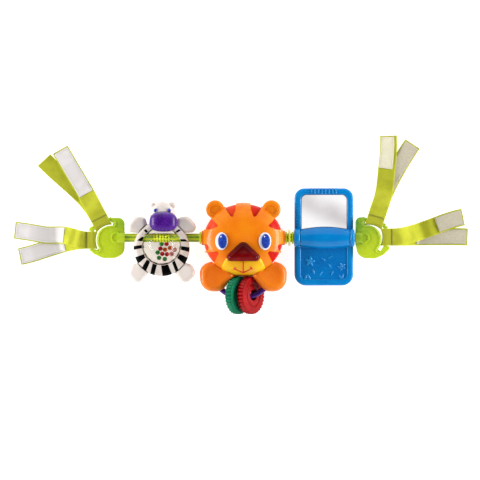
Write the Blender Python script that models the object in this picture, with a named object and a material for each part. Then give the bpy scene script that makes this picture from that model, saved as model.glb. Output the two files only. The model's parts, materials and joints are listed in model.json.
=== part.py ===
"""Baby toy bar: a zebra rattle, a tiger head and a flip phone on one bar.

The bar lies on its back, as it does on a table. X runs along the bar, Y points to the tops of the
animals' heads and Z points up, out of their faces. The origin is on the tiger's flat back, under
the bar's axis. Every piece is modelled in its place, in metres.
"""

import math

import bmesh
import bpy
from mathutils import Matrix, Vector

MM = 0.001

# Fits and facets
SEAM_GAP = 0.3 * MM
RUNNING_GAP = 0.4 * MM
CUT_OVERRUN = 6.0 * MM
MERGE_REACH = 0.001 * MM
LEAST_CORNER = 0.33 * MM
SMOOTH_ANGLE = math.radians(50)
CORNER_STEPS = 3
ROUND_STEPS = 18
FINE_STEPS = 26
EDGE_STEPS = 2
DOME_STEPS = 4

# Rattle ball and bar axis: the ball stands on the table, so its radius sets the axis height
BALL_RADIUS = 21.4 * MM
BALL_WALL = 1.3 * MM
BALL_FLANGE_LIP = 2.6 * MM
BALL_FLANGE_RADIUS = BALL_RADIUS + BALL_FLANGE_LIP
BALL_FLANGE_THICK = 1.2 * MM
BALL_DROP = 8.6 * MM
AXIS_HEIGHT = BALL_RADIUS

# Bar: what stands on it and what turns on it follow its radius
BAR_RADIUS = 4.7 * MM
FLUTE_DEPTH = 0.9 * MM
FLUTE_COUNT = 6
BAR_SEAT_DEPTH = 4.0 * MM
BAR_STOP_RISE = 1.5 * MM
BAR_STOP_RADIUS = BAR_RADIUS + BAR_STOP_RISE
BAR_STOP_THICK = 1.6 * MM
CLICK_RING_COUNT = 6
CLICK_RING_RISE = 0.5 * MM
CLICK_RING_RADIUS = BAR_RADIUS + CLICK_RING_RISE
CLICK_RING_THICK = 1.5 * MM
CLICK_RING_PITCH = 3.3 * MM
COLLAR_RISE = 2.1 * MM
COLLAR_RADIUS = BAR_RADIUS + COLLAR_RISE
COLLAR_THICK = 2.1 * MM
FLANGE_RISE = 4.3 * MM
FLANGE_RADIUS = BAR_RADIUS + FLANGE_RISE
FLANGE_THICK = 2.2 * MM
FLANGE_SPACE = 1.4 * MM
BORE_RADIUS = BAR_RADIUS + RUNNING_GAP

# Tiger head: features stand at shares of the face's half width and half height from its middle
HEAD_CENTRE_Y = -1.35 * MM
FACE_HALF_WIDTH = 44.9 * MM
FACE_HALF_HEIGHT = 40.2 * MM
FACE_RISE = 22.0 * MM
FACE_WALL = 1.2 * MM
LENS_WALL = 1.4 * MM
DOME_POWER = 2.4
DOME_LEVEL_DEGREES = (0.0, 16.0, 32.0, 48.0, 64.0, 78.0)
PARTING_HEIGHT = 22.0 * MM
CASE_FLOOR = 3.4 * MM
CASE_WALL = 2.0 * MM
CASE_BACK_ROUND = 5.0 * MM
NECK_BOSS_WALL = 3.3 * MM
NECK_BOSS_RADIUS = BAR_RADIUS + NECK_BOSS_WALL
NECK_BOSS_PROUD = 0.9 * MM
NECK_BOSS_REACH = FACE_HALF_WIDTH + NECK_BOSS_PROUD
EAR_WIDE_SHARE = 0.688
EAR_HIGH_SHARE = 0.857
EAR_SPREAD = EAR_WIDE_SHARE * FACE_HALF_WIDTH
EAR_HEIGHT = HEAD_CENTRE_Y + EAR_HIGH_SHARE * FACE_HALF_HEIGHT
EAR_RADIUS = 10.2 * MM
EAR_FRONT_RISE = 9.5 * MM
EAR_BACK_DEPTH = 8.0 * MM
EAR_ROUND = 3.5 * MM
EAR_CUP_WIDTH = 6.3 * MM
EAR_CUP_HEIGHT = 4.7 * MM
EAR_CUP_DEPTH = 2.0 * MM
# Stripe windows: corners as shares of the face's half width and half height, from its middle
STRIPE_CORNER_SHARES = (
    ((-0.48, 1.10), (-0.16, 1.10), (-0.19, 0.80), (-0.25, 0.60), (-0.31, 0.62), (-0.42, 0.80)),
    ((-0.87, 0.67), (-0.62, 0.38), (-0.62, 0.34), (-0.80, 0.26), (-1.10, 0.26), (-1.10, 0.50)),
    ((-1.10, -0.13), (-0.89, -0.14), (-0.84, -0.20), (-0.86, -0.30), (-1.00, -0.36), (-1.10, -0.36)),
    ((-1.10, -0.42), (-0.84, -0.36), (-0.62, -0.33), (-0.60, -0.40), (-0.72, -0.66), (-0.90, -0.90)))
STRIPE_ROUND_SHARES = (0, 0, 0.03, 0.03, 0.03, 0)
EYE_WIDE_SHARE = 0.530
EYE_LOW_SHARE = 0.0585
EYE_SPREAD = EYE_WIDE_SHARE * FACE_HALF_WIDTH
EYE_Y = HEAD_CENTRE_Y - EYE_LOW_SHARE * FACE_HALF_HEIGHT
EYE_HALF_WIDTH = 6.8 * MM
EYE_HALF_HEIGHT = 9.7 * MM
EYE_THICK = 0.9 * MM
IRIS_SHIFT = 0.9 * MM
IRIS_HALF_WIDTH = 4.7 * MM
IRIS_HALF_HEIGHT = 7.4 * MM
IRIS_THICK = 0.9 * MM
NOSE_TOP_SHARE = 0.031
NOSE_BOTTOM_SHARE = 0.596
NOSE_WIDE_SHARE = 0.459
NOSE_TOP_Y = HEAD_CENTRE_Y - NOSE_TOP_SHARE * FACE_HALF_HEIGHT
NOSE_BOTTOM_Y = HEAD_CENTRE_Y - NOSE_BOTTOM_SHARE * FACE_HALF_HEIGHT
NOSE_HALF_WIDTH = NOSE_WIDE_SHARE * FACE_HALF_WIDTH
NOSE_TOP_ROUND = 5.0 * MM
NOSE_SIDE_ROUND = 3.8 * MM
NOSE_PROUD = 3.8 * MM
NOSE_EDGE_ROUND = 2.6 * MM
NOSE_TRAVEL = 1.5 * MM
NOSE_RIM_OUT = 1.6 * MM
NOSE_RIM_THICK = 1.2 * MM
NOSE_RIM_DROP = 7.1 * MM
NOSE_STEM_RADIUS = 3.0 * MM
CHIN_THICK = 3.4 * MM
CHIN_TOP_SHARE = 0.504
CHIN_WIDE_SHARE = 0.812
CHIN_BOTTOM_SHARE = 0.991
CHIN_TOP_HALF_SHARE = 0.419
CHIN_WIDE_HALF_SHARE = 0.561
CHIN_TOP_Y = HEAD_CENTRE_Y - CHIN_TOP_SHARE * FACE_HALF_HEIGHT
CHIN_WIDE_Y = HEAD_CENTRE_Y - CHIN_WIDE_SHARE * FACE_HALF_HEIGHT
CHIN_BOTTOM_Y = HEAD_CENTRE_Y - CHIN_BOTTOM_SHARE * FACE_HALF_HEIGHT
CHIN_TOP_HALF = CHIN_TOP_HALF_SHARE * FACE_HALF_WIDTH
CHIN_WIDE_HALF = CHIN_WIDE_HALF_SHARE * FACE_HALF_WIDTH
CHIN_CORNER_ROUND = 4.0 * MM
# Paw corners as shares of the paw's reach, from the bar's axis down the right-hand side
PAW_REACH = 48.4 * MM
PAW_CORNER_SHARES = (
    (1.00, -0.62), (0.97, -1.22), (0.50, -1.22), (0.20, -0.88), (0.28, -0.58), (0.66, -0.52))
PAW_ROUND_SHARES = (0.14, 0.30, 0.24, 0.12, 0.06, 0.08)
PAW_BACK_HEIGHT = 14.4 * MM
PAW_FRONT_HEIGHT = 29.6 * MM
PAW_ROUND = 5.0 * MM
PAW_RIM_WIDTH = 5.4 * MM
PAW_CUP_DEPTH = 0.9 * MM

# Inside the tiger
SPEAKER_RADIUS = 12.5 * MM
SPEAKER_THICK = 5.0 * MM
SPEAKER_SPACE = 4.35 * MM
SPEAKER_Y = (HEAD_CENTRE_Y + FACE_HALF_HEIGHT - FACE_WALL - SEAM_GAP - CASE_WALL - SPEAKER_SPACE
             - SPEAKER_RADIUS)
SPEAKER_HOLE_RADIUS = 1.2 * MM
SPEAKER_HOLE_RING = 6.0 * MM
SPEAKER_HOLE_COUNT = 6
CELL_RADIUS = 5.25 * MM
CELL_LENGTH = 44.5 * MM
CELL_PITCH = 11.0 * MM
CELLS_Y = -14.5 * MM
CELL_NUB_RADIUS = 1.9 * MM
CELL_NUB_LENGTH = 1.0 * MM
BATTERY_WALL = 1.2 * MM
DOOR_THICK = 2.0 * MM
DOOR_RECESS = 0.4 * MM
DOOR_ROUND = 2.5 * MM
SCREW_HEAD_RADIUS = 2.6 * MM
SCREW_HEAD_THICK = 0.9 * MM
SCREW_SHANK_RADIUS = 1.2 * MM
SCREW_LENGTH = 6.0 * MM
SCREW_INSET = 4.2 * MM
SCREW_BOSS_RADIUS = 3.2 * MM
SCREW_BOSS_HEIGHT = 9.0 * MM
BOARD_WIDTH = 52.0 * MM
BOARD_HEIGHT = 22.0 * MM
BOARD_THICK = 1.6 * MM
BOARD_Y = -15.5 * MM
SPRING_RADIUS = 4.6 * MM
SPRING_WALL = 1.0 * MM
SWITCH_X = 25.0 * MM
SWITCH_Y = 12.0 * MM
SWITCH_TRAVEL = 2.0 * MM
SWITCH_KNOB_LENGTH = 5.0 * MM
SWITCH_KNOB_WIDTH = 4.0 * MM
SWITCH_STEM_LENGTH = 3.0 * MM
SWITCH_STEM_WIDTH = 1.6 * MM
SWITCH_STEM_RISE = 5.0 * MM
SWITCH_POCKET_DEPTH = 1.3 * MM

# Loop and teething rings: the rings hang under the face, and the loop runs through their holes
RING_RADIUS = 20.4 * MM
RING_SCALLOP = 0.8 * MM
RING_SCALLOP_COUNT = 20
RING_THICK = 8.0 * MM
RING_HOLE_RADIUS = 6.6 * MM
RING_HEAD_GAP = 1.35 * MM
RING_Y = HEAD_CENTRE_Y - FACE_HALF_HEIGHT - RING_HEAD_GAP - RING_RADIUS
RING_ROOM = 0.5 * MM
RED_RING_X = 8.3 * MM
GREEN_RING_X = -5.8 * MM
RED_RING_TILT = math.radians(54)
GREEN_RING_TILT = math.radians(57)
# Half of a ring's section: radius and half thickness as shares of the rim radius and thickness
RING_SECTION_SHARES = (
    (0.00, 0.24), (0.24, 0.50), (0.46, 0.41), (0.64, 0.50), (1.00, 0.40))
LOOP_RADIUS = 35.0 * MM
LOOP_SHIFT_X = -1.0 * MM
LOOP_BELOW_RINGS = 2.1 * MM
LOOP_CENTRE = Vector((LOOP_SHIFT_X, RING_Y - LOOP_BELOW_RINGS + LOOP_RADIUS))
LOOP_TUBE_RADIUS = 2.9 * MM
LOOP_HEIGHT = 20.2 * MM
LOOP_DEGREES = (207.0, 335.0)
LOOP_SIDES = 10
LOOP_ARC_STEPS = 18

# Zebra rattle: the round body follows the ball that it holds
TORSO_RIM = 6.7 * MM
TORSO_RADIUS = BALL_FLANGE_RADIUS + TORSO_RIM
TORSO_SHIFT = 2.8 * MM
TORSO_DROP = BALL_DROP + TORSO_SHIFT
TORSO_FRONT_RISE = 10.2 * MM
TORSO_BACK_DEPTH = 10.4 * MM
TORSO_ROUND = 5.5 * MM
LIMB_FRONT_RISE = 8.6 * MM
LIMB_BACK_DEPTH = 8.6 * MM
LIMB_ROUND = 3.6 * MM
# Limb corners as shares of the torso's radius, from its centre
ARM_CORNER_SHARES = ((-0.62, 0.36), (-0.70, 1.13), (-0.98, 1.16), (-1.24, 0.78), (-1.16, 0.57))
ARM_ROUND_SHARES = (0.05, 0.14, 0.17, 0.20, 0.14)
LEG_CORNER_SHARES = ((-0.62, -0.42), (-1.08, -0.60), (-1.26, -0.92), (-0.82, -1.36), (-0.46, -0.88))
LEG_ROUND_SHARES = (0.05, 0.16, 0.20, 0.22, 0.14)
LIMB_REACH_SHARE = 1.26
ZEBRA_SPACE = 2.918 * MM
ZEBRA_REACH = LIMB_REACH_SHARE * TORSO_RADIUS
ZEBRA_X = -(NECK_BOSS_REACH + SEAM_GAP + COLLAR_THICK + ZEBRA_SPACE + ZEBRA_REACH)
HEAD_SIZE = Vector((28.4 * MM, 30.0 * MM, 25.0 * MM))
HEAD_OVER_TORSO = 5.6 * MM
HEAD_RISE_Y = TORSO_RADIUS - TORSO_DROP + HEAD_OVER_TORSO
HEAD_SHIFT_X = 1.0 * MM
EAR_KNOB_RADIUS = 3.4 * MM
EAR_KNOB_SPREAD = 10.4 * MM
EAR_KNOB_RISE = 10.8 * MM
TUFT_SIZE = Vector((10.0 * MM, 10.0 * MM, 15.0 * MM))
TUFT_PROUD = 0.5 * MM
MUZZLE_SIZE = Vector((30.8 * MM, 21.9 * MM, 25.0 * MM))
MUZZLE_UNDER_HEAD = 7.0 * MM
MUZZLE_Y = HEAD_RISE_Y - MUZZLE_UNDER_HEAD
MUZZLE_Z = 12.8 * MM
MUZZLE_SHIFT_X = 2.2 * MM
SMALL_EYE_RADIUS = 1.7 * MM
SMALL_EYE_SPREAD = 7.3 * MM
SMALL_EYE_RISE = 5.1 * MM
BEAD_RADIUS = 2.4 * MM
# Where the beads lie in the ball: shares of its radius, sideways and up and down the ball
BEAD_PLACE_SHARES = (
    (-0.02, 0.09), (0.24, 0.09), (-0.08, -0.16), (0.16, -0.21), (0.42, -0.12), (0.02, -0.43))

# Flip phone: it starts beside the tiger's collars
COLLAR_STACK = 2 * COLLAR_THICK + 2 * FLANGE_SPACE + FLANGE_THICK
PHONE_START = NECK_BOSS_REACH + SEAM_GAP + COLLAR_STACK + RUNNING_GAP
KNUCKLE_PROUD = 0.6 * MM
LEFT_KNUCKLE_WIDTH = 6.9 * MM
RIGHT_KNUCKLE_PROUD = 1.2 * MM
RIGHT_KNUCKLE_WIDTH = 5.1 * MM
PHONE_WIDTH = 64.9 * MM
PHONE_LEFT = PHONE_START + KNUCKLE_PROUD
PHONE_RIGHT = PHONE_LEFT + PHONE_WIDTH
PHONE_END = PHONE_RIGHT + RIGHT_KNUCKLE_PROUD
LEFT_KNUCKLE_ENDS = (PHONE_START, PHONE_START + LEFT_KNUCKLE_WIDTH)
RIGHT_KNUCKLE_ENDS = (PHONE_END - RIGHT_KNUCKLE_WIDTH, PHONE_END)
KNUCKLE_WALL = 4.9 * MM
KNUCKLE_RADIUS = BORE_RADIUS + KNUCKLE_WALL
KNUCKLE_ROUND = 1.2 * MM
BARREL_WALL = 4.2 * MM
BARREL_BULGE = 2.7 * MM
BARREL_END_RADIUS = BORE_RADIUS + BARREL_WALL
BARREL_MID_RADIUS = BARREL_END_RADIUS + BARREL_BULGE
BARREL_STEPS = 8
FLAP_BACK_DEPTH = 6.4 * MM
FLAP_FACE_GAP = 0.6 * MM
FLAP_EDGE_ROUND = 1.8 * MM
COVER_BOTTOM_Y = -52.6 * MM
COVER_CORNER = 12.6 * MM
COVER_TOP_CORNER = 1.4 * MM
COVER_RIM = 7.0 * MM
COVER_PANEL_DEPTH = 1.3 * MM
MIRROR_TOP_Y = 54.6 * MM
MIRROR_CORNER = 11.0 * MM
MIRROR_LEFT_RAIL = 7.6 * MM
MIRROR_RIGHT_RAIL = 7.2 * MM
MIRROR_TOP_RAIL = 7.1 * MM
MIRROR_INNER_CORNER = 5.5 * MM
MIRROR_PLATE_THICK = 1.2 * MM
MIRROR_POCKET_DEPTH = 2.2 * MM
GRIP_RIB_COUNT = 9
GRIP_RIB_PITCH = 3.2 * MM
GRIP_RIB_WIDTH = 1.4 * MM
GRIP_RIB_PROUD = 0.5 * MM

# End clips: each stands clear of the toy beside it
CLIP_REACH = 25.0 * MM
CLIP_THICK = 5.0 * MM
CLIP_EDGE_ROUND = 1.1 * MM
TONGUE_RADIUS = 15.9 * MM
SLOT_WIDTH = 3.4 * MM
RIM_BAR_RADIUS = 2.2 * MM
RIM_BAR_DISTANCE = 20.5 * MM
CLIP_BOSS_WALL = 1.5 * MM
CLIP_BOSS_RADIUS = BAR_RADIUS + SEAM_GAP + CLIP_BOSS_WALL
CLIP_BOSS_LENGTH = 7.0 * MM
CLIP_DISC_RADIUS = 6.6 * MM
CLIP_DISC_RISE = 1.2 * MM
CLIP_DISC_INSET = 9.0 * MM
CLIP_RELIEF_RADIUS = 2.0 * MM
# Corners as shares of the clip's reach, then each corner's rounding as a share of it
LEFT_CLIP_CORNER_SHARES = (
    (0.60, 0.98), (0.60, -0.78), (-0.54, -0.79), (-1.00, -0.43), (-0.97, 0.53), (-0.10, 0.98))
LEFT_CLIP_ROUND_SHARES = (0.28, 0.50, 0.30, 0.12, 0.12, 0.20)
RIGHT_CLIP_CORNER_SHARES = (
    (-0.51, 0.98), (-0.51, -0.20), (-0.38, -0.82), (0.54, -0.84), (0.99, -0.42), (0.93, 0.56),
    (-0.12, 0.99))
RIGHT_CLIP_ROUND_SHARES = (0.24, 0.40, 0.28, 0.36, 0.14, 0.14, 0.20)
LEFT_CLIP_SPACE = 2.018 * MM
RIGHT_CLIP_SPACE = 0.95 * MM
LEFT_CLIP_EDGE = ZEBRA_X - ZEBRA_REACH - LEFT_CLIP_SPACE
RIGHT_CLIP_EDGE = PHONE_END + RIGHT_CLIP_SPACE
LEFT_CLIP_Y = -2.4 * MM
RIGHT_CLIP_Y = -1.9 * MM
LEFT_CLIP_CENTRE = Vector((LEFT_CLIP_EDGE - LEFT_CLIP_CORNER_SHARES[0][0] * CLIP_REACH, LEFT_CLIP_Y))
RIGHT_CLIP_CENTRE = Vector((RIGHT_CLIP_EDGE - RIGHT_CLIP_CORNER_SHARES[0][0] * CLIP_REACH, RIGHT_CLIP_Y))
LEFT_SLOT_DEGREES = (83.0, 215.0)
RIGHT_SLOT_DEGREES = (-41.0, 97.0)

# Webbing straps
WEBBING_WIDTH = 19.0 * MM
WEBBING_THICK = 1.1 * MM
STRAP_SIDE_GAP = 0.6 * MM
STRAP_NECK = 5.9 * MM
STRAP_LEVEL_RUN = 4.0 * MM
STRAP_DROP_RUN = 30.0 * MM
STRAP_DROP_LAG = 3.0 * MM
LAYER_GAP = 0.3 * MM
LOOP_STEPS = 10
TAIL_STEPS = 16
PAD_THICK = 0.9 * MM
PAD_WIDTH = 16.0 * MM
PAD_END_MARGIN = 1.5 * MM
PATCH_THICK = 0.4 * MM
PATCH_WIDTH = 16.4 * MM
# Each strap: its bearing from the clip's middle, its shift along the rim bar, how far its upper
# tail's end droops, and its tails' tips from the clip's middle with their headings, upper first
LEFT_UPPER_DEGREES = 117.4
LEFT_UPPER_SHIFT = -0.6 * MM
LEFT_UPPER_TIPS = ((-56.8 * MM, 99.8 * MM), (-74.7 * MM, 88.5 * MM))
LEFT_UPPER_HEADINGS = ((-0.50, 0.87), (-0.68, 0.74))
LEFT_UPPER_FRONT_PATCH = 55.6 * MM
LEFT_UPPER_FRONT_PAD = 45.0 * MM
LEFT_UPPER_REAR_PAD = 38.0 * MM
LEFT_LOWER_DEGREES = 180.0
LEFT_LOWER_SHIFT = -0.2 * MM
LEFT_LOWER_DROOP = 26.0 * MM
LEFT_LOWER_TIPS = ((-107.1 * MM, 10.8 * MM), (-101.7 * MM, -18.4 * MM))
LEFT_LOWER_HEADINGS = ((-0.99, 0.10), (-0.98, -0.19))
LEFT_LOWER_FRONT_PATCH = 54.0 * MM
LEFT_LOWER_REAR_PATCH = 50.0 * MM
LEFT_LOWER_FRONT_PAD = 24.0 * MM
LEFT_LOWER_REAR_PAD = 50.0 * MM
RIGHT_UPPER_DEGREES = 73.2
RIGHT_UPPER_SHIFT = 2.7 * MM
RIGHT_UPPER_DROOP = 16.0 * MM
RIGHT_UPPER_TIPS = ((24.3 * MM, 114.8 * MM), (51.1 * MM, 105.7 * MM))
RIGHT_UPPER_HEADINGS = ((0.06, 1.0), (0.55, 0.84))
RIGHT_UPPER_FRONT_PAD = 35.0 * MM
RIGHT_UPPER_REAR_PAD = 55.0 * MM
RIGHT_LOWER_DEGREES = 0.0
RIGHT_LOWER_SHIFT = -2.7 * MM
RIGHT_LOWER_TIPS = ((106.9 * MM, 24.9 * MM), (112.0 * MM, 2.8 * MM))
RIGHT_LOWER_HEADINGS = ((0.98, 0.20), (1.0, -0.04))
RIGHT_LOWER_FRONT_PAD = 28.5 * MM
RIGHT_LOWER_REAR_PAD = 56.0 * MM

ALONG_X = Matrix.Rotation(math.radians(90), 4, "Y")


# Scene and finishes

def clear_scene():
    """Removes whatever the scene holds."""
    for old in list(bpy.data.objects):
        bpy.data.objects.remove(old, do_unlink=True)


def make_finish(name, colour, roughness, metallic=0.0, transmission=0.0):
    """One Principled finish."""
    finish = bpy.data.materials.new(name)
    finish.use_nodes = True
    finish.diffuse_color = (*colour, 1.0)
    shader = finish.node_tree.nodes["Principled BSDF"]
    shader.inputs["Base Color"].default_value = (*colour, 1.0)
    shader.inputs["Roughness"].default_value = roughness
    shader.inputs["Metallic"].default_value = metallic
    shader.inputs["Transmission Weight"].default_value = transmission
    return finish


def make_finishes():
    """Every finish of the toy, by name."""
    return {
        "lime": make_finish("lime_plastic", (0.52, 0.68, 0.03), 0.35),
        "webbing": make_finish("lime_webbing", (0.56, 0.60, 0.03), 0.85),
        "hook": make_finish("cream_hook_tape", (0.80, 0.78, 0.68), 0.95),
        "patch": make_finish("white_patch", (0.85, 0.83, 0.84), 0.70),
        "zebra": make_finish("warm_white_plastic", (0.78, 0.73, 0.68), 0.45),
        "clear": make_finish("clear_plastic", (0.95, 0.95, 0.95), 0.05, transmission=1.0),
        "purple": make_finish("purple_plastic", (0.10, 0.02, 0.28), 0.30),
        "blue_eye": make_finish("blue_paint", (0.01, 0.05, 0.35), 0.25),
        "bead_red": make_finish("red_bead", (0.60, 0.02, 0.04), 0.15),
        "bead_green": make_finish("green_bead", (0.03, 0.40, 0.08), 0.15),
        "orange": make_finish("orange_plastic", (0.90, 0.24, 0.01), 0.38),
        "lens": make_finish("coral_lens", (0.85, 0.06, 0.03), 0.20, transmission=0.5),
        "white": make_finish("white_plastic", (0.85, 0.85, 0.87), 0.30),
        "maroon": make_finish("maroon_lens", (0.16, 0.00, 0.01), 0.12, transmission=0.4),
        "yellow": make_finish("yellow_plastic", (0.88, 0.52, 0.01), 0.35),
        "green": make_finish("green_plastic", (0.00, 0.32, 0.14), 0.40),
        "red": make_finish("red_plastic", (0.62, 0.01, 0.03), 0.40),
        "blue": make_finish("blue_plastic", (0.00, 0.20, 0.58), 0.30),
        "mirror": make_finish("mirror_film", (0.90, 0.90, 0.92), 0.06, metallic=1.0),
        "board": make_finish("green_board", (0.02, 0.22, 0.08), 0.50),
        "steel": make_finish("steel", (0.60, 0.60, 0.62), 0.30, metallic=1.0),
        "rubber": make_finish("grey_rubber", (0.30, 0.30, 0.30), 0.80),
        "black": make_finish("black_plastic", (0.02, 0.02, 0.02), 0.50),
    }


# Objects

def add_object(name, shape, finish):
    """Turns a bmesh that is already in its place into a named object."""
    mesh = bpy.data.meshes.new(name)
    shape.to_mesh(mesh)
    shape.free()
    if finish:
        mesh.materials.append(finish)
    mesh.shade_smooth()
    mesh.set_sharp_from_angle(angle=SMOOTH_ANGLE)
    piece = bpy.data.objects.new(name, mesh)
    bpy.context.scene.collection.objects.link(piece)
    return piece


def add_tool(name, shape):
    """A cutter or a form that another piece takes in, left out of the toy itself."""
    tool = add_object(name, shape, None)
    tool.hide_render = True
    tool.display_type = "WIRE"
    return tool


def take(piece, tool, operation="DIFFERENCE"):
    """Cuts a tool from a piece, joins it on or keeps what they share."""
    step = piece.modifiers.new(tool.name, "BOOLEAN")
    step.operation = operation
    step.object = tool


def add_axis(name, place):
    """An empty on a joint's axis."""
    axis = bpy.data.objects.new(name, None)
    axis.location = place
    bpy.context.scene.collection.objects.link(axis)
    return axis


def hang(piece, axis):
    """Gives a piece its origin on an axis, and the axis as its parent."""
    piece.data.transform(Matrix.Translation(-axis.location))
    piece.parent = axis


# Outlines: each is a function of an inset, so that fits and roundings follow the same form

def turn_ccw(corners, radii):
    """Corners and their radii, anticlockwise."""
    area = 0.0
    for index, (x, y) in enumerate(corners):
        last_x, last_y = corners[index - 1]
        area += last_x * y - x * last_y
    if area > 0:
        return list(corners), list(radii)
    return list(reversed(corners)), list(reversed(radii))


def inset_corner(corner, before, after, distance):
    """Where two sides meet once both have moved inward by a distance."""
    arriving = (corner - before).normalized()
    leaving = (after - corner).normalized()
    inward = Vector((-arriving.y, arriving.x)) + Vector((-leaving.y, leaving.x))
    inward.normalize()
    lean = inward.dot(Vector((-arriving.y, arriving.x)))
    return corner + inward * (distance / lean)


def corner_arc(corner, before, after, radius):
    """Points round one corner."""
    to_before = (before - corner).normalized()
    to_after = (after - corner).normalized()
    half = to_before.angle(to_after) / 2
    centre = corner + (to_before + to_after).normalized() * (radius / math.sin(half))
    start = corner + to_before * (radius / math.tan(half)) - centre
    end = corner + to_after * (radius / math.tan(half)) - centre
    sweep = math.atan2(start.cross(end), start.dot(end))
    arc = []
    for step in range(CORNER_STEPS + 1):
        arc.append(centre + Matrix.Rotation(sweep * step / CORNER_STEPS, 2) @ start)
    return arc


def rounded_outline(corners, radii):
    """A many-cornered outline; a corner without a radius stays sharp."""
    corners, radii = turn_ccw(corners, radii)
    corners = [Vector(corner) for corner in corners]

    def at(inset=0.0):
        count = len(corners)
        moved = []
        for index, corner in enumerate(corners):
            moved.append(inset_corner(corner, corners[index - 1], corners[(index + 1) % count], inset))
        points = []
        for index, corner in enumerate(moved):
            if radii[index]:
                radius = max(radii[index] - inset, LEAST_CORNER)
                points.extend(corner_arc(corner, moved[index - 1], moved[(index + 1) % count], radius))
            else:
                points.append(corner)
        return points

    return at


def box_outline(left, right, bottom, top, radius):
    """A rounded rectangle."""
    return rounded_outline(((left, bottom), (right, bottom), (right, top), (left, top)), (radius,) * 4)


def oval_outline(centre, half_width, half_height, steps=ROUND_STEPS):
    """An ellipse."""
    def at(inset=0.0):
        points = []
        for step in range(steps):
            angle = math.tau * step / steps
            points.append(Vector((
                centre[0] + (half_width - inset) * math.cos(angle),
                centre[1] + (half_height - inset) * math.sin(angle))))
        return points

    return at


def shared_corners(shares, size, centre, mirror=1):
    """Corners from their shares of a size, on either side."""
    return [(centre[0] + mirror * x * size, centre[1] + y * size) for x, y in shares]


# Solids

def skin(rings, closed_way=False):
    """Skins rings of points, each joined to the next; open ways get flat ends."""
    shape = bmesh.new()
    rows = [[shape.verts.new(point) for point in ring] for ring in rings]
    count = len(rows[0])
    last = len(rows) if closed_way else len(rows) - 1
    for index in range(last):
        row = rows[index]
        following = rows[(index + 1) % len(rows)]
        for place in range(count):
            shape.faces.new((row[place], row[(place + 1) % count],
                             following[(place + 1) % count], following[place]))
    if not closed_way:
        shape.faces.new(rows[0])
        shape.faces.new(rows[-1])
    return tidied(shape)


def tidied(shape):
    """Merges doubled points and points every face outward."""
    bmesh.ops.remove_doubles(shape, verts=shape.verts, dist=MERGE_REACH)
    bmesh.ops.recalc_face_normals(shape, faces=shape.faces)
    return shape


def lift(points, height):
    """Flat points at one height."""
    return [Vector((point[0], point[1], height)) for point in points]


def prism(outline, low, high):
    """An upright solid with sharp edges."""
    return skin([lift(outline(), low), lift(outline(), high)])


def pillow(outline, low, high, low_round, high_round):
    """An upright solid whose lower and upper edges are rounded."""
    rings = []
    for step in range(EDGE_STEPS + 1):
        angle = math.radians(90) * step / EDGE_STEPS
        rings.append(lift(outline(low_round * (1 - math.sin(angle))), low + low_round * (1 - math.cos(angle))))
    for step in range(EDGE_STEPS + 1):
        angle = math.radians(90) * step / EDGE_STEPS
        rings.append(lift(outline(high_round * (1 - math.cos(angle))), high - high_round * (1 - math.sin(angle))))
    return skin(rings)


def turned(profile, centre, steps=ROUND_STEPS, along_x=False):
    """A turned solid: the profile gives places along the axis and radii."""
    shape = bmesh.new()
    points = [shape.verts.new((radius, 0, along)) for along, radius in profile]
    edges = [shape.edges.new(pair) for pair in zip(points, points[1:])]
    bmesh.ops.spin(shape, geom=points + edges, cent=(0, 0, 0), axis=(0, 0, 1), angle=math.tau,
                   steps=steps, use_merge=True)
    tidied(shape)
    if along_x:
        bmesh.ops.transform(shape, matrix=ALONG_X, verts=shape.verts)
    bmesh.ops.translate(shape, verts=shape.verts, vec=centre)
    return shape


def rod(start, end, radius, centre, steps=ROUND_STEPS, along_x=False):
    """A plain round rod."""
    profile = ((start, 0), (start, radius), (end, radius), (end, 0))
    return turned(profile, centre, steps, along_x)


def bar_rod(start, end, radius, steps=ROUND_STEPS):
    """A plain rod round the bar's axis."""
    return rod(start, end, radius, (0, 0, AXIS_HEIGHT), steps, along_x=True)


def even(radius):
    """The full sizes of a ball of one radius."""
    return Vector((1, 1, 1)) * 2 * radius


def ball(centre, size, steps=ROUND_STEPS):
    """An egg of three full sizes."""
    shape = bmesh.new()
    bmesh.ops.create_uvsphere(shape, u_segments=steps, v_segments=steps // 2, radius=1)
    bmesh.ops.scale(shape, vec=size / 2, verts=shape.verts)
    bmesh.ops.translate(shape, vec=centre, verts=shape.verts)
    return shape


def block(low, high):
    """A box between two corners."""
    corners = ((low[0], low[1]), (high[0], low[1]), (high[0], high[1]), (low[0], high[1]))
    return skin([lift(corners, low[2]), lift(corners, high[2])])


# Bar

def bar_section(x, radius, fluted):
    """One ring of points across the bar."""
    ring = []
    points_round = FLUTE_COUNT * 3
    for index in range(points_round):
        angle = math.tau * index / points_round
        depth = FLUTE_DEPTH if fluted and index % 3 == 1 else 0
        reach = radius - depth
        ring.append(Vector((x, reach * math.cos(angle), AXIS_HEIGHT + reach * math.sin(angle))))
    return ring


def bar_solid(start, end, rings):
    """The fluted bar with plain rings on it, each given by its start, thickness and radius."""
    sections = [bar_section(start, BAR_RADIUS, True)]
    for ring_start, ring_thick, ring_radius in sorted(rings):
        ring_end = ring_start + ring_thick
        sections.append(bar_section(ring_start, BAR_RADIUS, True))
        sections.append(bar_section(ring_start, ring_radius, False))
        sections.append(bar_section(ring_end, ring_radius, False))
        sections.append(bar_section(ring_end, BAR_RADIUS, True))
    sections.append(bar_section(end, BAR_RADIUS, True))
    return skin(sections)


def click_rings():
    """Rings under the ball that the rattle clicks over."""
    first = ZEBRA_X - CLICK_RING_PITCH * (CLICK_RING_COUNT - 1) / 2 - CLICK_RING_THICK / 2
    return [(first + CLICK_RING_PITCH * index, CLICK_RING_THICK, CLICK_RING_RADIUS)
            for index in range(CLICK_RING_COUNT)]


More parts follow.
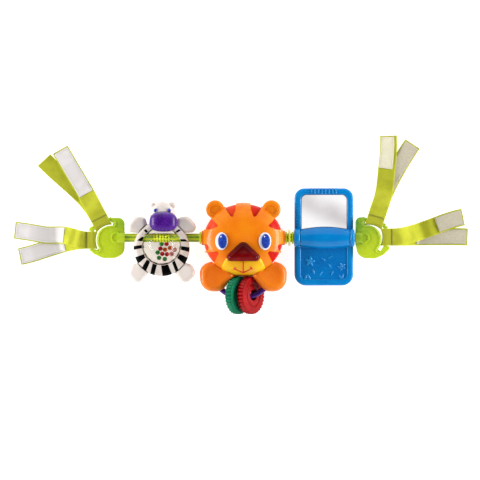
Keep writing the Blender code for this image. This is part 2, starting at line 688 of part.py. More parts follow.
def stop_ring(side):
    """The ring that holds a bar inside the tiger's case."""
    inner_face = FACE_HALF_WIDTH - FACE_WALL - SEAM_GAP - LENS_WALL - CASE_WALL
    start = inner_face - BAR_STOP_THICK
    return (start if side > 0 else -inner_face, BAR_STOP_THICK, BAR_STOP_RADIUS)


def clip_edge(side):
    """Where an end clip meets the bar."""
    return LEFT_CLIP_EDGE if side < 0 else RIGHT_CLIP_EDGE


def build_bars(finishes):
    """The left and the right bar."""
    seat = BAR_SEAT_DEPTH
    left_end = clip_edge(-1) - seat
    right_end = clip_edge(1) + seat
    inner_end = stop_ring(1)[0] - BAR_STOP_THICK
    collar = NECK_BOSS_REACH + SEAM_GAP
    left_rings = click_rings() + [stop_ring(-1), (-collar - COLLAR_THICK, COLLAR_THICK, COLLAR_RADIUS)]
    add_object("left_bar", bar_solid(left_end, -inner_end, left_rings), finishes["lime"])
    flange = collar + COLLAR_THICK + FLANGE_SPACE
    second = flange + FLANGE_THICK + FLANGE_SPACE
    right_rings = [stop_ring(1), (collar, COLLAR_THICK, COLLAR_RADIUS), (flange, FLANGE_THICK, FLANGE_RADIUS),
                   (second, COLLAR_THICK, COLLAR_RADIUS)]
    add_object("right_bar", bar_solid(inner_end, right_end, right_rings), finishes["lime"])


# End clips

def slot_outline(centre, degrees):
    """The curved slot between the tongue and the rim."""
    first, last = (math.radians(value) for value in degrees)

    def at(inset=0.0):
        points = []
        for radius, direction in ((TONGUE_RADIUS + SLOT_WIDTH - inset, 1), (TONGUE_RADIUS + inset, -1)):
            for step in range(FINE_STEPS // 2 + 1):
                share = step / (FINE_STEPS // 2)
                angle = first + (last - first) * (share if direction > 0 else 1 - share)
                points.append(centre + radius * Vector((math.cos(angle), math.sin(angle))))
        return points

    return at


def turned_block(centre, outward, near, far, half_length, low, high):
    """An upright box that faces outward from a point."""
    along = Vector((-outward.y, outward.x))
    corners = (centre + outward * near - along * half_length, centre + outward * far - along * half_length,
               centre + outward * far + along * half_length, centre + outward * near + along * half_length)
    return skin([lift(corners, low), lift(corners, high)])


def rim_bar(strap, half_length):
    """The straight round bar that a strap loops over."""
    shape = rod(-half_length, half_length, RIM_BAR_RADIUS, (0, 0, 0), ROUND_STEPS // 2, along_x=True)
    turn = math.atan2(strap["along"].y, strap["along"].x)
    bmesh.ops.transform(shape, matrix=Matrix.Rotation(turn, 4, "Z"), verts=shape.verts)
    bmesh.ops.translate(shape, vec=(*strap["axis"], AXIS_HEIGHT), verts=shape.verts)
    return shape


def build_clip(name, side, centre, corner_shares, round_shares, slot_degrees, straps, finishes):
    """One end clip: a plate with a slot, two rim bars, a boss for the bar and a round disc."""
    corners = shared_corners(corner_shares, CLIP_REACH, centre)
    radii = [share * CLIP_REACH for share in round_shares]
    low = AXIS_HEIGHT - CLIP_THICK / 2
    high = AXIS_HEIGHT + CLIP_THICK / 2
    outline = rounded_outline(corners, radii)
    clip = add_object(name, pillow(outline, low, high, CLIP_EDGE_ROUND, CLIP_EDGE_ROUND), finishes["lime"])
    slot = prism(slot_outline(centre, slot_degrees), low - CUT_OVERRUN, high + CUT_OVERRUN)
    take(clip, add_tool(name + "_slot", slot))
    window_half = WEBBING_WIDTH / 2 + STRAP_SIDE_GAP
    for strap in straps:
        near = TONGUE_RADIUS + SEAM_GAP - RIM_BAR_DISTANCE
        window = turned_block(strap["axis"], strap["outward"], near, RIM_BAR_RADIUS + CUT_OVERRUN, window_half,
                              low - CUT_OVERRUN, high + CUT_OVERRUN)
        take(clip, add_tool(strap["name"] + "_window", window))
    between = (straps[0]["outward"] + straps[1]["outward"]).normalized()
    relief_place = (*(centre + between * (TONGUE_RADIUS + SLOT_WIDTH)), AXIS_HEIGHT)
    relief = rod(-CLIP_THICK, CLIP_THICK, CLIP_RELIEF_RADIUS, relief_place, ROUND_STEPS // 2)
    take(clip, add_tool(name + "_relief", relief))
    for strap in straps:
        bar = rim_bar(strap, window_half + RIM_BAR_RADIUS)
        take(clip, add_tool(strap["name"] + "_rim_bar", bar), "UNION")
    edge = clip_edge(side)
    boss = bar_rod(edge - side * SEAM_GAP, edge + side * CLIP_BOSS_LENGTH, CLIP_BOSS_RADIUS)
    take(clip, add_tool(name + "_boss", boss), "UNION")
    disc_place = (edge + side * CLIP_DISC_INSET, 0, AXIS_HEIGHT)
    disc_half = CLIP_THICK / 2 + CLIP_DISC_RISE
    disc = rod(-disc_half, disc_half, CLIP_DISC_RADIUS, disc_place)
    take(clip, add_tool(name + "_disc", disc), "UNION")
    socket = bar_rod(edge - side * CUT_OVERRUN, edge + side * (BAR_SEAT_DEPTH + SEAM_GAP), BAR_RADIUS + SEAM_GAP)
    take(clip, add_tool(name + "_socket", socket))


# Webbing straps

def bezier(start, first, second, end, share):
    """A point on a cubic curve."""
    rest = 1 - share
    return start * rest ** 3 + first * 3 * rest ** 2 * share + second * 3 * rest * share ** 2 + end * share ** 3


def ease(value):
    """A smooth step from 0 to 1."""
    value = min(max(value, 0.0), 1.0)
    return value * value * (3 - 2 * value)


def make_tail(strap, tip, heading, neck_height, lying_height, tip_height, lag, droop):
    """What one tail follows: its plan curve and its heights."""
    neck = strap["axis"] + strap["outward"] * STRAP_NECK
    reach = (tip - neck).length
    return {
        "neck": neck, "first": neck + strap["outward"] * reach / 3, "second": tip - heading * reach / 3,
        "tip": tip, "length": reach, "neck_height": neck_height, "lying_height": lying_height,
        "tip_height": tip_height, "lag": lag, "droop": droop}


def tail_place(tail, share):
    """A point on the middle of a tail, from its neck at 0 to its tip at 1."""
    flat = bezier(tail["neck"], tail["first"], tail["second"], tail["tip"], share)
    run = share * tail["length"]
    fall = ease((run - STRAP_LEVEL_RUN - tail["lag"]) / STRAP_DROP_RUN)
    height = tail["neck_height"] + (tail["lying_height"] - tail["neck_height"]) * fall
    if tail["droop"] > 0:
        sink = ease((run - tail["length"] + tail["droop"]) / tail["droop"])
        height += (tail["tip_height"] - tail["lying_height"]) * sink
    return Vector((flat.x, flat.y, height))


def tail_frame(tail, share):
    """A tail's place, its sideways direction and its upward direction."""
    step = 1 / (TAIL_STEPS * TAIL_STEPS)
    place = tail_place(tail, share)
    ahead = tail_place(tail, min(share + step, 1.0))
    behind = tail_place(tail, max(share - step, 0.0))
    along = (ahead - behind).normalized()
    across = Vector((-along.y, along.x, 0)).normalized()
    return place, across, along.cross(across)


def facet_frame(tail, share):
    """A tail's place, sideways and upward direction on one of its own flat facets."""
    step = min(int(share * TAIL_STEPS), TAIL_STEPS - 1)
    before = tail_frame(tail, step / TAIL_STEPS)
    after = tail_frame(tail, (step + 1) / TAIL_STEPS)
    return [low.lerp(high, share * TAIL_STEPS - step) for low, high in zip(before, after)]


def strip_solid(name, stations, width, thick, finish):
    """A band of even thickness along stations of place and sideways direction."""
    shape = bmesh.new()
    rows = []
    for place, across in stations:
        rows.append((shape.verts.new(place - across * width / 2), shape.verts.new(place + across * width / 2)))
    for row, following in zip(rows, rows[1:]):
        shape.faces.new((row[0], row[1], following[1], following[0]))
    strip = add_object(name, shape, finish)
    wall = strip.modifiers.new("thickness", "SOLIDIFY")
    wall.thickness = thick
    wall.offset = 0
    wall.use_even_offset = True
    return strip


def loop_stations(strap):
    """The strap's way round its rim bar, from the upper layer to the lower one."""
    radius = RIM_BAR_RADIUS + SEAM_GAP + WEBBING_THICK / 2
    neck_half = (WEBBING_THICK + LAYER_GAP) / 2
    neck = Vector((STRAP_NECK, neck_half))
    first = math.atan2(neck.y, neck.x) + math.acos(radius / neck.length)
    across = Vector((*-strap["along"], 0))
    stations = []
    for step in range(LOOP_STEPS + 1):
        angle = first + (math.tau - 2 * first) * step / LOOP_STEPS
        flat = strap["axis"] + strap["outward"] * radius * math.cos(angle)
        stations.append((Vector((flat.x, flat.y, AXIS_HEIGHT + radius * math.sin(angle))), across))
    return stations


def build_strap(strap, finishes):
    """One strip of webbing: upper tail, loop round the rim bar, lower tail."""
    shares = [step / TAIL_STEPS for step in range(TAIL_STEPS + 1)]
    stations = []
    for share in reversed(shares):
        place, across, _ = tail_frame(strap["front_tail"], share)
        stations.append((place, across))
    stations.extend(loop_stations(strap))
    for share in shares:
        place, across, _ = tail_frame(strap["rear_tail"], share)
        stations.append((place, across))
    webbing = strip_solid(strap["name"], stations, WEBBING_WIDTH, WEBBING_THICK, finishes["webbing"])
    hang(webbing, strap["pivot"])
    for piece in strap["pieces"]:
        name, tail, length, face, width, thick, finish = piece
        path = strap[tail]
        first = 1 - (length + PAD_END_MARGIN) / path["length"]
        last = 1 - PAD_END_MARGIN / path["length"]
        offset = face * (WEBBING_THICK / 2 + LAYER_GAP + thick / 2)
        pad_stations = []
        for share in [first] + [share for share in shares if first < share < last] + [last]:
            place, across, up = facet_frame(path, share)
            pad_stations.append((place + up * offset, across))
        pad = strip_solid(name, pad_stations, width, thick, finishes[finish])
        hang(pad, strap["pivot"])


def patch(name, tail, length):
    """A white patch sewn on a tail's upper face."""
    return name, tail, length, 1, PATCH_WIDTH, PATCH_THICK, "patch"


def pad(name, tail, length, face):
    """A hook and loop tape sewn on a tail's upper or lower face."""
    return name, tail, length, face, PAD_WIDTH, PAD_THICK, "hook"


def make_strap(name, clip_centre, degrees, shift, tips, headings, heights, droops, pieces):
    """A strap's places: its rim bar's axis, its two tails and what is sewn on them."""
    outward = Vector((math.cos(math.radians(degrees)), math.sin(math.radians(degrees))))
    along = Vector((outward.y, -outward.x))
    axis = clip_centre + outward * RIM_BAR_DISTANCE + along * shift
    strap = {"name": name, "outward": outward, "along": along, "axis": axis, "pieces": pieces}
    tips = [clip_centre + Vector(tip) for tip in tips]
    strap["pivot"] = add_axis(name + "_axis", (*axis, AXIS_HEIGHT))
    neck_half = (WEBBING_THICK + LAYER_GAP) / 2
    for tail, side, lag in (("front_tail", 1, STRAP_DROP_LAG), ("rear_tail", -1, 0.0)):
        index = 0 if side > 0 else 1
        heading = Vector(headings[index]).normalized()
        strap[tail] = make_tail(strap, tips[index], heading, AXIS_HEIGHT + side * neck_half,
                                heights[index][0] + WEBBING_THICK / 2, heights[index][1] + WEBBING_THICK / 2,
                                lag, droops[index])
    return strap


def make_straps():
    """The four straps, with their tips and headings as they lie in the photograph."""
    on_pad = PAD_THICK + LAYER_GAP
    over_rear = on_pad + WEBBING_THICK + LAYER_GAP
    over_patch = over_rear + PATCH_THICK + LAYER_GAP
    over_pads = over_rear + on_pad
    over_right = WEBBING_THICK + LAYER_GAP + on_pad
    left_upper = make_strap(
        "left_upper_strap", LEFT_CLIP_CENTRE, LEFT_UPPER_DEGREES, LEFT_UPPER_SHIFT,
        LEFT_UPPER_TIPS, LEFT_UPPER_HEADINGS, ((over_pads, over_pads), (on_pad, on_pad)), (0, 0),
        (patch("left_upper_front_patch", "front_tail", LEFT_UPPER_FRONT_PATCH),
         pad("left_upper_front_pad", "front_tail", LEFT_UPPER_FRONT_PAD, -1),
         pad("left_upper_rear_pad", "rear_tail", LEFT_UPPER_REAR_PAD, -1)))
    left_lower = make_strap(
        "left_lower_strap", LEFT_CLIP_CENTRE, LEFT_LOWER_DEGREES, LEFT_LOWER_SHIFT,
        LEFT_LOWER_TIPS, LEFT_LOWER_HEADINGS, ((over_patch, on_pad), (on_pad, on_pad)),
        (LEFT_LOWER_DROOP, 0),
        (patch("left_lower_front_patch", "front_tail", LEFT_LOWER_FRONT_PATCH),
         patch("left_lower_rear_patch", "rear_tail", LEFT_LOWER_REAR_PATCH),
         pad("left_lower_front_pad", "front_tail", LEFT_LOWER_FRONT_PAD, -1),
         pad("left_lower_rear_pad", "rear_tail", LEFT_LOWER_REAR_PAD, -1)))
    right_upper = make_strap(
        "right_upper_strap", RIGHT_CLIP_CENTRE, RIGHT_UPPER_DEGREES, RIGHT_UPPER_SHIFT,
        RIGHT_UPPER_TIPS, RIGHT_UPPER_HEADINGS, ((over_right, 0), (0, 0)), (RIGHT_UPPER_DROOP, 0),
        (pad("right_upper_front_pad", "front_tail", RIGHT_UPPER_FRONT_PAD, 1),
         pad("right_upper_rear_pad", "rear_tail", RIGHT_UPPER_REAR_PAD, 1)))
    right_lower = make_strap(
        "right_lower_strap", RIGHT_CLIP_CENTRE, RIGHT_LOWER_DEGREES, RIGHT_LOWER_SHIFT,
        RIGHT_LOWER_TIPS, RIGHT_LOWER_HEADINGS, ((over_right, over_right), (0, 0)), (0, 0),
        (pad("right_lower_front_pad", "front_tail", RIGHT_LOWER_FRONT_PAD, 1),
         pad("right_lower_rear_pad", "rear_tail", RIGHT_LOWER_REAR_PAD, 1)))
    return (left_upper, left_lower), (right_upper, right_lower)


# Zebra rattle

def ball_centre():
    """The middle of the rattle ball."""
    return Vector((ZEBRA_X, -BALL_DROP, AXIS_HEIGHT))


def torso_centre():
    """The middle of the zebra's round body."""
    return Vector((ZEBRA_X, -TORSO_DROP, AXIS_HEIGHT))


def torso_half(rise, direction):
    """Half of the round body, up or down from the parting, with a rounded outer edge."""
    profile = [(0, 0), (0, TORSO_RADIUS)]
    for step in range(EDGE_STEPS + 1):
        angle = math.radians(90) * step / EDGE_STEPS
        profile.append((direction * (rise - TORSO_ROUND * (1 - math.sin(angle))),
                        TORSO_RADIUS - TORSO_ROUND * (1 - math.cos(angle))))
    profile.append((direction * rise, 0))
    return turned(profile, torso_centre(), FINE_STEPS)


def parting_block(name, low, high):
    """A slab that trims the zebra's halves at their parting."""
    centre = torso_centre()
    reach = TORSO_RADIUS + SEAM_GAP
    return add_tool(name, rod(low, high, reach, centre, FINE_STEPS))


def zebra_bores():
    """The ball's hole with its flange's groove, and the bar's bore, cut through both halves."""
    reach = TORSO_BACK_DEPTH + CUT_OVERRUN
    groove = BALL_FLANGE_THICK + SEAM_GAP
    narrow = BALL_RADIUS + SEAM_GAP
    wide = BALL_FLANGE_RADIUS + SEAM_GAP
    profile = ((-reach, 0), (-reach, narrow), (-groove, narrow), (-groove, wide), (groove, wide), (groove, narrow),
               (reach, narrow), (reach, 0))
    hole = add_tool("ball_hole", turned(profile, ball_centre(), FINE_STEPS))
    bore = add_tool("zebra_bore", bar_rod(ZEBRA_X - 2 * TORSO_RADIUS, ZEBRA_X + 2 * TORSO_RADIUS, BORE_RADIUS, 16))
    return hole, bore


def build_zebra_body(finishes, axis, bores):
    """The back shell with its four limbs, and the striped front ring."""
    centre = torso_centre()
    low = AXIS_HEIGHT - LIMB_BACK_DEPTH
    high = AXIS_HEIGHT + LIMB_FRONT_RISE
    back = add_object("zebra_back_shell", torso_half(TORSO_BACK_DEPTH, -1), finishes["zebra"])
    for name, shares, round_shares in (("arm", ARM_CORNER_SHARES, ARM_ROUND_SHARES),
                                       ("leg", LEG_CORNER_SHARES, LEG_ROUND_SHARES)):
        for side, mirror in (("left", 1), ("right", -1)):
            corners = shared_corners(shares, TORSO_RADIUS, centre, mirror)
            outline = rounded_outline(corners, [share * TORSO_RADIUS for share in round_shares])
            limb = add_tool(side + "_" + name, pillow(outline, low, high, LIMB_ROUND, LIMB_ROUND))
            take(back, limb, "UNION")
    take(back, parting_block("front_clearance", -SEAM_GAP / 2, LIMB_FRONT_RISE + CUT_OVERRUN))
    front = add_object("zebra_front_ring", torso_half(TORSO_FRONT_RISE, 1), finishes["zebra"])
    take(front, parting_block("back_clearance", -CUT_OVERRUN, SEAM_GAP / 2))
    for piece in (back, front):
        for bore in bores:
            take(piece, bore)
        hang(piece, axis)


def ball_dome(direction):
    """One clear half of the rattle ball, with the flange that the body grips."""
    gap = SEAM_GAP / 2
    inner = BALL_RADIUS - BALL_WALL
    flange_face = BALL_FLANGE_THICK
    profile = [(direction * gap, BALL_FLANGE_RADIUS), (direction * flange_face, BALL_FLANGE_RADIUS)]
    steps = DOME_STEPS
    first = math.asin(flange_face / BALL_RADIUS)
    for step in range(steps + 1):
        angle = first + (math.radians(90) - first) * step / steps
        profile.append((direction * BALL_RADIUS * math.sin(angle), BALL_RADIUS * math.cos(angle)))
    first = math.asin(gap / inner)
    for step in range(steps + 1):
        angle = math.radians(90) + (first - math.radians(90)) * step / steps
        profile.append((direction * inner * math.sin(angle), inner * math.cos(angle)))
    shape = bmesh.new()
    points = [shape.verts.new((radius, 0, along)) for along, radius in profile]
    pole = steps + 2
    edges = [shape.edges.new((points[index - 1], points[index])) for index in range(len(points))
             if index != pole + 1]
    bmesh.ops.spin(shape, geom=points + edges, cent=(0, 0, 0), axis=(0, 0, 1), angle=math.tau,
                   steps=FINE_STEPS, use_merge=True)
    tidied(shape)
    bmesh.ops.translate(shape, verts=shape.verts, vec=ball_centre())
    return shape


def build_ball(finishes, axis, bead_axis, bore):
    """The clear ball's two halves and the beads that lie in it."""
    for name, direction in (("ball_front_dome", 1), ("ball_back_dome", -1)):
        dome = add_object(name, ball_dome(direction), finishes["clear"])
        take(dome, bore)
        hang(dome, axis)
    inner = BALL_RADIUS - BALL_WALL - BEAD_RADIUS - 2 * RUNNING_GAP
    centre = ball_centre()
    for index, (x_share, y_share) in enumerate(BEAD_PLACE_SHARES):
        x = x_share * BALL_RADIUS
        y = y_share * BALL_RADIUS
        depth = math.sqrt(inner ** 2 - x ** 2 - y ** 2)
        place = centre + Vector((x, y, -depth))
        finish = finishes["bead_green" if index in (0, 4, 5) else "bead_red"]
        bead = add_object("bead_" + str(index + 1), ball(place, even(BEAD_RADIUS), 10), finish)
        hang(bead, bead_axis)


def build_zebra_head(finishes, axis):
    """The head with its ears and tuft, the big muzzle and two small eyes."""
    centre = torso_centre()
    head_centre = Vector((ZEBRA_X + HEAD_SHIFT_X, HEAD_RISE_Y, AXIS_HEIGHT))
    muzzle_centre = Vector((ZEBRA_X + MUZZLE_SHIFT_X, MUZZLE_Y, AXIS_HEIGHT + MUZZLE_Z))
    reach = TORSO_RADIUS + SEAM_GAP
    room = rod(-2 * TORSO_BACK_DEPTH, TORSO_FRONT_RISE + SEAM_GAP, reach, centre, FINE_STEPS)
    body = add_tool("body_clearance", room)
    glass = add_tool("ball_clearance", ball(ball_centre(), even(BALL_RADIUS + RUNNING_GAP), FINE_STEPS))
    muzzle_room = add_tool("muzzle_clearance", ball(muzzle_centre, MUZZLE_SIZE + even(RUNNING_GAP)))
    head = add_object("zebra_head", ball(head_centre, HEAD_SIZE), finishes["zebra"])
    for side in (-1, 1):
        place = head_centre + Vector((side * EAR_KNOB_SPREAD, EAR_KNOB_RISE, 0))
        take(head, add_tool("ear_knob_" + str(side + 1), ball(place, even(EAR_KNOB_RADIUS), 12)), "UNION")
    tuft_place = head_centre + Vector((0, (HEAD_SIZE.y - TUFT_SIZE.y) / 2 + TUFT_PROUD, 0))
    take(head, add_tool("tuft", ball(tuft_place, TUFT_SIZE, 12)), "UNION")
    take(head, body)
    take(head, muzzle_room)
    muzzle = add_object("zebra_muzzle", ball(muzzle_centre, MUZZLE_SIZE), finishes["purple"])
    take(muzzle, body)
    take(muzzle, glass)
    hang(head, axis)
    hang(muzzle, axis)
    for name, side in (("zebra_left_eye", -1), ("zebra_right_eye", 1)):
        x = side * SMALL_EYE_SPREAD
        y = SMALL_EYE_RISE
        slope = 1 - (2 * x / HEAD_SIZE.x) ** 2 - (2 * y / HEAD_SIZE.y) ** 2
        surface = math.sqrt(slope) * HEAD_SIZE.z / 2
        normal = Vector((x / HEAD_SIZE.x ** 2, y / HEAD_SIZE.y ** 2, surface / HEAD_SIZE.z ** 2)).normalized()
        place = head_centre + Vector((x, y, surface)) + normal * (SMALL_EYE_RADIUS + SEAM_GAP)
        eye = add_object(name, ball(place, even(SMALL_EYE_RADIUS), 12), finishes["blue_eye"])
        hang(eye, axis)


def build_zebra(finishes):
    """The rattle that spins on the left bar."""
    axis = add_axis("zebra_axis", (ZEBRA_X, 0, AXIS_HEIGHT))
    bead_axis = add_axis("bead_axis", ball_centre())
    bores = zebra_bores()
    build_zebra_body(finishes, axis, bores)
    build_ball(finishes, axis, bead_axis, bores[-1])
    build_zebra_head(finishes, axis)


# Tiger head

def dome_ring(half_width, half_height, rise, level):
    """One level of the head's dome: its scale and height."""
    angle = math.radians(level)
    width = math.cos(angle) ** (2 / DOME_POWER)
    height = math.sin(angle) ** (2 / DOME_POWER) if level else 0.0
    return half_width * width, half_height * width, rise * height


def head_dome(grow, skirt=0.0):
    """The solid dome of the face, grown or shrunk, with a straight skirt under it."""
    rings = []
    if skirt:
        outline = oval_outline((0, HEAD_CENTRE_Y), FACE_HALF_WIDTH + grow, FACE_HALF_HEIGHT + grow, FINE_STEPS)
        rings.append(lift(outline(), PARTING_HEIGHT - skirt))
    for level in DOME_LEVEL_DEGREES:
        width, height, rise = dome_ring(FACE_HALF_WIDTH + grow, FACE_HALF_HEIGHT + grow, FACE_RISE + grow, level)
        outline = oval_outline((0, HEAD_CENTRE_Y), width, height, FINE_STEPS)
        rings.append(lift(outline(), PARTING_HEIGHT + rise))
    return skin(rings)


def nose_outline():
    """The rounded triangle of the nose."""
    corners = ((0, NOSE_TOP_Y), (-NOSE_HALF_WIDTH, NOSE_BOTTOM_Y), (NOSE_HALF_WIDTH, NOSE_BOTTOM_Y))
    return rounded_outline(corners, (NOSE_TOP_ROUND, NOSE_SIDE_ROUND, NOSE_SIDE_ROUND))


def nose_prism(grow):
    """Room for the nose through the face."""
    outline = nose_outline()
    return skin([lift(outline(-grow), PARTING_HEIGHT - CUT_OVERRUN), lift(outline(-grow), PARTING_HEIGHT + 2 * FACE_RISE)])


def stripe_outlines():
    """The stripe windows on both sides of the face."""
    outlines = []
    for mirror in (1, -1):
        for corners in STRIPE_CORNER_SHARES:
            points = [(mirror * x * FACE_HALF_WIDTH, HEAD_CENTRE_Y + y * FACE_HALF_HEIGHT) for x, y in corners]
            radii = [share * FACE_HALF_WIDTH for share in STRIPE_ROUND_SHARES]
            outlines.append(rounded_outline(points, radii))
    return outlines


def neck_boss(grow):
    """The round boss where the bar enters the head, on both sides."""
    return bar_rod(-NECK_BOSS_REACH, NECK_BOSS_REACH, NECK_BOSS_RADIUS + grow)


def bar_room():
    """Room for both bars and their stop rings inside the head."""
    start, thick, radius = stop_ring(1)
    inner = start - BAR_STOP_THICK - RUNNING_GAP
    outer = start + thick + SEAM_GAP
    reach = NECK_BOSS_REACH + CUT_OVERRUN
    narrow = BAR_RADIUS + SEAM_GAP
    wide = radius + SEAM_GAP
    profile = ((-reach, 0), (-reach, narrow), (-outer, narrow), (-outer, wide), (-inner, wide), (inner, wide),
               (outer, wide), (outer, narrow), (reach, narrow), (reach, 0))
    return turned(profile, (0, 0, AXIS_HEIGHT), 20, along_x=True)


def build_face(finishes, room):
    """The orange face shell with ears, stripe windows and the nose opening."""
    face = add_object("tiger_face", head_dome(0.0), finishes["orange"])
    boss = add_tool("face_boss", neck_boss(0.0))
    take(face, boss, "UNION")
    low = PARTING_HEIGHT
    high = PARTING_HEIGHT + EAR_FRONT_RISE
    for side in (-1, 1):
        outline = oval_outline((side * EAR_SPREAD, EAR_HEIGHT), EAR_RADIUS, EAR_RADIUS)
        ear = add_tool("ear_front_" + str(side + 1), pillow(outline, low, high, CLIP_EDGE_ROUND, EAR_ROUND))
        take(face, ear, "UNION")
    take(face, add_tool("face_hollow", head_dome(-FACE_WALL, CUT_OVERRUN)))
    below = 2 * NECK_BOSS_RADIUS
    under = rod(-below, 0, 2 * FACE_HALF_WIDTH, (0, 0, PARTING_HEIGHT + SEAM_GAP / 2), FINE_STEPS)
    take(face, add_tool("face_parting", under))
    for index, outline in enumerate(stripe_outlines()):
        window = prism(outline, PARTING_HEIGHT - CUT_OVERRUN, PARTING_HEIGHT + FACE_RISE)
        take(face, add_tool("stripe_window_" + str(index), window))
    take(face, add_tool("nose_opening", nose_prism(RUNNING_GAP)))
    for side in (-1, 1):
        outline = oval_outline((side * EAR_SPREAD, EAR_HEIGHT), EAR_CUP_WIDTH, EAR_CUP_HEIGHT)
        cup = prism(outline, high - EAR_CUP_DEPTH, high + CUT_OVERRUN)
        take(face, add_tool("ear_cup_" + str(side + 1), cup))
    take(face, room)


def build_lens(finishes, room):
    """The translucent dome that shows in the stripe windows."""
    outside = -FACE_WALL - SEAM_GAP
    lens = add_object("stripe_lens", head_dome(outside), finishes["lens"])
    take(lens, add_tool("lens_hollow", head_dome(outside - LENS_WALL, CUT_OVERRUN)))
    base = prism(oval_outline((0, HEAD_CENTRE_Y), FACE_HALF_WIDTH, FACE_HALF_HEIGHT), 0, PARTING_HEIGHT + SEAM_GAP / 2)
    take(lens, add_tool("lens_parting", base))
    take(lens, add_tool("nose_room", nose_prism(NOSE_RIM_OUT + RUNNING_GAP)))
    take(lens, room)


def skin_patch(name, outline, low, high, finish, holes=()):
    """A piece that lies on the face: an upright form kept between two grown domes."""
    form = prism(outline, PAW_FRONT_HEIGHT + RUNNING_GAP, PARTING_HEIGHT + 2 * FACE_RISE)
    piece = add_object(name, form, finish)
    take(piece, add_tool(name + "_top", head_dome(high, CUT_OVERRUN)), "INTERSECT")
    take(piece, add_tool(name + "_seat", head_dome(low, CUT_OVERRUN)))
    for hole in holes:
        take(piece, hole)
    return piece


def build_features(finishes):
    """Eyes, chin and nose on the face."""
    seat = SEAM_GAP
    for side_name, side in (("left", -1), ("right", 1)):
        centre = (side * EYE_SPREAD, EYE_Y)
        white_outline = oval_outline(centre, EYE_HALF_WIDTH, EYE_HALF_HEIGHT, 24)
        skin_patch(side_name + "_eye_white", white_outline, seat, seat + EYE_THICK, finishes["white"])
        centre = (side * EYE_SPREAD + IRIS_SHIFT, EYE_Y)
        low = seat + EYE_THICK + SEAM_GAP
        iris_outline = oval_outline(centre, IRIS_HALF_WIDTH, IRIS_HALF_HEIGHT, 24)
        skin_patch(side_name + "_iris", iris_outline, low, low + IRIS_THICK, finishes["blue_eye"])
    chin_middle = (CHIN_TOP_Y + CHIN_BOTTOM_Y) / 2
    corners = ((-CHIN_TOP_HALF, CHIN_TOP_Y), (CHIN_TOP_HALF, CHIN_TOP_Y), (CHIN_WIDE_HALF, CHIN_WIDE_Y),
               (CHIN_TOP_HALF / 2, CHIN_BOTTOM_Y), (-CHIN_TOP_HALF / 2, CHIN_BOTTOM_Y), (-CHIN_WIDE_HALF, CHIN_WIDE_Y))
    outline = rounded_outline(corners, (CHIN_CORNER_ROUND,) * len(corners))
    room = add_tool("nose_clearance", nose_prism(RUNNING_GAP))
    skin_patch("tiger_muzzle", outline, seat, seat + CHIN_THICK, finishes["yellow"], (room,))
    build_nose(finishes)


def nose_levels():
    """Heights of the nose: its top, its rim and its stem's foot."""
    top = PARTING_HEIGHT + FACE_RISE + NOSE_PROUD
    rim = top - NOSE_RIM_DROP - NOSE_PROUD
    foot = board_top() + SPRING_RADIUS
    return top, rim, foot


def build_nose(finishes):
    """The press nose: a cap, the rim that keeps it in, a stem and its rubber spring."""
    top, rim, foot = nose_levels()
    outline = nose_outline()
    axis = add_axis("nose_axis", (0, (NOSE_TOP_Y + 2 * NOSE_BOTTOM_Y) / 3, rim))
    nose = add_object("nose_button", pillow(outline, rim - NOSE_RIM_THICK / 2, top, SEAM_GAP, NOSE_EDGE_ROUND), finishes["maroon"])
    flange = skin([lift(outline(-NOSE_RIM_OUT), rim - NOSE_RIM_THICK), lift(outline(-NOSE_RIM_OUT), rim)])
    take(nose, add_tool("nose_rim", flange), "UNION")
    stem = rod(foot, rim, NOSE_STEM_RADIUS, (axis.location.x, axis.location.y, 0), 12)
    take(nose, add_tool("nose_stem", stem), "UNION")
    hang(nose, axis)
    low = board_top() + SEAM_GAP
    high = foot - SEAM_GAP
    inner = SPRING_RADIUS - SPRING_WALL
    profile = ((low, inner), (low, SPRING_RADIUS), (high - SPRING_WALL, NOSE_STEM_RADIUS), (high, NOSE_STEM_RADIUS),
               (high, 0), (high - SPRING_WALL, 0), (high - SPRING_WALL, NOSE_STEM_RADIUS - SPRING_WALL))
    spring_place = (axis.location.x, axis.location.y, 0)
    spring = add_object("nose_spring", spring_shape(profile, spring_place), finishes["rubber"])
    hang(spring, axis)


def spring_shape(profile, place):
    """A thin rubber dome, open below."""
    shape = bmesh.new()
    points = [shape.verts.new((radius, 0, along)) for along, radius in profile]
    apex = 4
    edges = [shape.edges.new((points[index - 1], points[index])) for index in range(len(points)) if index != apex + 1]
    bmesh.ops.spin(shape, geom=points + edges, cent=(0, 0, 0), axis=(0, 0, 1), angle=math.tau, steps=16, use_merge=True)
    tidied(shape)
    bmesh.ops.translate(shape, verts=shape.verts, vec=place)
    return shape


# Tiger case and what it holds

def battery_levels():
    """Heights of the door's inner face, the cells' middle and the battery box's roof."""
    door_top = DOOR_RECESS + DOOR_THICK
    middle = door_top + SEAM_GAP + CELL_RADIUS
    ceiling = middle + CELL_RADIUS + SEAM_GAP
    return door_top, middle, ceiling


def board_top():
    """The circuit board's upper face."""
    return battery_levels()[2] + BATTERY_WALL + SEAM_GAP + BOARD_THICK


def battery_box(grow, low, high):
    """The battery space, grown by a wall."""
    half_length = CELL_LENGTH / 2 + CELL_NUB_LENGTH + SEAM_GAP + grow
    half_width = CELL_PITCH + SEAM_GAP + grow
    outline = box_outline(-half_length, half_length, CELLS_Y - half_width, CELLS_Y + half_width, DOOR_ROUND + grow)
    return prism(outline, low, high)


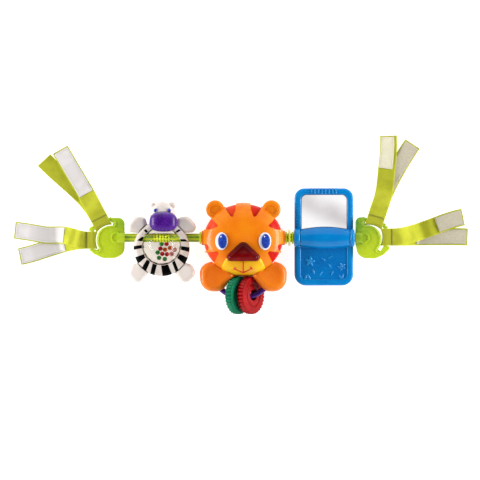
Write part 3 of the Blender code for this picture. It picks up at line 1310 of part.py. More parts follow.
def door_outline():
    """The battery door, with a tab for its screw."""
    half_length = CELL_LENGTH / 2 + CELL_NUB_LENGTH + BATTERY_WALL
    half_width = CELL_PITCH + BATTERY_WALL
    tab = half_length + SCREW_INSET + SCREW_BOSS_RADIUS
    low = CELLS_Y - half_width
    high = CELLS_Y + half_width
    tab_low = CELLS_Y - SCREW_BOSS_RADIUS
    tab_high = CELLS_Y + SCREW_BOSS_RADIUS
    corners = ((-half_length, low), (half_length, low), (tab, tab_low), (tab, tab_high), (half_length, high),
               (-half_length, high))
    return rounded_outline(corners, (DOOR_ROUND,) * len(corners))


def screw_place():
    """The door screw's place on the back."""
    return (CELL_LENGTH / 2 + CELL_NUB_LENGTH + BATTERY_WALL + SCREW_INSET, CELLS_Y)


def speaker_holes():
    """The sound holes under the speaker."""
    places = [(0, SPEAKER_Y)]
    for index in range(SPEAKER_HOLE_COUNT):
        angle = math.tau * index / SPEAKER_HOLE_COUNT
        places.append((SPEAKER_HOLE_RING * math.cos(angle), SPEAKER_Y + SPEAKER_HOLE_RING * math.sin(angle)))
    return places


def build_case(finishes, room):
    """The back case: a rounded tray with ears, bar seats, battery box and the cuts in its back."""
    top = PARTING_HEIGHT - SEAM_GAP / 2
    outline = case_outline(0.0)
    case = add_object("tiger_back_case", pillow(outline, 0.0, PARTING_HEIGHT + CUT_OVERRUN, CASE_BACK_ROUND, 0.0),
                      finishes["orange"])
    take(case, add_tool("case_boss", neck_boss(0.0)), "UNION")
    for side in (-1, 1):
        ear_outline = oval_outline((side * EAR_SPREAD, EAR_HEIGHT), EAR_RADIUS, EAR_RADIUS)
        ear = pillow(ear_outline, PARTING_HEIGHT - EAR_BACK_DEPTH, PARTING_HEIGHT + EAR_ROUND, EAR_ROUND, 0.0)
        take(case, add_tool("ear_back_" + str(side + 1), ear), "UNION")
    hollow = pillow(case_outline(CASE_WALL), CASE_FLOOR, PARTING_HEIGHT + 2 * CUT_OVERRUN,
                    CASE_BACK_ROUND - CASE_WALL, 0.0)
    take(case, add_tool("case_hollow", hollow))
    above = rod(0, 2 * CUT_OVERRUN, 2 * FACE_HALF_WIDTH, (0, 0, top), FINE_STEPS)
    take(case, add_tool("case_parting", above))
    ceiling = battery_levels()[2]
    low = CASE_FLOOR - SEAM_GAP
    take(case, add_tool("battery_walls", battery_box(BATTERY_WALL, low, ceiling + BATTERY_WALL)), "UNION")
    screw_x, screw_y = screw_place()
    boss = rod(low, SCREW_BOSS_HEIGHT, SCREW_BOSS_RADIUS, (screw_x, screw_y, 0), 16)
    take(case, add_tool("screw_boss", boss), "UNION")
    take(case, add_tool("battery_space", battery_box(0.0, -CUT_OVERRUN, ceiling)))
    door_room = door_outline()
    recess = skin([lift(door_room(-SEAM_GAP), -CUT_OVERRUN), lift(door_room(-SEAM_GAP), battery_levels()[0] + SEAM_GAP)])
    take(case, add_tool("door_recess", recess))
    bore = rod(0, DOOR_RECESS + SCREW_LENGTH + SEAM_GAP, SCREW_SHANK_RADIUS + SEAM_GAP, (screw_x, screw_y, 0), 12)
    take(case, add_tool("screw_bore", bore))
    for index, (x, y) in enumerate(speaker_holes()):
        hole = rod(-CUT_OVERRUN, CASE_FLOOR + SPEAKER_THICK, SPEAKER_HOLE_RADIUS, (x, y, 0), 8)
        take(case, add_tool("speaker_hole_" + str(index), hole))
    half_long = SWITCH_KNOB_LENGTH / 2 + SWITCH_TRAVEL + RUNNING_GAP
    half_wide = SWITCH_KNOB_WIDTH / 2 + RUNNING_GAP
    pocket = block((SWITCH_X - half_long, SWITCH_Y - half_wide, -CUT_OVERRUN),
                   (SWITCH_X + half_long, SWITCH_Y + half_wide, SWITCH_POCKET_DEPTH))
    take(case, add_tool("switch_pocket", pocket))
    half_long = SWITCH_STEM_LENGTH / 2 + SWITCH_TRAVEL + RUNNING_GAP
    half_wide = SWITCH_STEM_WIDTH / 2 + RUNNING_GAP
    slot = block((SWITCH_X - half_long, SWITCH_Y - half_wide, 0), (SWITCH_X + half_long, SWITCH_Y + half_wide, PARTING_HEIGHT))
    take(case, add_tool("switch_slot", slot))
    take(case, room)


def case_outline(inset):
    """The case's oval, inset by a wall."""
    width = FACE_HALF_WIDTH - FACE_WALL - SEAM_GAP - inset
    height = FACE_HALF_HEIGHT - FACE_WALL - SEAM_GAP - inset
    return oval_outline((0, HEAD_CENTRE_Y), width, height, FINE_STEPS)


def build_inside(finishes):
    """Cells, door, screw, board, speaker and power switch."""
    door_top, middle, _ = battery_levels()
    screw_x, screw_y = screw_place()
    outline = door_outline()
    door = add_object("battery_door", skin([lift(outline(), DOOR_RECESS), lift(outline(), door_top)]), finishes["orange"])
    head_room = rod(-CUT_OVERRUN, DOOR_RECESS + SCREW_HEAD_THICK + SEAM_GAP, SCREW_HEAD_RADIUS + SEAM_GAP,
                    (screw_x, screw_y, 0), 16)
    take(door, add_tool("door_counterbore", head_room))
    shank_room = rod(0, door_top + CUT_OVERRUN, SCREW_SHANK_RADIUS + SEAM_GAP, (screw_x, screw_y, 0), 12)
    take(door, add_tool("door_hole", shank_room))
    profile = ((DOOR_RECESS, 0), (DOOR_RECESS, SCREW_HEAD_RADIUS), (DOOR_RECESS + SCREW_HEAD_THICK, SCREW_HEAD_RADIUS),
               (DOOR_RECESS + SCREW_HEAD_THICK, SCREW_SHANK_RADIUS), (DOOR_RECESS + SCREW_LENGTH, SCREW_SHANK_RADIUS),
               (DOOR_RECESS + SCREW_LENGTH, 0))
    add_object("door_screw", turned(profile, (screw_x, screw_y, 0), 12), finishes["steel"])
    for index, side in enumerate((-1, 1)):
        half = CELL_LENGTH / 2
        nub_end = half + CELL_NUB_LENGTH
        profile = ((-half, 0), (-half, CELL_RADIUS), (half, CELL_RADIUS), (half, CELL_NUB_RADIUS),
                   (nub_end, CELL_NUB_RADIUS), (nub_end, 0))
        place = (0, CELLS_Y + side * CELL_PITCH / 2, middle)
        cell = turned([(side * along, radius) for along, radius in profile], place, 16, along_x=True)
        add_object("battery_cell_" + str(index + 1), cell, finishes["steel"])
    half_width = BOARD_WIDTH / 2
    half_height = BOARD_HEIGHT / 2
    board = prism(box_outline(-half_width, half_width, BOARD_Y - half_height, BOARD_Y + half_height, DOOR_ROUND),
                  board_top() - BOARD_THICK, board_top())
    add_object("circuit_board", board, finishes["board"])
    low = CASE_FLOOR + SEAM_GAP
    high = low + SPEAKER_THICK
    profile = ((low, 0), (low, SPEAKER_RADIUS), (high - SPEAKER_THICK / 2, SPEAKER_RADIUS),
               (high, SPEAKER_RADIUS / 2), (high, 0))
    add_object("speaker", turned(profile, (0, SPEAKER_Y, 0), 20), finishes["black"])
    build_switch(finishes)


def build_switch(finishes):
    """The power switch: a knob in its pocket on a stem through the slot."""
    low = SEAM_GAP
    high = SWITCH_POCKET_DEPTH - SEAM_GAP
    axis = add_axis("switch_axis", (SWITCH_X, SWITCH_Y, high))
    half_long = SWITCH_KNOB_LENGTH / 2
    half_wide = SWITCH_KNOB_WIDTH / 2
    knob = add_object("power_switch", block((SWITCH_X - half_long, SWITCH_Y - half_wide, low),
                                            (SWITCH_X + half_long, SWITCH_Y + half_wide, high)), finishes["black"])
    half_long = SWITCH_STEM_LENGTH / 2
    half_wide = SWITCH_STEM_WIDTH / 2
    stem = block((SWITCH_X - half_long, SWITCH_Y - half_wide, (low + high) / 2),
                 (SWITCH_X + half_long, SWITCH_Y + half_wide, high + SWITCH_STEM_RISE))
    take(knob, add_tool("switch_stem", stem), "UNION")
    hang(knob, axis)


# Loop, paws and rings

def loop_tube(radius, extra_degrees):
    """The bent tube of the loop, between the paws."""
    first, last = (math.radians(value) for value in LOOP_DEGREES)
    first -= math.radians(extra_degrees)
    last += math.radians(extra_degrees)
    rings = []
    for step in range(LOOP_ARC_STEPS + 1):
        angle = first + (last - first) * step / LOOP_ARC_STEPS
        outward = Vector((math.cos(angle), math.sin(angle), 0))
        middle = Vector((*LOOP_CENTRE, LOOP_HEIGHT)) + outward * LOOP_RADIUS
        ring = []
        for side in range(LOOP_SIDES):
            turn = math.tau * side / LOOP_SIDES
            ring.append(middle + outward * radius * math.cos(turn) + Vector((0, 0, radius * math.sin(turn))))
        rings.append(ring)
    return skin(rings)


def ring_room(name, x, tilt):
    """Room for a ring to turn in, beside the paws."""
    half = RING_THICK / 2 + RING_ROOM
    shape = rod(-half, half, RING_RADIUS + RING_ROOM, (0, 0, 0), FINE_STEPS)
    bmesh.ops.transform(shape, matrix=Matrix.Rotation(tilt, 4, "Y"), verts=shape.verts)
    bmesh.ops.translate(shape, vec=(x, RING_Y, LOOP_HEIGHT), verts=shape.verts)
    return add_tool(name, shape)


def build_paws(finishes):
    """Both paws: rounded pads with a raised rim, each with a socket for the loop."""
    add_object("ring_loop", loop_tube(LOOP_TUBE_RADIUS, 0), finishes["purple"])
    clearance = math.degrees(SEAM_GAP / LOOP_RADIUS)
    socket = add_tool("loop_socket", loop_tube(LOOP_TUBE_RADIUS + SEAM_GAP, clearance))
    reach = FACE_HALF_WIDTH + SEAM_GAP
    height = FACE_HALF_HEIGHT + SEAM_GAP
    head = prism(oval_outline((0, HEAD_CENTRE_Y), reach, height, FINE_STEPS), 0, PARTING_HEIGHT + FACE_RISE)
    head_room = add_tool("head_clearance", head)
    beside_green = ring_room("green_ring_room", GREEN_RING_X, GREEN_RING_TILT)
    beside_red = ring_room("red_ring_room", RED_RING_X, RED_RING_TILT)
    for name, mirror, beside in (("left_paw", -1, beside_green), ("right_paw", 1, beside_red)):
        corners = shared_corners(PAW_CORNER_SHARES, PAW_REACH, (0, 0), mirror)
        outline = rounded_outline(corners, [share * PAW_REACH for share in PAW_ROUND_SHARES])
        form = pillow(outline, PAW_BACK_HEIGHT, PAW_FRONT_HEIGHT, PAW_ROUND, PAW_ROUND)
        paw = add_object(name, form, finishes["orange"])
        cup = skin([lift(outline(PAW_RIM_WIDTH), PAW_FRONT_HEIGHT - PAW_CUP_DEPTH),
                    lift(outline(PAW_RIM_WIDTH), PAW_FRONT_HEIGHT + CUT_OVERRUN)])
        take(paw, add_tool(name + "_cup", cup))
        take(paw, head_room)
        take(paw, socket)
        take(paw, beside)


def teething_ring(x, tilt):
    """A scalloped ring with grooved faces, threaded on the loop."""
    around = 2 * RING_SCALLOP_COUNT
    rings = []
    for index in range(around):
        angle = math.tau * index / around
        rim = RING_RADIUS + (RING_SCALLOP if index % 2 else 0) - RING_SCALLOP
        section = []
        for side in (1, -1):
            for radial, half in RING_SECTION_SHARES[::side]:
                reach = RING_HOLE_RADIUS + (rim - RING_HOLE_RADIUS) * radial
                section.append(Vector((reach * math.cos(angle), reach * math.sin(angle), side * half * RING_THICK)))
        rings.append(section)
    shape = skin(rings, closed_way=True)
    bmesh.ops.transform(shape, matrix=Matrix.Rotation(tilt, 4, "Y"), verts=shape.verts)
    bmesh.ops.translate(shape, vec=(x, RING_Y, LOOP_HEIGHT), verts=shape.verts)
    return shape


def build_rings(finishes):
    """The green and the red ring, each on an axis through its hole."""
    for name, x, tilt, finish in (("green_ring", GREEN_RING_X, GREEN_RING_TILT, "green"),
                                  ("red_ring", RED_RING_X, RED_RING_TILT, "red")):
        axis = add_axis(name + "_axis", (x, RING_Y, LOOP_HEIGHT))
        ring = add_object(name, teething_ring(x, tilt), finishes[finish])
        hang(ring, axis)


# Flip phone

def flap_heights():
    """The flaps' back and front faces."""
    face = AXIS_HEIGHT - FLAP_FACE_GAP
    return face - FLAP_BACK_DEPTH, face


def barrel_ends():
    """Where the hinge barrel starts and ends."""
    return LEFT_KNUCKLE_ENDS[1] + RUNNING_GAP, RIGHT_KNUCKLE_ENDS[0] - RUNNING_GAP


def build_cover(finishes, axis, bore):
    """The lower cover with its recessed panel and the bulged barrel that turns on the bar."""
    back, face = flap_heights()
    first, last = barrel_ends()
    profile = [(first, 0)]
    for step in range(BARREL_STEPS + 1):
        share = step / BARREL_STEPS
        bulge = math.sin(math.pi * share)
        profile.append((first + (last - first) * share,
                        BARREL_END_RADIUS + (BARREL_MID_RADIUS - BARREL_END_RADIUS) * bulge))
    profile.append((last, 0))
    cover = add_object("cover_flap", turned(profile, (0, 0, AXIS_HEIGHT), ROUND_STEPS, along_x=True), finishes["blue"])
    top = -KNUCKLE_RADIUS - RUNNING_GAP
    corners = ((PHONE_LEFT, COVER_BOTTOM_Y), (PHONE_RIGHT, COVER_BOTTOM_Y), (PHONE_RIGHT, top), (PHONE_LEFT, top))
    outline = rounded_outline(corners, (COVER_CORNER, COVER_CORNER, COVER_TOP_CORNER, COVER_TOP_CORNER))
    slab = add_tool("cover_slab", pillow(outline, back, face, FLAP_EDGE_ROUND, FLAP_EDGE_ROUND))
    take(cover, slab, "UNION")
    neck = block((first + SEAM_GAP, top - COVER_RIM / 2, back + SEAM_GAP),
                 (last - SEAM_GAP, -BORE_RADIUS, face - SEAM_GAP))
    take(cover, add_tool("cover_neck", neck), "UNION")
    panel_top = -BARREL_MID_RADIUS - FLAP_EDGE_ROUND
    inner = rounded_outline(((PHONE_LEFT + COVER_RIM, COVER_BOTTOM_Y + COVER_RIM),
                             (PHONE_RIGHT - COVER_RIM, COVER_BOTTOM_Y + COVER_RIM),
                             (PHONE_RIGHT - COVER_RIM, panel_top), (PHONE_LEFT + COVER_RIM, panel_top)),
                            (COVER_CORNER - COVER_RIM, COVER_CORNER - COVER_RIM, COVER_TOP_CORNER, COVER_TOP_CORNER))
    take(cover, add_tool("cover_panel", prism(inner, face - COVER_PANEL_DEPTH, face + CUT_OVERRUN)))
    take(cover, bore)
    hang(cover, axis)


def joined(shapes):
    """Several separate forms as one mesh."""
    whole = bmesh.new()
    for shape in shapes:
        part = bpy.data.meshes.new("part")
        shape.to_mesh(part)
        shape.free()
        whole.from_mesh(part)
        bpy.data.meshes.remove(part)
    return whole


def build_mirror(finishes, axis, bore):
    """The mirror frame with its two knuckles and grip ribs, and the mirror in its pocket."""
    back, face = flap_heights()
    bottom = BARREL_MID_RADIUS + RUNNING_GAP
    corners = ((PHONE_LEFT, bottom), (PHONE_RIGHT, bottom), (PHONE_RIGHT, MIRROR_TOP_Y), (PHONE_LEFT, MIRROR_TOP_Y))
    outline = rounded_outline(corners, (COVER_TOP_CORNER, COVER_TOP_CORNER, MIRROR_CORNER, MIRROR_CORNER))
    frame = add_object("mirror_frame", pillow(outline, back, face, FLAP_EDGE_ROUND, FLAP_EDGE_ROUND), finishes["blue"])
    for side, (start, end) in (("left", LEFT_KNUCKLE_ENDS), ("right", RIGHT_KNUCKLE_ENDS)):
        arm = block((max(start, PHONE_LEFT) + SEAM_GAP, 0, back + SEAM_GAP),
                    (min(end, PHONE_RIGHT) - SEAM_GAP, bottom + COVER_RIM / 2, face - SEAM_GAP))
        take(frame, add_tool(side + "_arm", arm), "UNION")
        shoulder = KNUCKLE_RADIUS - KNUCKLE_ROUND
        profile = ((start, 0), (start, shoulder), (start + KNUCKLE_ROUND, KNUCKLE_RADIUS),
                   (end - KNUCKLE_ROUND, KNUCKLE_RADIUS), (end, shoulder), (end, 0))
        knuckle = turned(profile, (0, 0, AXIS_HEIGHT), ROUND_STEPS, along_x=True)
        take(frame, add_tool(side + "_knuckle", knuckle), "UNION")
    middle = (PHONE_LEFT + PHONE_RIGHT) / 2
    ribs = []
    for index in range(GRIP_RIB_COUNT):
        x = middle + (index - (GRIP_RIB_COUNT - 1) / 2) * GRIP_RIB_PITCH
        ribs.append(block((x - GRIP_RIB_WIDTH / 2, MIRROR_TOP_Y - MIRROR_TOP_RAIL + FLAP_EDGE_ROUND, back + FLAP_EDGE_ROUND),
                          (x + GRIP_RIB_WIDTH / 2, MIRROR_TOP_Y + GRIP_RIB_PROUD, face + GRIP_RIB_PROUD)))
    take(frame, add_tool("grip_ribs", joined(ribs)), "UNION")
    left = PHONE_LEFT + MIRROR_LEFT_RAIL
    right = PHONE_RIGHT - MIRROR_RIGHT_RAIL
    top = MIRROR_TOP_Y - MIRROR_TOP_RAIL
    floor = face - MIRROR_POCKET_DEPTH
    radii = (0, 0, MIRROR_INNER_CORNER, MIRROR_INNER_CORNER)
    opening = rounded_outline(((left, bottom - CUT_OVERRUN), (right, bottom - CUT_OVERRUN), (right, top), (left, top)), radii)
    take(frame, add_tool("mirror_pocket", prism(opening, floor, face + CUT_OVERRUN)))
    take(frame, bore)
    hang(frame, axis)
    glass = rounded_outline(((left + SEAM_GAP, bottom + SEAM_GAP), (right - SEAM_GAP, bottom + SEAM_GAP),
                             (right - SEAM_GAP, top - SEAM_GAP), (left + SEAM_GAP, top - SEAM_GAP)), radii)
    plate = add_object("mirror_plate", prism(glass, floor + SEAM_GAP, floor + SEAM_GAP + MIRROR_PLATE_THICK),
                       finishes["mirror"])
    hang(plate, axis)


def build_phone(finishes):
    """The flip phone: the cover turns on the bar and the mirror folds over it."""
    axis = add_axis("phone_axis", ((PHONE_LEFT + PHONE_RIGHT) / 2, 0, AXIS_HEIGHT))
    bore = add_tool("phone_bore", bar_rod(LEFT_KNUCKLE_ENDS[0] - CUT_OVERRUN, RIGHT_KNUCKLE_ENDS[1] + CUT_OVERRUN,
                                          BORE_RADIUS, 16))
    build_cover(finishes, axis, bore)
    build_mirror(finishes, axis, bore)


def main():
    """Builds the whole toy bar."""
    clear_scene()
    finishes = make_finishes()
    build_bars(finishes)
    left_straps, right_straps = make_straps()
    build_clip("left_end_clip", -1, LEFT_CLIP_CENTRE, LEFT_CLIP_CORNER_SHARES, LEFT_CLIP_ROUND_SHARES,
               LEFT_SLOT_DEGREES, left_straps, finishes)
    build_clip("right_end_clip", 1, RIGHT_CLIP_CENTRE, RIGHT_CLIP_CORNER_SHARES, RIGHT_CLIP_ROUND_SHARES,
               RIGHT_SLOT_DEGREES, right_straps, finishes)
    for strap in left_straps + right_straps:
        build_strap(strap, finishes)
    build_zebra(finishes)
    room = add_tool("bar_room", bar_room())
    build_case(finishes, room)
    build_lens(finishes, room)
    build_face(finishes, room)
    build_features(finishes)
    build_inside(finishes)
    build_paws(finishes)
    build_rings(finishes)
    build_phone(finishes)


main()
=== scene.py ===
"""The looks of a baby toy bar: a zebra rattle, a tiger head and a flip phone on one bar.

The frame is the CAD model's own. X runs along the bar, Y points to the tops of the animals' heads
and Z points up, out of their faces. Every piece is made in its place, in metres.
"""

from __future__ import annotations

import json
import logging
import math
from dataclasses import dataclass, field
from enum import Enum
from typing import Sequence

import bmesh
import bpy
from mathutils import Matrix, Vector

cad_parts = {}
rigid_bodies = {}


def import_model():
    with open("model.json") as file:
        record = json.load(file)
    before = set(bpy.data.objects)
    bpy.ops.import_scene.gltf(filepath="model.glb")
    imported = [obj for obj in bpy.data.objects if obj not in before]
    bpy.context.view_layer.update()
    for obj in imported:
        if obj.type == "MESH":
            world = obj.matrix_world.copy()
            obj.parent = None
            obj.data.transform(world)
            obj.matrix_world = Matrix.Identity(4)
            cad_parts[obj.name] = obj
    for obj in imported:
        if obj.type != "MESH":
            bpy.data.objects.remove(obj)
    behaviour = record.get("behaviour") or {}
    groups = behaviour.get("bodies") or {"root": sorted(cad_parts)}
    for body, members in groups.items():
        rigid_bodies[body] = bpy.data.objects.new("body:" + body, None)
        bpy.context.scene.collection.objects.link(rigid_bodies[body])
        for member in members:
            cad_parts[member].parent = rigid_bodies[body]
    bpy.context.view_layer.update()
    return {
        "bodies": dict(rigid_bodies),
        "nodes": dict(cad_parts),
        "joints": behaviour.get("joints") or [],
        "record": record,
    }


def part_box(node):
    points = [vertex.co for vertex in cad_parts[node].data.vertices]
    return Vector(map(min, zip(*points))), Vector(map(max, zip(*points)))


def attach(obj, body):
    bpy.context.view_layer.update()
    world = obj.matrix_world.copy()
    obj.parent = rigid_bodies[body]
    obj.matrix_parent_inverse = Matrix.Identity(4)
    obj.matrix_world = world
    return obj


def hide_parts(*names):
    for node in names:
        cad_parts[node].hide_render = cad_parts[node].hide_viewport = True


MM = 0.001
AXIS_HEIGHT = 21.4 * MM
GAP = 0.3 * MM
RUNNING_GAP = 0.4 * MM
OVERRUN = 6.0 * MM
MERGE_REACH = 0.001 * MM
EDGE_STEP = 0.04 * MM
SKIN_DEPTH = 0.02 * MM
GLOW_REACH = 2 * MM
BEND_SHARE = 0.3

Colour = tuple[float, float, float]
Paint = tuple[int, int, int]
Place = tuple[float, float]
Shape = bmesh.types.BMesh
Finish = bpy.types.Material
Finishes = dict[str, Finish]
Piece = bpy.types.Object
Socket = bpy.types.NodeSocket
log = logging.getLogger("toy_bar")


class Cut(Enum):
    """What a tool does to the shape that it meets."""

    OFF = "DIFFERENCE"
    ON = "UNION"
    WITHIN = "INTERSECT"


class Side(Enum):
    """Left and right as the photograph shows them, with their sign along X."""

    LEFT = -1
    RIGHT = 1


def paint(red: int, green: int, blue: int) -> Colour:
    """A linear colour from the three screen values of a paint.

    Args:
        red, green, blue: screen values from 0 to 255.

    Returns:
        The same colour as a shader takes it.
    """
    return tuple((value / 255) ** 2.2 for value in (red, green, blue))


# Node graphs and finishes

class Graph:
    """One material's nodes, with short calls for the few kinds that the finishes use."""

    def __init__(self, name: str) -> None:
        """Starts a material with its plain Principled shader.

        Args:
            name: the material's name.
        """
        self.material = bpy.data.materials.new(name)
        self.material.use_nodes = True
        self.tree = self.material.node_tree
        self.shader = self.tree.nodes["Principled BSDF"]
        self.output = self.tree.nodes["Material Output"]

    def node(self, kind: str, **settings: object) -> bpy.types.Node:
        """Adds a node and sets its own properties.

        Args:
            kind: the node's type.
            settings: its own properties.

        Returns:
            The node.
        """
        made = self.tree.nodes.new(kind)
        for key, value in settings.items():
            setattr(made, key, value)
        return made

    def feed(self, value: object, socket: Socket) -> None:
        """Links a socket into another, or sets a plain value.

        Args:
            value: a socket or a plain value.
            socket: the input that takes it.
        """
        if isinstance(value, Socket):
            self.tree.links.new(value, socket)
        else:
            socket.default_value = value

    def sum(self, operation: str, first: object, second: object = 0.0, third: object = 0.0) -> Socket:
        """One Math node; gives its value.

        Args:
            operation: the Math node's operation.
            first, second, third: sockets or plain values.

        Returns:
            Its result.
        """
        made = self.node("ShaderNodeMath", operation=operation)
        for index, value in enumerate((first, second, third)):
            self.feed(value, made.inputs[index])
        return made.outputs[0]

    def place(self, source: str = "Object") -> Socket:
        """Texture coordinates."""
        return self.node("ShaderNodeTexCoord").outputs[source]

    def split(self, vector: Socket) -> tuple[Socket, ...]:
        """The three values of a vector.

        Args:
            vector: the vector.

        Returns:
            Its X, Y and Z.
        """
        made = self.node("ShaderNodeSeparateXYZ")
        self.tree.links.new(vector, made.inputs[0])
        return tuple(made.outputs[:3])

    def noise(self, vector: Socket, grain: float, detail: float = 3.0) -> Socket:
        """Soft noise whose lumps are about one grain across, in metres.

        Args:
            vector: the coordinates.
            grain: the size of a lump.
            detail: how much finer noise it holds.

        Returns:
            The noise, from 0 to 1.
        """
        made = self.node("ShaderNodeTexNoise")
        self.tree.links.new(vector, made.inputs["Vector"])
        made.inputs["Scale"].default_value = 1 / grain
        made.inputs["Detail"].default_value = detail
        return made.outputs["Fac"]

    def patches(self, vector: Socket, grain: float, detail: float, window: Place, values: Place = (0.0, 1.0),
                smooth: bool = False) -> Socket:
        """Soft noise whose middle range is spread over two values."""
        return self.span(self.noise(vector, grain, detail), *window, *values, smooth)

    def skin(self, vector: Socket, grain: float, depth: float = SKIN_DEPTH) -> Socket:
        """A faint relief that breaks up the reflections."""
        return self.bump(self.noise(vector, grain, 2.0), depth)

    def cells(self, vector: Socket, grain: float) -> Socket:
        """Smooth pebbles about one grain across.

        Args:
            vector: the coordinates.
            grain: the size of a pebble.

        Returns:
            The distance from a pebble's middle.
        """
        made = self.node("ShaderNodeTexVoronoi", feature="SMOOTH_F1")
        self.tree.links.new(vector, made.inputs["Vector"])
        made.inputs["Scale"].default_value = 1 / grain
        return made.outputs["Distance"]

    def span(self, value: object, low: float, high: float, start: float = 0.0, end: float = 1.0,
             smooth: bool = False) -> Socket:
        """Maps low to high onto start to end, held at both ends.

        Args:
            value: what is mapped.
            low, high: its range.
            start, end: what that becomes.
            smooth: whether both ends are eased.

        Returns:
            The mapped value.
        """
        made = self.node("ShaderNodeMapRange", interpolation_type="SMOOTHSTEP" if smooth else "LINEAR")
        for index, entry in enumerate((value, low, high, start, end)):
            self.feed(entry, made.inputs[index])
        return made.outputs[0]

    def mix(self, share: object, first: object, second: object) -> Socket:
        """A mix of two colours.

        Args:
            share: how much of the second.
            first, second: colours or sockets.

        Returns:
            The mixed colour.
        """
        made = self.node("ShaderNodeMix", data_type="RGBA")
        self.feed(share, made.inputs["Factor"])
        for value, socket in ((first, made.inputs[6]), (second, made.inputs[7])):
            self.feed((*value, 1.0) if isinstance(value, tuple) and len(value) == 3 else value, socket)
        return made.outputs[2]

    def bump(self, height: Socket, depth: float) -> Socket:
        """Surface relief.

        Args:
            height: the relief.
            depth: its depth.

        Returns:
            The new normal.
        """
        made = self.node("ShaderNodeBump")
        made.inputs["Strength"].default_value = 1.0
        made.inputs["Distance"].default_value = depth
        self.tree.links.new(height, made.inputs["Height"])
        return made.outputs["Normal"]

    def dress(self, colour: object = None, roughness: object = None, normal: Socket | None = None,
              **plain: float) -> Finish:
        """Joins everything to the shader; plain values go straight on its own sockets.

        Args:
            colour, roughness: sockets or plain values.
            normal: the relief's normal.
            plain: values for the shader's other sockets.

        Returns:
            The finished material.
        """
        if colour is not None:
            tone = (*colour, 1.0) if isinstance(colour, tuple) else colour
            self.feed(tone, self.shader.inputs["Base Color"])
        if roughness is not None:
            self.feed(roughness, self.shader.inputs["Roughness"])
        if normal is not None:
            self.tree.links.new(normal, self.shader.inputs["Normal"])
        for key, value in plain.items():
            self.shader.inputs[key.replace("_", " ")].default_value = value
        return self.material

    def let_lamps_through(self, tint: Colour) -> None:
        """Lets lamps light what stands behind clear plastic.

        Args:
            tint: the colour of the light that passes.
        """
        path = self.node("ShaderNodeLightPath")
        clear = self.node("ShaderNodeBsdfTransparent")
        clear.inputs["Color"].default_value = (*tint, 1.0)
        both = self.node("ShaderNodeMixShader")
        self.tree.links.new(path.outputs["Is Shadow Ray"], both.inputs[0])
        self.tree.links.new(self.shader.outputs[0], both.inputs[1])
        self.tree.links.new(clear.outputs[0], both.inputs[2])
        self.tree.links.new(both.outputs[0], self.output.inputs["Surface"])


@dataclass(frozen=True)
class Moulded:
    """Moulded plastic: slow colour drift, a faint orange-peel skin and scuffs that dull its gloss."""

    name: str
    colour: Colour
    shade: Colour
    roughness: float = 0.3
    coat: float = 0.3
    glow: float = 0.0
    sheen: float = 0.22
    drift: float = 22 * MM
    peel: float = 0.9 * MM
    scuff_fineness: float = 9.0
    scuff_dulling: float = 0.14

    def make(self) -> Finish:
        """Builds the material.

        Returns:
            The material.
        """
        graph = Graph(self.name)
        where = graph.place()
        slow = graph.patches(where, self.drift, 2.0, (0.35, 0.7), smooth=True)
        colour = graph.mix(slow, self.colour, self.shade)
        gloss = (self.roughness, self.roughness + self.scuff_dulling)
        scuff = graph.patches(where, self.drift / self.scuff_fineness, 6.0, (0.5, 0.72), gloss)
        return graph.dress(colour, scuff, graph.skin(where, self.peel), Specular_IOR_Level=self.sheen,
                           Coat_Weight=self.coat, Coat_Roughness=0.08, Subsurface_Weight=self.glow,
                           Subsurface_Scale=GLOW_REACH)


@dataclass(frozen=True)
class BarPlastic:
    """See-through lime plastic with painted shade and light: deep green is painted in its grooves as shade,
    and bright yellow on its ridges and rings as light.
    """

    name: str
    ridge: Colour
    groove: Colour
    low: float = 3.9 * MM
    high: float = 5.2 * MM
    cloud: float = 7 * MM
    scuff: float = 3 * MM
    peel: float = 0.8 * MM

    def make(self) -> Finish:
        """Builds the material: colour by the distance from the bar's axis, with painted shade in the grooves
        and painted light on the ridges.

        Returns:
            The material.
        """
        graph = Graph(self.name)
        where = graph.place()
        _, y, z = graph.split(where)
        up = graph.sum("SUBTRACT", z, AXIS_HEIGHT)
        square = graph.sum("ADD", graph.sum("MULTIPLY", y, y), graph.sum("MULTIPLY", up, up))
        reach = graph.sum("SQRT", square)
        # Painted shade and light: deep green nearer the axis, in the grooves, and yellow farther out, on the
        # ridges and rings.
        share = graph.span(reach, self.low, self.high, smooth=True)
        cloud = graph.patches(where, self.cloud, 3.0, (0.3, 0.7), (0.0, 0.35))
        colour = graph.mix(cloud, graph.mix(share, self.groove, self.ridge), self.ridge)
        rough = graph.patches(where, self.scuff, 5.0, (0.4, 0.7), (0.2, 0.32))
        return graph.dress(colour, rough, graph.skin(where, self.peel), Specular_IOR_Level=0.35,
                           Subsurface_Weight=0.1, Subsurface_Scale=GLOW_REACH)


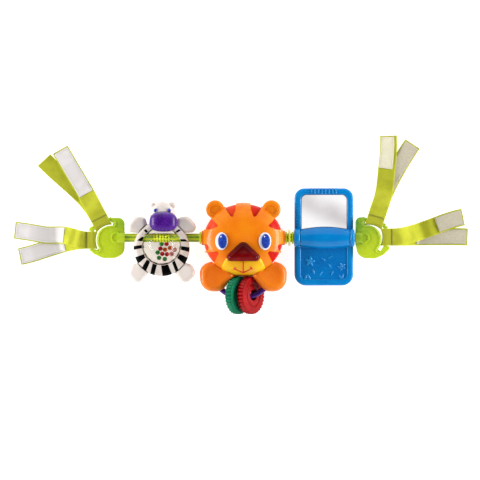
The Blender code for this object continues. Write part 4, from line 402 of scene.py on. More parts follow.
@dataclass(frozen=True)
class ClipPlastic:
    """Half clear lime plastic whose colour turns greener towards one top corner on the bar's side."""

    name: str
    colour: Colour
    deep: Colour
    centre: Place
    near: float = 2 * MM
    far: float = 24 * MM
    strength: float = 0.9
    cloud: float = 8 * MM
    scuff: float = 3 * MM
    peel: float = 0.9 * MM

    def make(self) -> Finish:
        """Builds the material: greener towards the top corner on the bar's side.

        Returns:
            The material.
        """
        graph = Graph(self.name)
        where = graph.place()
        x, y, _ = graph.split(where)
        side = -0.55 if self.centre[0] > 0 else 0.55
        across = graph.sum("MULTIPLY", graph.sum("SUBTRACT", x, self.centre[0]), side)
        up = graph.sum("MULTIPLY", graph.sum("SUBTRACT", y, self.centre[1]), 0.83)
        # Colour by plan position only: greener towards the top corner on the bar's side.
        rim = graph.span(graph.sum("ADD", across, up), self.near, self.far, smooth=True)
        cloud = graph.patches(where, self.cloud, 3.0, (0.3, 0.66), (0.45, 1.0))
        share = graph.sum("MULTIPLY", graph.sum("MULTIPLY", rim, cloud), self.strength)
        colour = graph.mix(share, self.colour, self.deep)
        rough = graph.patches(where, self.scuff, 5.0, (0.4, 0.7), (0.22, 0.34))
        return graph.dress(colour, rough, graph.skin(where, self.peel), Specular_IOR_Level=0.35,
                           Subsurface_Weight=0.1, Subsurface_Scale=GLOW_REACH)


@dataclass(frozen=True)
class LensPlastic:
    """Pebbled translucent plastic with painted light: coral on the left of the head, painted as if lit, and
    red on its right.
    """

    name: str
    left: Colour
    right: Colour
    pebble: float = 1.7 * MM
    pebble_depth: float = 0.12 * MM
    lit_side_blend: Place = (-20 * MM, 24 * MM)

    def make(self) -> Finish:
        """Builds the material.

        Returns:
            The material.
        """
        graph = Graph(self.name)
        where = graph.place()
        x, _, _ = graph.split(where)
        # Painted light: the left side is painted a lighter coral as if lit, fading to red on the right.
        share = graph.span(x, *self.lit_side_blend, smooth=True)
        pebbles = graph.cells(where, self.pebble)
        colour = graph.mix(share, self.left, self.right)
        colour = graph.mix(graph.span(pebbles, 0.1, 0.7, 0.0, 0.22), colour, self.left)
        normal = graph.bump(pebbles, self.pebble_depth)
        return graph.dress(colour, graph.span(pebbles, 0.1, 0.8, 0.24, 0.38), normal, Specular_IOR_Level=0.1,
                           Subsurface_Weight=0.1, Subsurface_Scale=GLOW_REACH)


@dataclass(frozen=True)
class GemPlastic:
    """Deep see-through plastic with painted light: painted dark at its top and painted brighter towards its
    lower rim, where light gathers.
    """

    name: str
    colour: Colour
    deep: Colour
    bright: Colour
    top: float
    bottom: float
    vein: float = 5 * MM
    scuff: float = 4 * MM
    peel: float = 1.2 * MM
    peel_depth: float = 0.015 * MM

    def make(self) -> Finish:
        """Builds the material: painted shade at the top, painted light at the bottom.

        Returns:
            The material.
        """
        graph = Graph(self.name)
        where = graph.place()
        _, y, _ = graph.split(where)
        # Painted light: dark at the top, brighter downwards, with bright veins only towards the lower rim.
        fall = graph.span(y, self.top, self.bottom, smooth=True)
        colour = graph.mix(fall, self.deep, self.colour)
        lit_veins = graph.patches(where, self.vein, 3.0, (0.5, 0.75), (0.0, 0.5))
        colour = graph.mix(graph.sum("MULTIPLY", lit_veins, fall), colour, self.bright)
        normal = graph.skin(where, self.peel, self.peel_depth)
        rough = graph.patches(where, self.scuff, 5.0, (0.45, 0.7), (0.1, 0.2))
        return graph.dress(colour, rough, normal, Specular_IOR_Level=0.2, Coat_Weight=0.05,
                           Coat_Roughness=0.04)


@dataclass(frozen=True)
class ClearPlastic:
    """The rattle ball's clear shell, with a faint warm tint."""

    name: str
    tint: Colour
    scuff: float = 6 * MM
    peel: float = 8 * MM

    def make(self) -> Finish:
        """Builds the material.

        Returns:
            The material.
        """
        graph = Graph(self.name)
        where = graph.place()
        rough = graph.patches(where, self.scuff, 5.0, (0.45, 0.75), (0.02, 0.07))
        graph.dress(self.tint, rough, graph.skin(where, self.peel), Transmission_Weight=1.0, IOR=1.15)
        graph.let_lamps_through(self.tint)
        return graph.material


@dataclass(frozen=True)
class Woven:
    """Woven cloth on its piece's own UV map, in millimetres: warp and weft yarns with a little fuzz."""

    name: str
    colour: Colour
    shade: Colour
    edge: Colour
    warp: float = 0.75
    weft: float = 0.55
    half_width: float = 9.5
    depth: float = 0.12 * MM
    fuzz: float = 0.3
    neck_shade_reach: float = 16.0
    neck_shade_shares: Place = (0.55, 0.75)
    selvedge_highlight_shares: Place = (0.86, 0.99)
    hair: float = 0.5 * MM
    drift: float = 14 * MM

    def make(self) -> Finish:
        """Builds the material: twill yarns with painted shade in their hollows, painted highlights along the
        selvedges and painted shade near the middle of the cloth's length, which on the webbing is round the
        rim bar.

        Returns:
            The material.
        """
        graph = Graph(self.name)
        across, along, _ = graph.split(graph.place("UV"))
        warp = graph.sum("DIVIDE", across, self.warp)
        weft = graph.sum("DIVIDE", along, self.weft)
        row = graph.sum("FLOOR", graph.sum("ADD", warp, graph.sum("FLOOR", weft)))
        over = graph.sum("PINGPONG", graph.sum("MULTIPLY", row, 1.0), 1.0)
        warp_hump = graph.sum("ABSOLUTE", graph.sum("SINE", graph.sum("MULTIPLY", warp, math.pi)))
        weft_hump = graph.sum("ABSOLUTE", graph.sum("SINE", graph.sum("MULTIPLY", weft, math.pi)))
        high = graph.sum("MULTIPLY", warp_hump, graph.sum("MULTIPLY_ADD", over, 0.5, 0.5))
        low = graph.sum("MULTIPLY", weft_hump, graph.sum("MULTIPLY_ADD", over, -0.5, 0.85))
        yarn = graph.sum("MAXIMUM", high, low)
        where = graph.place()
        hair = graph.noise(where, self.hair, 4.0)
        slow = graph.patches(where, self.drift, 3.0, (0.35, 0.7), smooth=True)
        # Painted highlight: the selvedges are painted brighter.
        edges = (self.half_width * share for share in self.selvedge_highlight_shares)
        selvedge_highlight = graph.span(graph.sum("ABSOLUTE", across), *edges, smooth=True)
        # Painted shade near the middle of the cloth's length, which on the webbing lies round the rim bar.
        near, dimming = self.neck_shade_shares
        neck = graph.span(graph.sum("ABSOLUTE", along), near * self.neck_shade_reach, self.neck_shade_reach, dimming, 0.0,
                          smooth=True)
        drift_and_neck_shade = graph.sum("MAXIMUM", graph.sum("MULTIPLY", slow, 0.7), neck)
        colour = graph.mix(drift_and_neck_shade, self.colour, self.shade)
        colour = graph.mix(selvedge_highlight, colour, self.edge)
        # Painted shade in the hollows between the yarns.
        colour = graph.mix(graph.span(yarn, 0.15, 0.8, 0.45, 0.0), colour, self.shade)
        colour = graph.mix(graph.span(hair, 0.4, 0.75, 0.0, self.fuzz), colour, self.edge)
        height = graph.sum("MULTIPLY_ADD", hair, 0.3, yarn)
        normal = graph.bump(height, self.depth)
        return graph.dress(colour, graph.span(hair, 0.3, 0.8, 0.72, 0.92), normal,
                           Specular_IOR_Level=0.2, Sheen_Weight=0.08, Sheen_Roughness=0.4)


@dataclass(frozen=True)
class FastenerTape:
    """Hook and loop tape: a felt of tiny loops over a woven ground."""

    name: str
    colour: Colour
    shade: Colour
    loop: float = 0.8 * MM
    loop_depth: float = 0.25 * MM
    drift: float = 11 * MM

    def make(self) -> Finish:
        """Builds the material.

        Returns:
            The material.
        """
        graph = Graph(self.name)
        where = graph.place()
        loops = graph.cells(where, self.loop)
        hair = graph.noise(where, self.loop / 2, 6.0)
        slow = graph.patches(where, self.drift, 3.0, (0.35, 0.7))
        # Painted shade: the gaps between the loops are darker.
        colour = graph.mix(graph.span(loops, 0.05, 0.8, 0.0, 0.8), self.colour, self.shade)
        colour = graph.mix(graph.sum("MULTIPLY", slow, 0.4), colour, self.shade)
        height = graph.sum("MULTIPLY_ADD", hair, 0.8, graph.sum("SUBTRACT", 1.0, loops))
        return graph.dress(colour, 0.95, graph.bump(height, self.loop_depth), Sheen_Weight=0.15,
                           Sheen_Roughness=0.5)


@dataclass(frozen=True)
class Thread:
    """Sewing thread, twisted."""

    name: str
    colour: Colour
    shade: Colour
    strand: float = 0.35 * MM
    strand_depth: float = 0.06 * MM

    def make(self) -> Finish:
        """Builds the material.

        Returns:
            The material.
        """
        graph = Graph(self.name)
        twist = graph.noise(graph.place(), self.strand, 3.0)
        normal = graph.bump(twist, self.strand_depth)
        return graph.dress(graph.mix(twist, self.colour, self.shade), 0.7, normal, Sheen_Weight=0.3)


@dataclass(frozen=True)
class Metal:
    """Plated metal with fine brushing."""

    name: str
    colour: Colour
    roughness: float
    ripple: float
    depth: float
    dimming: float = 0.86
    scuff_dulling: float = 0.08

    def make(self) -> Finish:
        """Builds the material.

        Returns:
            The material.
        """
        graph = Graph(self.name)
        where = graph.place()
        wave = graph.noise(where, self.ripple, 2.0)
        gloss = (self.roughness, self.roughness + self.scuff_dulling)
        rough = graph.patches(where, self.ripple / 5, 5.0, (0.4, 0.75), gloss)
        dim = tuple(value * self.dimming for value in self.colour)
        colour = graph.mix(graph.span(wave, 0.3, 0.75), self.colour, dim)
        return graph.dress(colour, rough, graph.bump(wave, self.depth), Metallic=1.0)


@dataclass(frozen=True)
class MirrorFilm:
    """Silvered film with a painted reflection: the pale studio with one soft grey band across it, painted in
    its colour.
    """

    name: str
    bright: Colour
    dim: Colour
    middle: Place
    reflection_band_half: float = 22 * MM
    slope: float = 0.45
    cloud: float = 30 * MM
    scuff: float = 8 * MM
    ripple_depth: float = 0.002 * MM

    def make(self) -> Finish:
        """Builds the material: a painted reflection, a soft diagonal grey band, and hardly any roughness.

        Returns:
            The material.
        """
        graph = Graph(self.name)
        where = graph.place()
        x, y, _ = graph.split(where)
        # Painted reflection: a soft grey band painted diagonally across the film.
        aside = graph.sum("MULTIPLY", graph.sum("SUBTRACT", x, self.middle[0]), self.slope)
        across = graph.sum("ABSOLUTE", graph.sum("ADD", graph.sum("SUBTRACT", y, self.middle[1]), aside))
        band = graph.span(across, 0.0, self.reflection_band_half, 1.0, 0.0, smooth=True)
        cloud = graph.patches(where, self.cloud, 2.0, (0.3, 0.7), (0.6, 1.0))
        colour = graph.mix(graph.sum("MULTIPLY", band, cloud), self.bright, self.dim)
        rough = graph.patches(where, self.scuff, 4.0, (0.4, 0.75), (0.05, 0.07))
        normal = graph.bump(graph.noise(where, self.cloud, 1.0), self.ripple_depth)
        return graph.dress(colour, rough, normal, Metallic=1.0)


# Outlines: plan lines that can be drawn inset, so that roundings follow the same form

class Outline:
    """A closed plan line, anticlockwise."""

    def at(self, inset: float = 0.0) -> list[Vector]:
        """The line's points once it has moved inward."""
        raise NotImplementedError


@dataclass(frozen=True)
class Oval(Outline):
    """An ellipse."""

    centre: Place
    half_width: float
    half_height: float
    steps: int = 72

    def at(self, inset: float = 0.0) -> list[Vector]:
        """The ellipse's points.

        Args:
            inset: how far the line moves inward.

        Returns:
            The points, anticlockwise.
        """
        turns = [math.tau * step / self.steps for step in range(self.steps)]
        return [Vector((self.centre[0] + (self.half_width - inset) * math.cos(turn),
                        self.centre[1] + (self.half_height - inset) * math.sin(turn))) for turn in turns]


@dataclass(frozen=True)
class Rounded(Outline):
    """A many-cornered line whose corners are rounded, each by its own radius."""

    corners: tuple[Place, ...]
    radii: tuple[float, ...]
    arc_steps: int = 8
    least: float = 0.33 * MM

    def ordered(self) -> tuple[list[Vector], list[float]]:
        """Corners and radii, anticlockwise.

        Returns:
            The corners and their radii.
        """
        corners = [Vector(corner) for corner in self.corners]
        area = sum(corners[index - 1].cross(corner) for index, corner in enumerate(corners))
        if area > 0:
            return corners, list(self.radii)
        return corners[::-1], list(self.radii)[::-1]

    def at(self, inset: float = 0.0) -> list[Vector]:
        """The line's points, with arcs at its rounded corners.

        Args:
            inset: how far the line moves inward.

        Returns:
            The points, anticlockwise.
        """
        corners, radii = self.ordered()
        count = len(corners)
        inset_corners = []
        for index, corner in enumerate(corners):
            arriving = (corner - corners[index - 1]).normalized()
            leaving = (corners[(index + 1) % count] - corner).normalized()
            normal = Vector((-arriving.y, arriving.x))
            inward = (normal + Vector((-leaving.y, leaving.x))).normalized()
            inset_corners.append(corner + inward * (inset / inward.dot(normal)))
        points = []
        for index, corner in enumerate(inset_corners):
            if radii[index]:
                before, after = inset_corners[index - 1], inset_corners[(index + 1) % count]
                points.extend(self.arc(corner, before, after, max(radii[index] - inset, self.least)))
            else:
                points.append(corner)
        return points

    def arc(self, corner: Vector, before: Vector, after: Vector, radius: float) -> list[Vector]:
        """Points round one corner.

        Args:
            corner: the corner.
            before, after: the corners beside it.
            radius: the arc's radius.

        Returns:
            The arc's points.
        """
        to_before = (before - corner).normalized()
        to_after = (after - corner).normalized()
        half = to_before.angle(to_after) / 2
        centre = corner + (to_before + to_after).normalized() * (radius / math.sin(half))
        start = corner + to_before * (radius / math.tan(half)) - centre
        end = corner + to_after * (radius / math.tan(half)) - centre
        sweep = math.atan2(start.cross(end), start.dot(end))
        return [centre + Matrix.Rotation(sweep * step / self.arc_steps, 2) @ start
                for step in range(self.arc_steps + 1)]


def share_line(shares: Sequence[Place], rounds: Sequence[float], size: Place, centre: Place = (0.0, 0.0),
               mirror: int = 1, arc_steps: int = 8) -> Rounded:
    """A rounded line whose corners and radii are shares of a size."""
    corners = tuple((centre[0] + mirror * x * size[0], centre[1] + y * size[1]) for x, y in shares)
    return Rounded(corners, tuple(share * size[0] for share in rounds), arc_steps)


def box_line(low: Place, high: Place, low_round: float, high_round: float, arc_steps: int = 16) -> Rounded:
    """An upright rectangle with one rounding for its lower corners and one for its upper ones."""
    corners = (low, (high[0], low[1]), high, (low[0], high[1]))
    return Rounded(corners, (low_round, low_round, high_round, high_round), arc_steps)


# Shapes

def tidied(shape: Shape) -> Shape:
    """Merges doubled points and points every face outward.

    Args:
        shape: the shape.

    Returns:
        The same shape.
    """
    bmesh.ops.remove_doubles(shape, verts=shape.verts, dist=MERGE_REACH)
    bmesh.ops.recalc_face_normals(shape, faces=shape.faces)
    return shape


def shifted(shape: Shape, way: Sequence[float]) -> Shape:
    """Moves a shape."""
    bmesh.ops.translate(shape, verts=shape.verts, vec=way)
    return shape


def swung(shape: Shape, turn: Matrix) -> Shape:
    """Turns a shape about the origin."""
    bmesh.ops.rotate(shape, verts=shape.verts, cent=(0, 0, 0), matrix=turn)
    return shape


def scaled(shape: Shape, scale: Sequence[float]) -> Shape:
    """Scales a shape from the origin."""
    bmesh.ops.scale(shape, verts=shape.verts, vec=scale)
    return shape


def revolved(line: Sequence[Place], steps: int, breaks: Sequence[int] = (0,)) -> Shape:
    """Spins a line round the Z axis.

    Args:
        line: places along the axis, each with its radius.
        steps: how many steps the full turn takes.
        breaks: the points that no edge joins to the one before.

    Returns:
        The spun shape.
    """
    shape = bmesh.new()
    points = [shape.verts.new((max(radius, 0.0), 0, along)) for along, radius in line]
    edges = [shape.edges.new((points[index - 1], points[index])) for index in range(len(points))
             if index not in breaks]
    bmesh.ops.spin(shape, geom=[*points, *edges], cent=(0, 0, 0), axis=(0, 0, 1), angle=math.tau, steps=steps,
                   use_merge=True)
    return tidied(shape)


def mirrored(profile: Sequence[Place]) -> list[Place]:
    """A profile's first half with its mirror image after it."""
    return [*profile, *((-along, radius) for along, radius in reversed(profile))]


def quarter(steps: int) -> list[Place]:
    """Sines and cosines in even steps from 0 to 90 degrees."""
    turns = [math.radians(90) * step / steps for step in range(steps + 1)]
    return [(math.sin(turn), math.cos(turn)) for turn in turns]


def lift(points: Sequence[Vector], height: float) -> list[Vector]:
    """Plan points at one height."""
    return [Vector((point[0], point[1], height)) for point in points]


def stacked(rings: Sequence[Sequence[Vector]]) -> Shape:
    """Extrudes a ring of points through further rings of the same count.

    Args:
        rings: the rings, from one end to the other.

    Returns:
        The skinned shape, with both ends closed.
    """
    shape = bmesh.new()
    order = shape.verts.layers.int.new("order")
    first = [shape.verts.new(point) for point in rings[0]]
    for index, vert in enumerate(first):
        vert[order] = index
    edges = [shape.edges.new((vert, first[(index + 1) % len(first)])) for index, vert in enumerate(first)]
    for ring in rings[1:]:
        added = bmesh.ops.extrude_edge_only(shape, edges=edges)["geom"]
        edges = [item for item in added if isinstance(item, bmesh.types.BMEdge)]
        for item in added:
            if isinstance(item, bmesh.types.BMVert):
                item.co = ring[item[order]]
    bmesh.ops.holes_fill(shape, edges=shape.edges, sides=0)
    shape.verts.layers.int.remove(order)
    return tidied(shape)


def prism(outline: Outline, low: float, high: float) -> Shape:
    """An upright solid with sharp edges."""
    return stacked([lift(outline.at(), low), lift(outline.at(), high)])


def pillow_rings(outline: Outline, low: float, high: float, low_round: float, high_round: float,
                 steps: int) -> list[list[Vector]]:
    """The rings of an upright solid whose lower and upper edges are rounded.

    Args:
        outline: the plan line.
        low, high: the lowest and highest place.
        low_round, high_round: the lower and the upper edge's rounding.
        steps: how many steps a rounding takes.

    Returns:
        The rings, from the lowest up.
    """
    rings = []
    for sine, cosine in quarter(steps):
        rings.append(lift(outline.at(low_round * (1 - sine)), low + low_round * (1 - cosine)))
    for sine, cosine in quarter(steps):
        rings.append(lift(outline.at(high_round * (1 - cosine)), high - high_round * (1 - sine)))
    return rings


def pillow(outline: Outline, low: float, high: float, low_round: float, high_round: float,
           steps: int = 6) -> Shape:
    """An upright solid whose lower and upper edges are rounded."""
    return stacked(pillow_rings(outline, low, high, low_round, high_round, steps))


def turned(profile: Sequence[Place], centre: Sequence[float], steps: int = 64,
           along_x: bool = False) -> Shape:
    """A turned solid: the profile gives places along the axis and radii.

    Args:
        profile: places along the axis, each with its radius.
        centre: where its origin goes.
        steps: how many steps the full turn takes.
        along_x: whether the axis lies along X.

    Returns:
        The solid.
    """
    shape = revolved(profile, steps)
    if along_x:
        swung(shape, Matrix.Rotation(math.radians(90), 3, "Y"))
    return shifted(shape, centre)


def rod(start: float, end: float, radius: float, centre: Sequence[float], steps: int = 64,
        along_x: bool = False) -> Shape:
    """A plain round rod."""
    return turned(((start, 0), (start, radius), (end, radius), (end, 0)), centre, steps, along_x)


def bar_rod(start: float, end: float, radius: float, steps: int = 64) -> Shape:
    """A plain rod round the bar's axis."""
    return rod(start, end, radius, (0, 0, AXIS_HEIGHT), steps, along_x=True)


def ball(centre: Sequence[float], size: Sequence[float], steps: int = 48) -> Shape:
    """An egg of three full sizes.

    Args:
        centre: its middle.
        size: its full sizes.
        steps: how many steps go round it.

    Returns:
        The egg.
    """
    shape = bmesh.new()
    bmesh.ops.create_uvsphere(shape, u_segments=steps, v_segments=steps // 2, radius=1)
    return shifted(scaled(shape, Vector(size) / 2), centre)


def cushion(centre: Sequence[float], size: Sequence[float], power: float, steps: int = 64) -> Shape:
    """An egg of three full sizes whose sides are fuller than an ellipse's.

    Args:
        centre: its middle.
        size: its full sizes.
        power: how full its sides are.
        steps: how many steps go round it.

    Returns:
        The cushion.
    """
    shape = ball((0, 0, 0), (2, 2, 2), steps)
    for vert in shape.verts:
        vert.co /= sum(abs(value) ** power for value in vert.co) ** (1 / power)
    return shifted(scaled(shape, Vector(size) / 2), centre)


def block(low: Sequence[float], high: Sequence[float]) -> Shape:
    """A box between two corners.

    Args:
        low, high: two opposite corners.

    Returns:
        The box.
    """
    shape = bmesh.new()
    bmesh.ops.create_cube(shape, size=1)
    size = Vector(high) - Vector(low)
    return shifted(scaled(shape, size), Vector(low) + size / 2)


def rope(paths: Sequence[Sequence[Vector]], radius: float) -> Shape:
    """Round cords along paths of points, with rounded-off ends.

    Args:
        paths: the points of each cord.
        radius: the cords' radius.

    Returns:
        All the cords as one shape.
    """
    curve = bpy.data.curves.new("rope", "CURVE")
    curve.dimensions = "3D"
    curve.bevel_depth = radius
    curve.bevel_resolution = 3
    curve.use_fill_caps = True
    for path in paths:
        spline = curve.splines.new("POLY")
        spline.points.add(len(path) - 1)
        for point, place in zip(spline.points, path):
            point.co = (*place, 1.0)
    holder = bpy.data.objects.new("rope", curve)
    mesh = bpy.data.meshes.new_from_object(holder)
    shape = bmesh.new()
    shape.from_mesh(mesh)
    bpy.data.objects.remove(holder)
    bpy.data.curves.remove(curve)
    bpy.data.meshes.remove(mesh)
    return tidied(shape)


def above(shape: Shape, height: float) -> Shape:
    """What of a shape is above a height, closed underneath.

    Args:
        shape: the shape, which is cut.
        height: where the cut is.

    Returns:
        What is left of it.
    """
    bmesh.ops.bisect_plane(shape, geom=[*shape.verts, *shape.edges, *shape.faces], plane_co=(0, 0, height),
                           plane_no=(0, 0, 1), clear_inner=True, dist=MERGE_REACH)
    bmesh.ops.holes_fill(shape, edges=shape.edges, sides=0)
    return tidied(shape)


def joined(shapes: Sequence[Shape]) -> Shape:
    """Several separate forms as one shape.

    Args:
        shapes: the forms, which are used up.

    Returns:
        The whole.
    """
    whole = bmesh.new()
    for shape in shapes:
        part = bpy.data.meshes.new("part")
        shape.to_mesh(part)
        shape.free()
        whole.from_mesh(part)
        bpy.data.meshes.remove(part)
    return whole


def carved(shape: Shape, tools: Sequence[tuple[Shape, Cut]]) -> Shape:
    """Cuts tools from a shape, joins them on or keeps what they share.

    Args:
        shape: the shape to start from, which is used up.
        tools: each tool with what it does; they are used up too.

    Returns:
        The carved shape.
    """
    def held(form: Shape) -> Piece:
        """A passing object for one form.

        Args:
            form: the form, which is used up.

        Returns:
            The object.
        """
        mesh = bpy.data.meshes.new("held")
        form.to_mesh(mesh)
        form.free()
        holder = bpy.data.objects.new("held", mesh)
        bpy.context.scene.collection.objects.link(holder)
        return holder

    base = held(shape)
    holders = [base]
    for tool, cut in tools:
        holder = held(tool)
        holders.append(holder)
        step = base.modifiers.new("cut", "BOOLEAN")
        step.operation = cut.value
        step.object = holder
    depsgraph = bpy.context.evaluated_depsgraph_get()
    mesh = bpy.data.meshes.new_from_object(base.evaluated_get(depsgraph))
    result = bmesh.new()
    result.from_mesh(mesh)
    bpy.data.meshes.remove(mesh)
    for holder in holders:
        old = holder.data
        bpy.data.objects.remove(holder)
        bpy.data.meshes.remove(old)
    bmesh.ops.remove_doubles(result, verts=result.verts, dist=MERGE_REACH)
    return result


class Workshop:
    """Puts finished pieces in the scene and ties each to its CAD body."""

    def __init__(self, frame: dict) -> None:
        """Keeps the frame, and which body holds each CAD node.
        """
        self.frame = frame
        bodies = frame["record"]["behaviour"]["bodies"]
        self.body_of = {node: body for body, nodes in bodies.items() for node in nodes}

    def put(self, name: str, shape: Shape, finishes: Sequence[Finish],
            replaces: Sequence[str] = (), body: str = "", crease: float = 38) -> Piece:
        """Turns a shape into a finished piece.

        Args:
            name: the piece's name.
            shape: the shape, already in its place; it is used up.
            finishes: its materials, in the order of the faces' indices.
            replaces: the CAD nodes that it stands for.
            body: the CAD body that it rides on, if it stands for none.
            crease: the angle in degrees past which an edge stays sharp.

        Returns:
            The new object.
        """
        mesh = bpy.data.meshes.new(name)
        shape.to_mesh(mesh)
        shape.free()
        for finish in finishes:
            mesh.materials.append(finish)
        mesh.shade_smooth()
        mesh.set_sharp_from_angle(angle=math.radians(crease))
        piece = bpy.data.objects.new(name, mesh)
        bpy.context.scene.collection.objects.link(piece)
        if replaces:
            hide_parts(*replaces)
        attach(piece, body or self.body_of[replaces[0]])
        log.info("%s: %d faces", name, len(mesh.polygons))
        return piece

    def copied(self, node: str) -> Shape:
        """A merged copy of a CAD node's shape.

        Args:
            node: the CAD node's name.

        Returns:
            The shape.
        """
        shape = bmesh.new()
        shape.from_mesh(self.frame["nodes"][node].data)
        bmesh.ops.remove_doubles(shape, verts=shape.verts, dist=MERGE_REACH)
        return shape

    def keep(self, node: str, finish: Finish) -> Piece:
        """Dresses a CAD node as it is: a merged, smooth copy in its place."""
        return self.put(node + "_dressed", self.copied(node), (finish,), (node,), crease=40)

    @staticmethod
    def soften(piece: Piece, width: float, segments: int = 2, crease: float = 40) -> None:
        """Rounds a piece's sharp edges.

        Args:
            piece: the piece.
            width: the rounding's width.
            segments: how many steps it takes.
            crease: the angle in degrees past which an edge is rounded.
        """
        edge = piece.modifiers.new("edges", "BEVEL")
        edge.width = width
        edge.segments = segments
        edge.limit_method = "ANGLE"
        edge.angle_limit = math.radians(crease)
        edge.use_clamp_overlap = True


# Studio

@dataclass
class Studio:
    """A pale floor, soft light from low on both sides and a camera straight above."""

    aim: tuple[float, float, float] = (-3.6 * MM, -2.4 * MM, 21.4 * MM)
    distance: float = 4.0
    view_width: float = 528 * MM
    sensor: float = 36.0
    floor_half: float = 4.0
    floor_drop: float = 0.5 * MM
    ring_strength: float = 0.92
    crown_strength: float = 0.07
    crown_levels: Place = (0.6, 0.86)
    side_power: float = 50.0
    side_place: tuple[float, float, float] = (2.0, 0.1, 0.62)
    side_size: Place = (2.0, 0.7)
    card_power: float = 0.29
    card_place: tuple[float, float, float] = (0.185, 0.07, 3.95)
    card_size: Place = (0.3, 0.3)
    floor_grain: float = 90 * MM
    floor_tones: tuple[Colour, Colour] = ((0.62, 0.62, 0.62), (0.64, 0.64, 0.64))
    floor_glow: float = 0.8

    def build(self) -> None:
        """Makes the floor, the light and the camera."""
        scene = bpy.context.scene
        scene.view_settings.view_transform = "Standard"
        self.floor()
        self.world()
        x, y, z = self.side_place
        self.lamp("left_light", (-x, y, z), self.side_size, self.side_power)
        self.lamp("right_light", (x, y, z), self.side_size, self.side_power)
        self.lamp("mirror_card", self.card_place, self.card_size, self.card_power)
        self.camera()

    def floor(self) -> None:
        """The pale floor, just under the toy."""
        shape = bmesh.new()
        bmesh.ops.create_grid(shape, x_segments=1, y_segments=1, size=self.floor_half)
        shifted(shape, (0, 0, -self.floor_drop))
        mesh = bpy.data.meshes.new("floor")
        shape.to_mesh(mesh)
        shape.free()
        graph = Graph("pale_floor")
        where = graph.place()
        tone = graph.mix(graph.noise(where, self.floor_grain), *self.floor_tones)
        graph.shader.inputs["Emission Color"].default_value = (1.0, 1.0, 1.0, 1.0)
        mesh.materials.append(graph.dress(tone, 0.9, Emission_Strength=self.floor_glow))
        floor = bpy.data.objects.new("floor", mesh)
        bpy.context.scene.collection.objects.link(floor)

    def world(self) -> None:
        """White light from all round, dimmer overhead."""
        world = bpy.data.worlds.new("studio")
        world.use_nodes = True
        tree = world.node_tree
        sky = tree.nodes["Background"]
        where = tree.nodes.new("ShaderNodeTexCoord")
        split = tree.nodes.new("ShaderNodeSeparateXYZ")
        ramp = tree.nodes.new("ShaderNodeValToRGB")
        tree.links.new(where.outputs["Generated"], split.inputs[0])
        tree.links.new(split.outputs["Z"], ramp.inputs[0])
        tree.links.new(ramp.outputs["Color"], sky.inputs["Color"])
        ring, crown = self.crown_levels
        levels = ((0.0, self.ring_strength), (ring, self.ring_strength), (crown, self.crown_strength))
        while len(ramp.color_ramp.elements) < len(levels):
            ramp.color_ramp.elements.new(0.5)
        for entry, (level, strength) in zip(ramp.color_ramp.elements, levels):
            entry.position = level
            entry.color = (strength, strength, strength, 1.0)
        bpy.context.scene.world = world

    def lamp(self, name: str, place: tuple[float, float, float], size: Place, power: float) -> None:
        """One soft box, aimed at the toy.

        Args:
            name: the lamp's name.
            place: where it stands.
            size: its width and height.
            power: its power in watts.
        """
        light = bpy.data.lights.new(name, "AREA")
        light.shape = "RECTANGLE"
        light.size, light.size_y = size
        light.energy = power
        lamp = bpy.data.objects.new(name, light)
        lamp.location = place
        lamp.rotation_euler = (Vector(self.aim) - Vector(place)).to_track_quat("-Z", "Y").to_euler()
        bpy.context.scene.collection.objects.link(lamp)

    def camera(self) -> None:
        """The camera, straight above and far enough to look almost flat."""
        lens = bpy.data.cameras.new("camera")
        lens.sensor_width = self.sensor
        lens.lens = self.sensor * self.distance / self.view_width
        lens.clip_end = 3 * self.distance
        camera = bpy.data.objects.new("camera", lens)
        camera.location = Vector(self.aim) + Vector((0, 0, self.distance))
        bpy.context.scene.collection.objects.link(camera)
        bpy.context.scene.camera = camera


# Bars

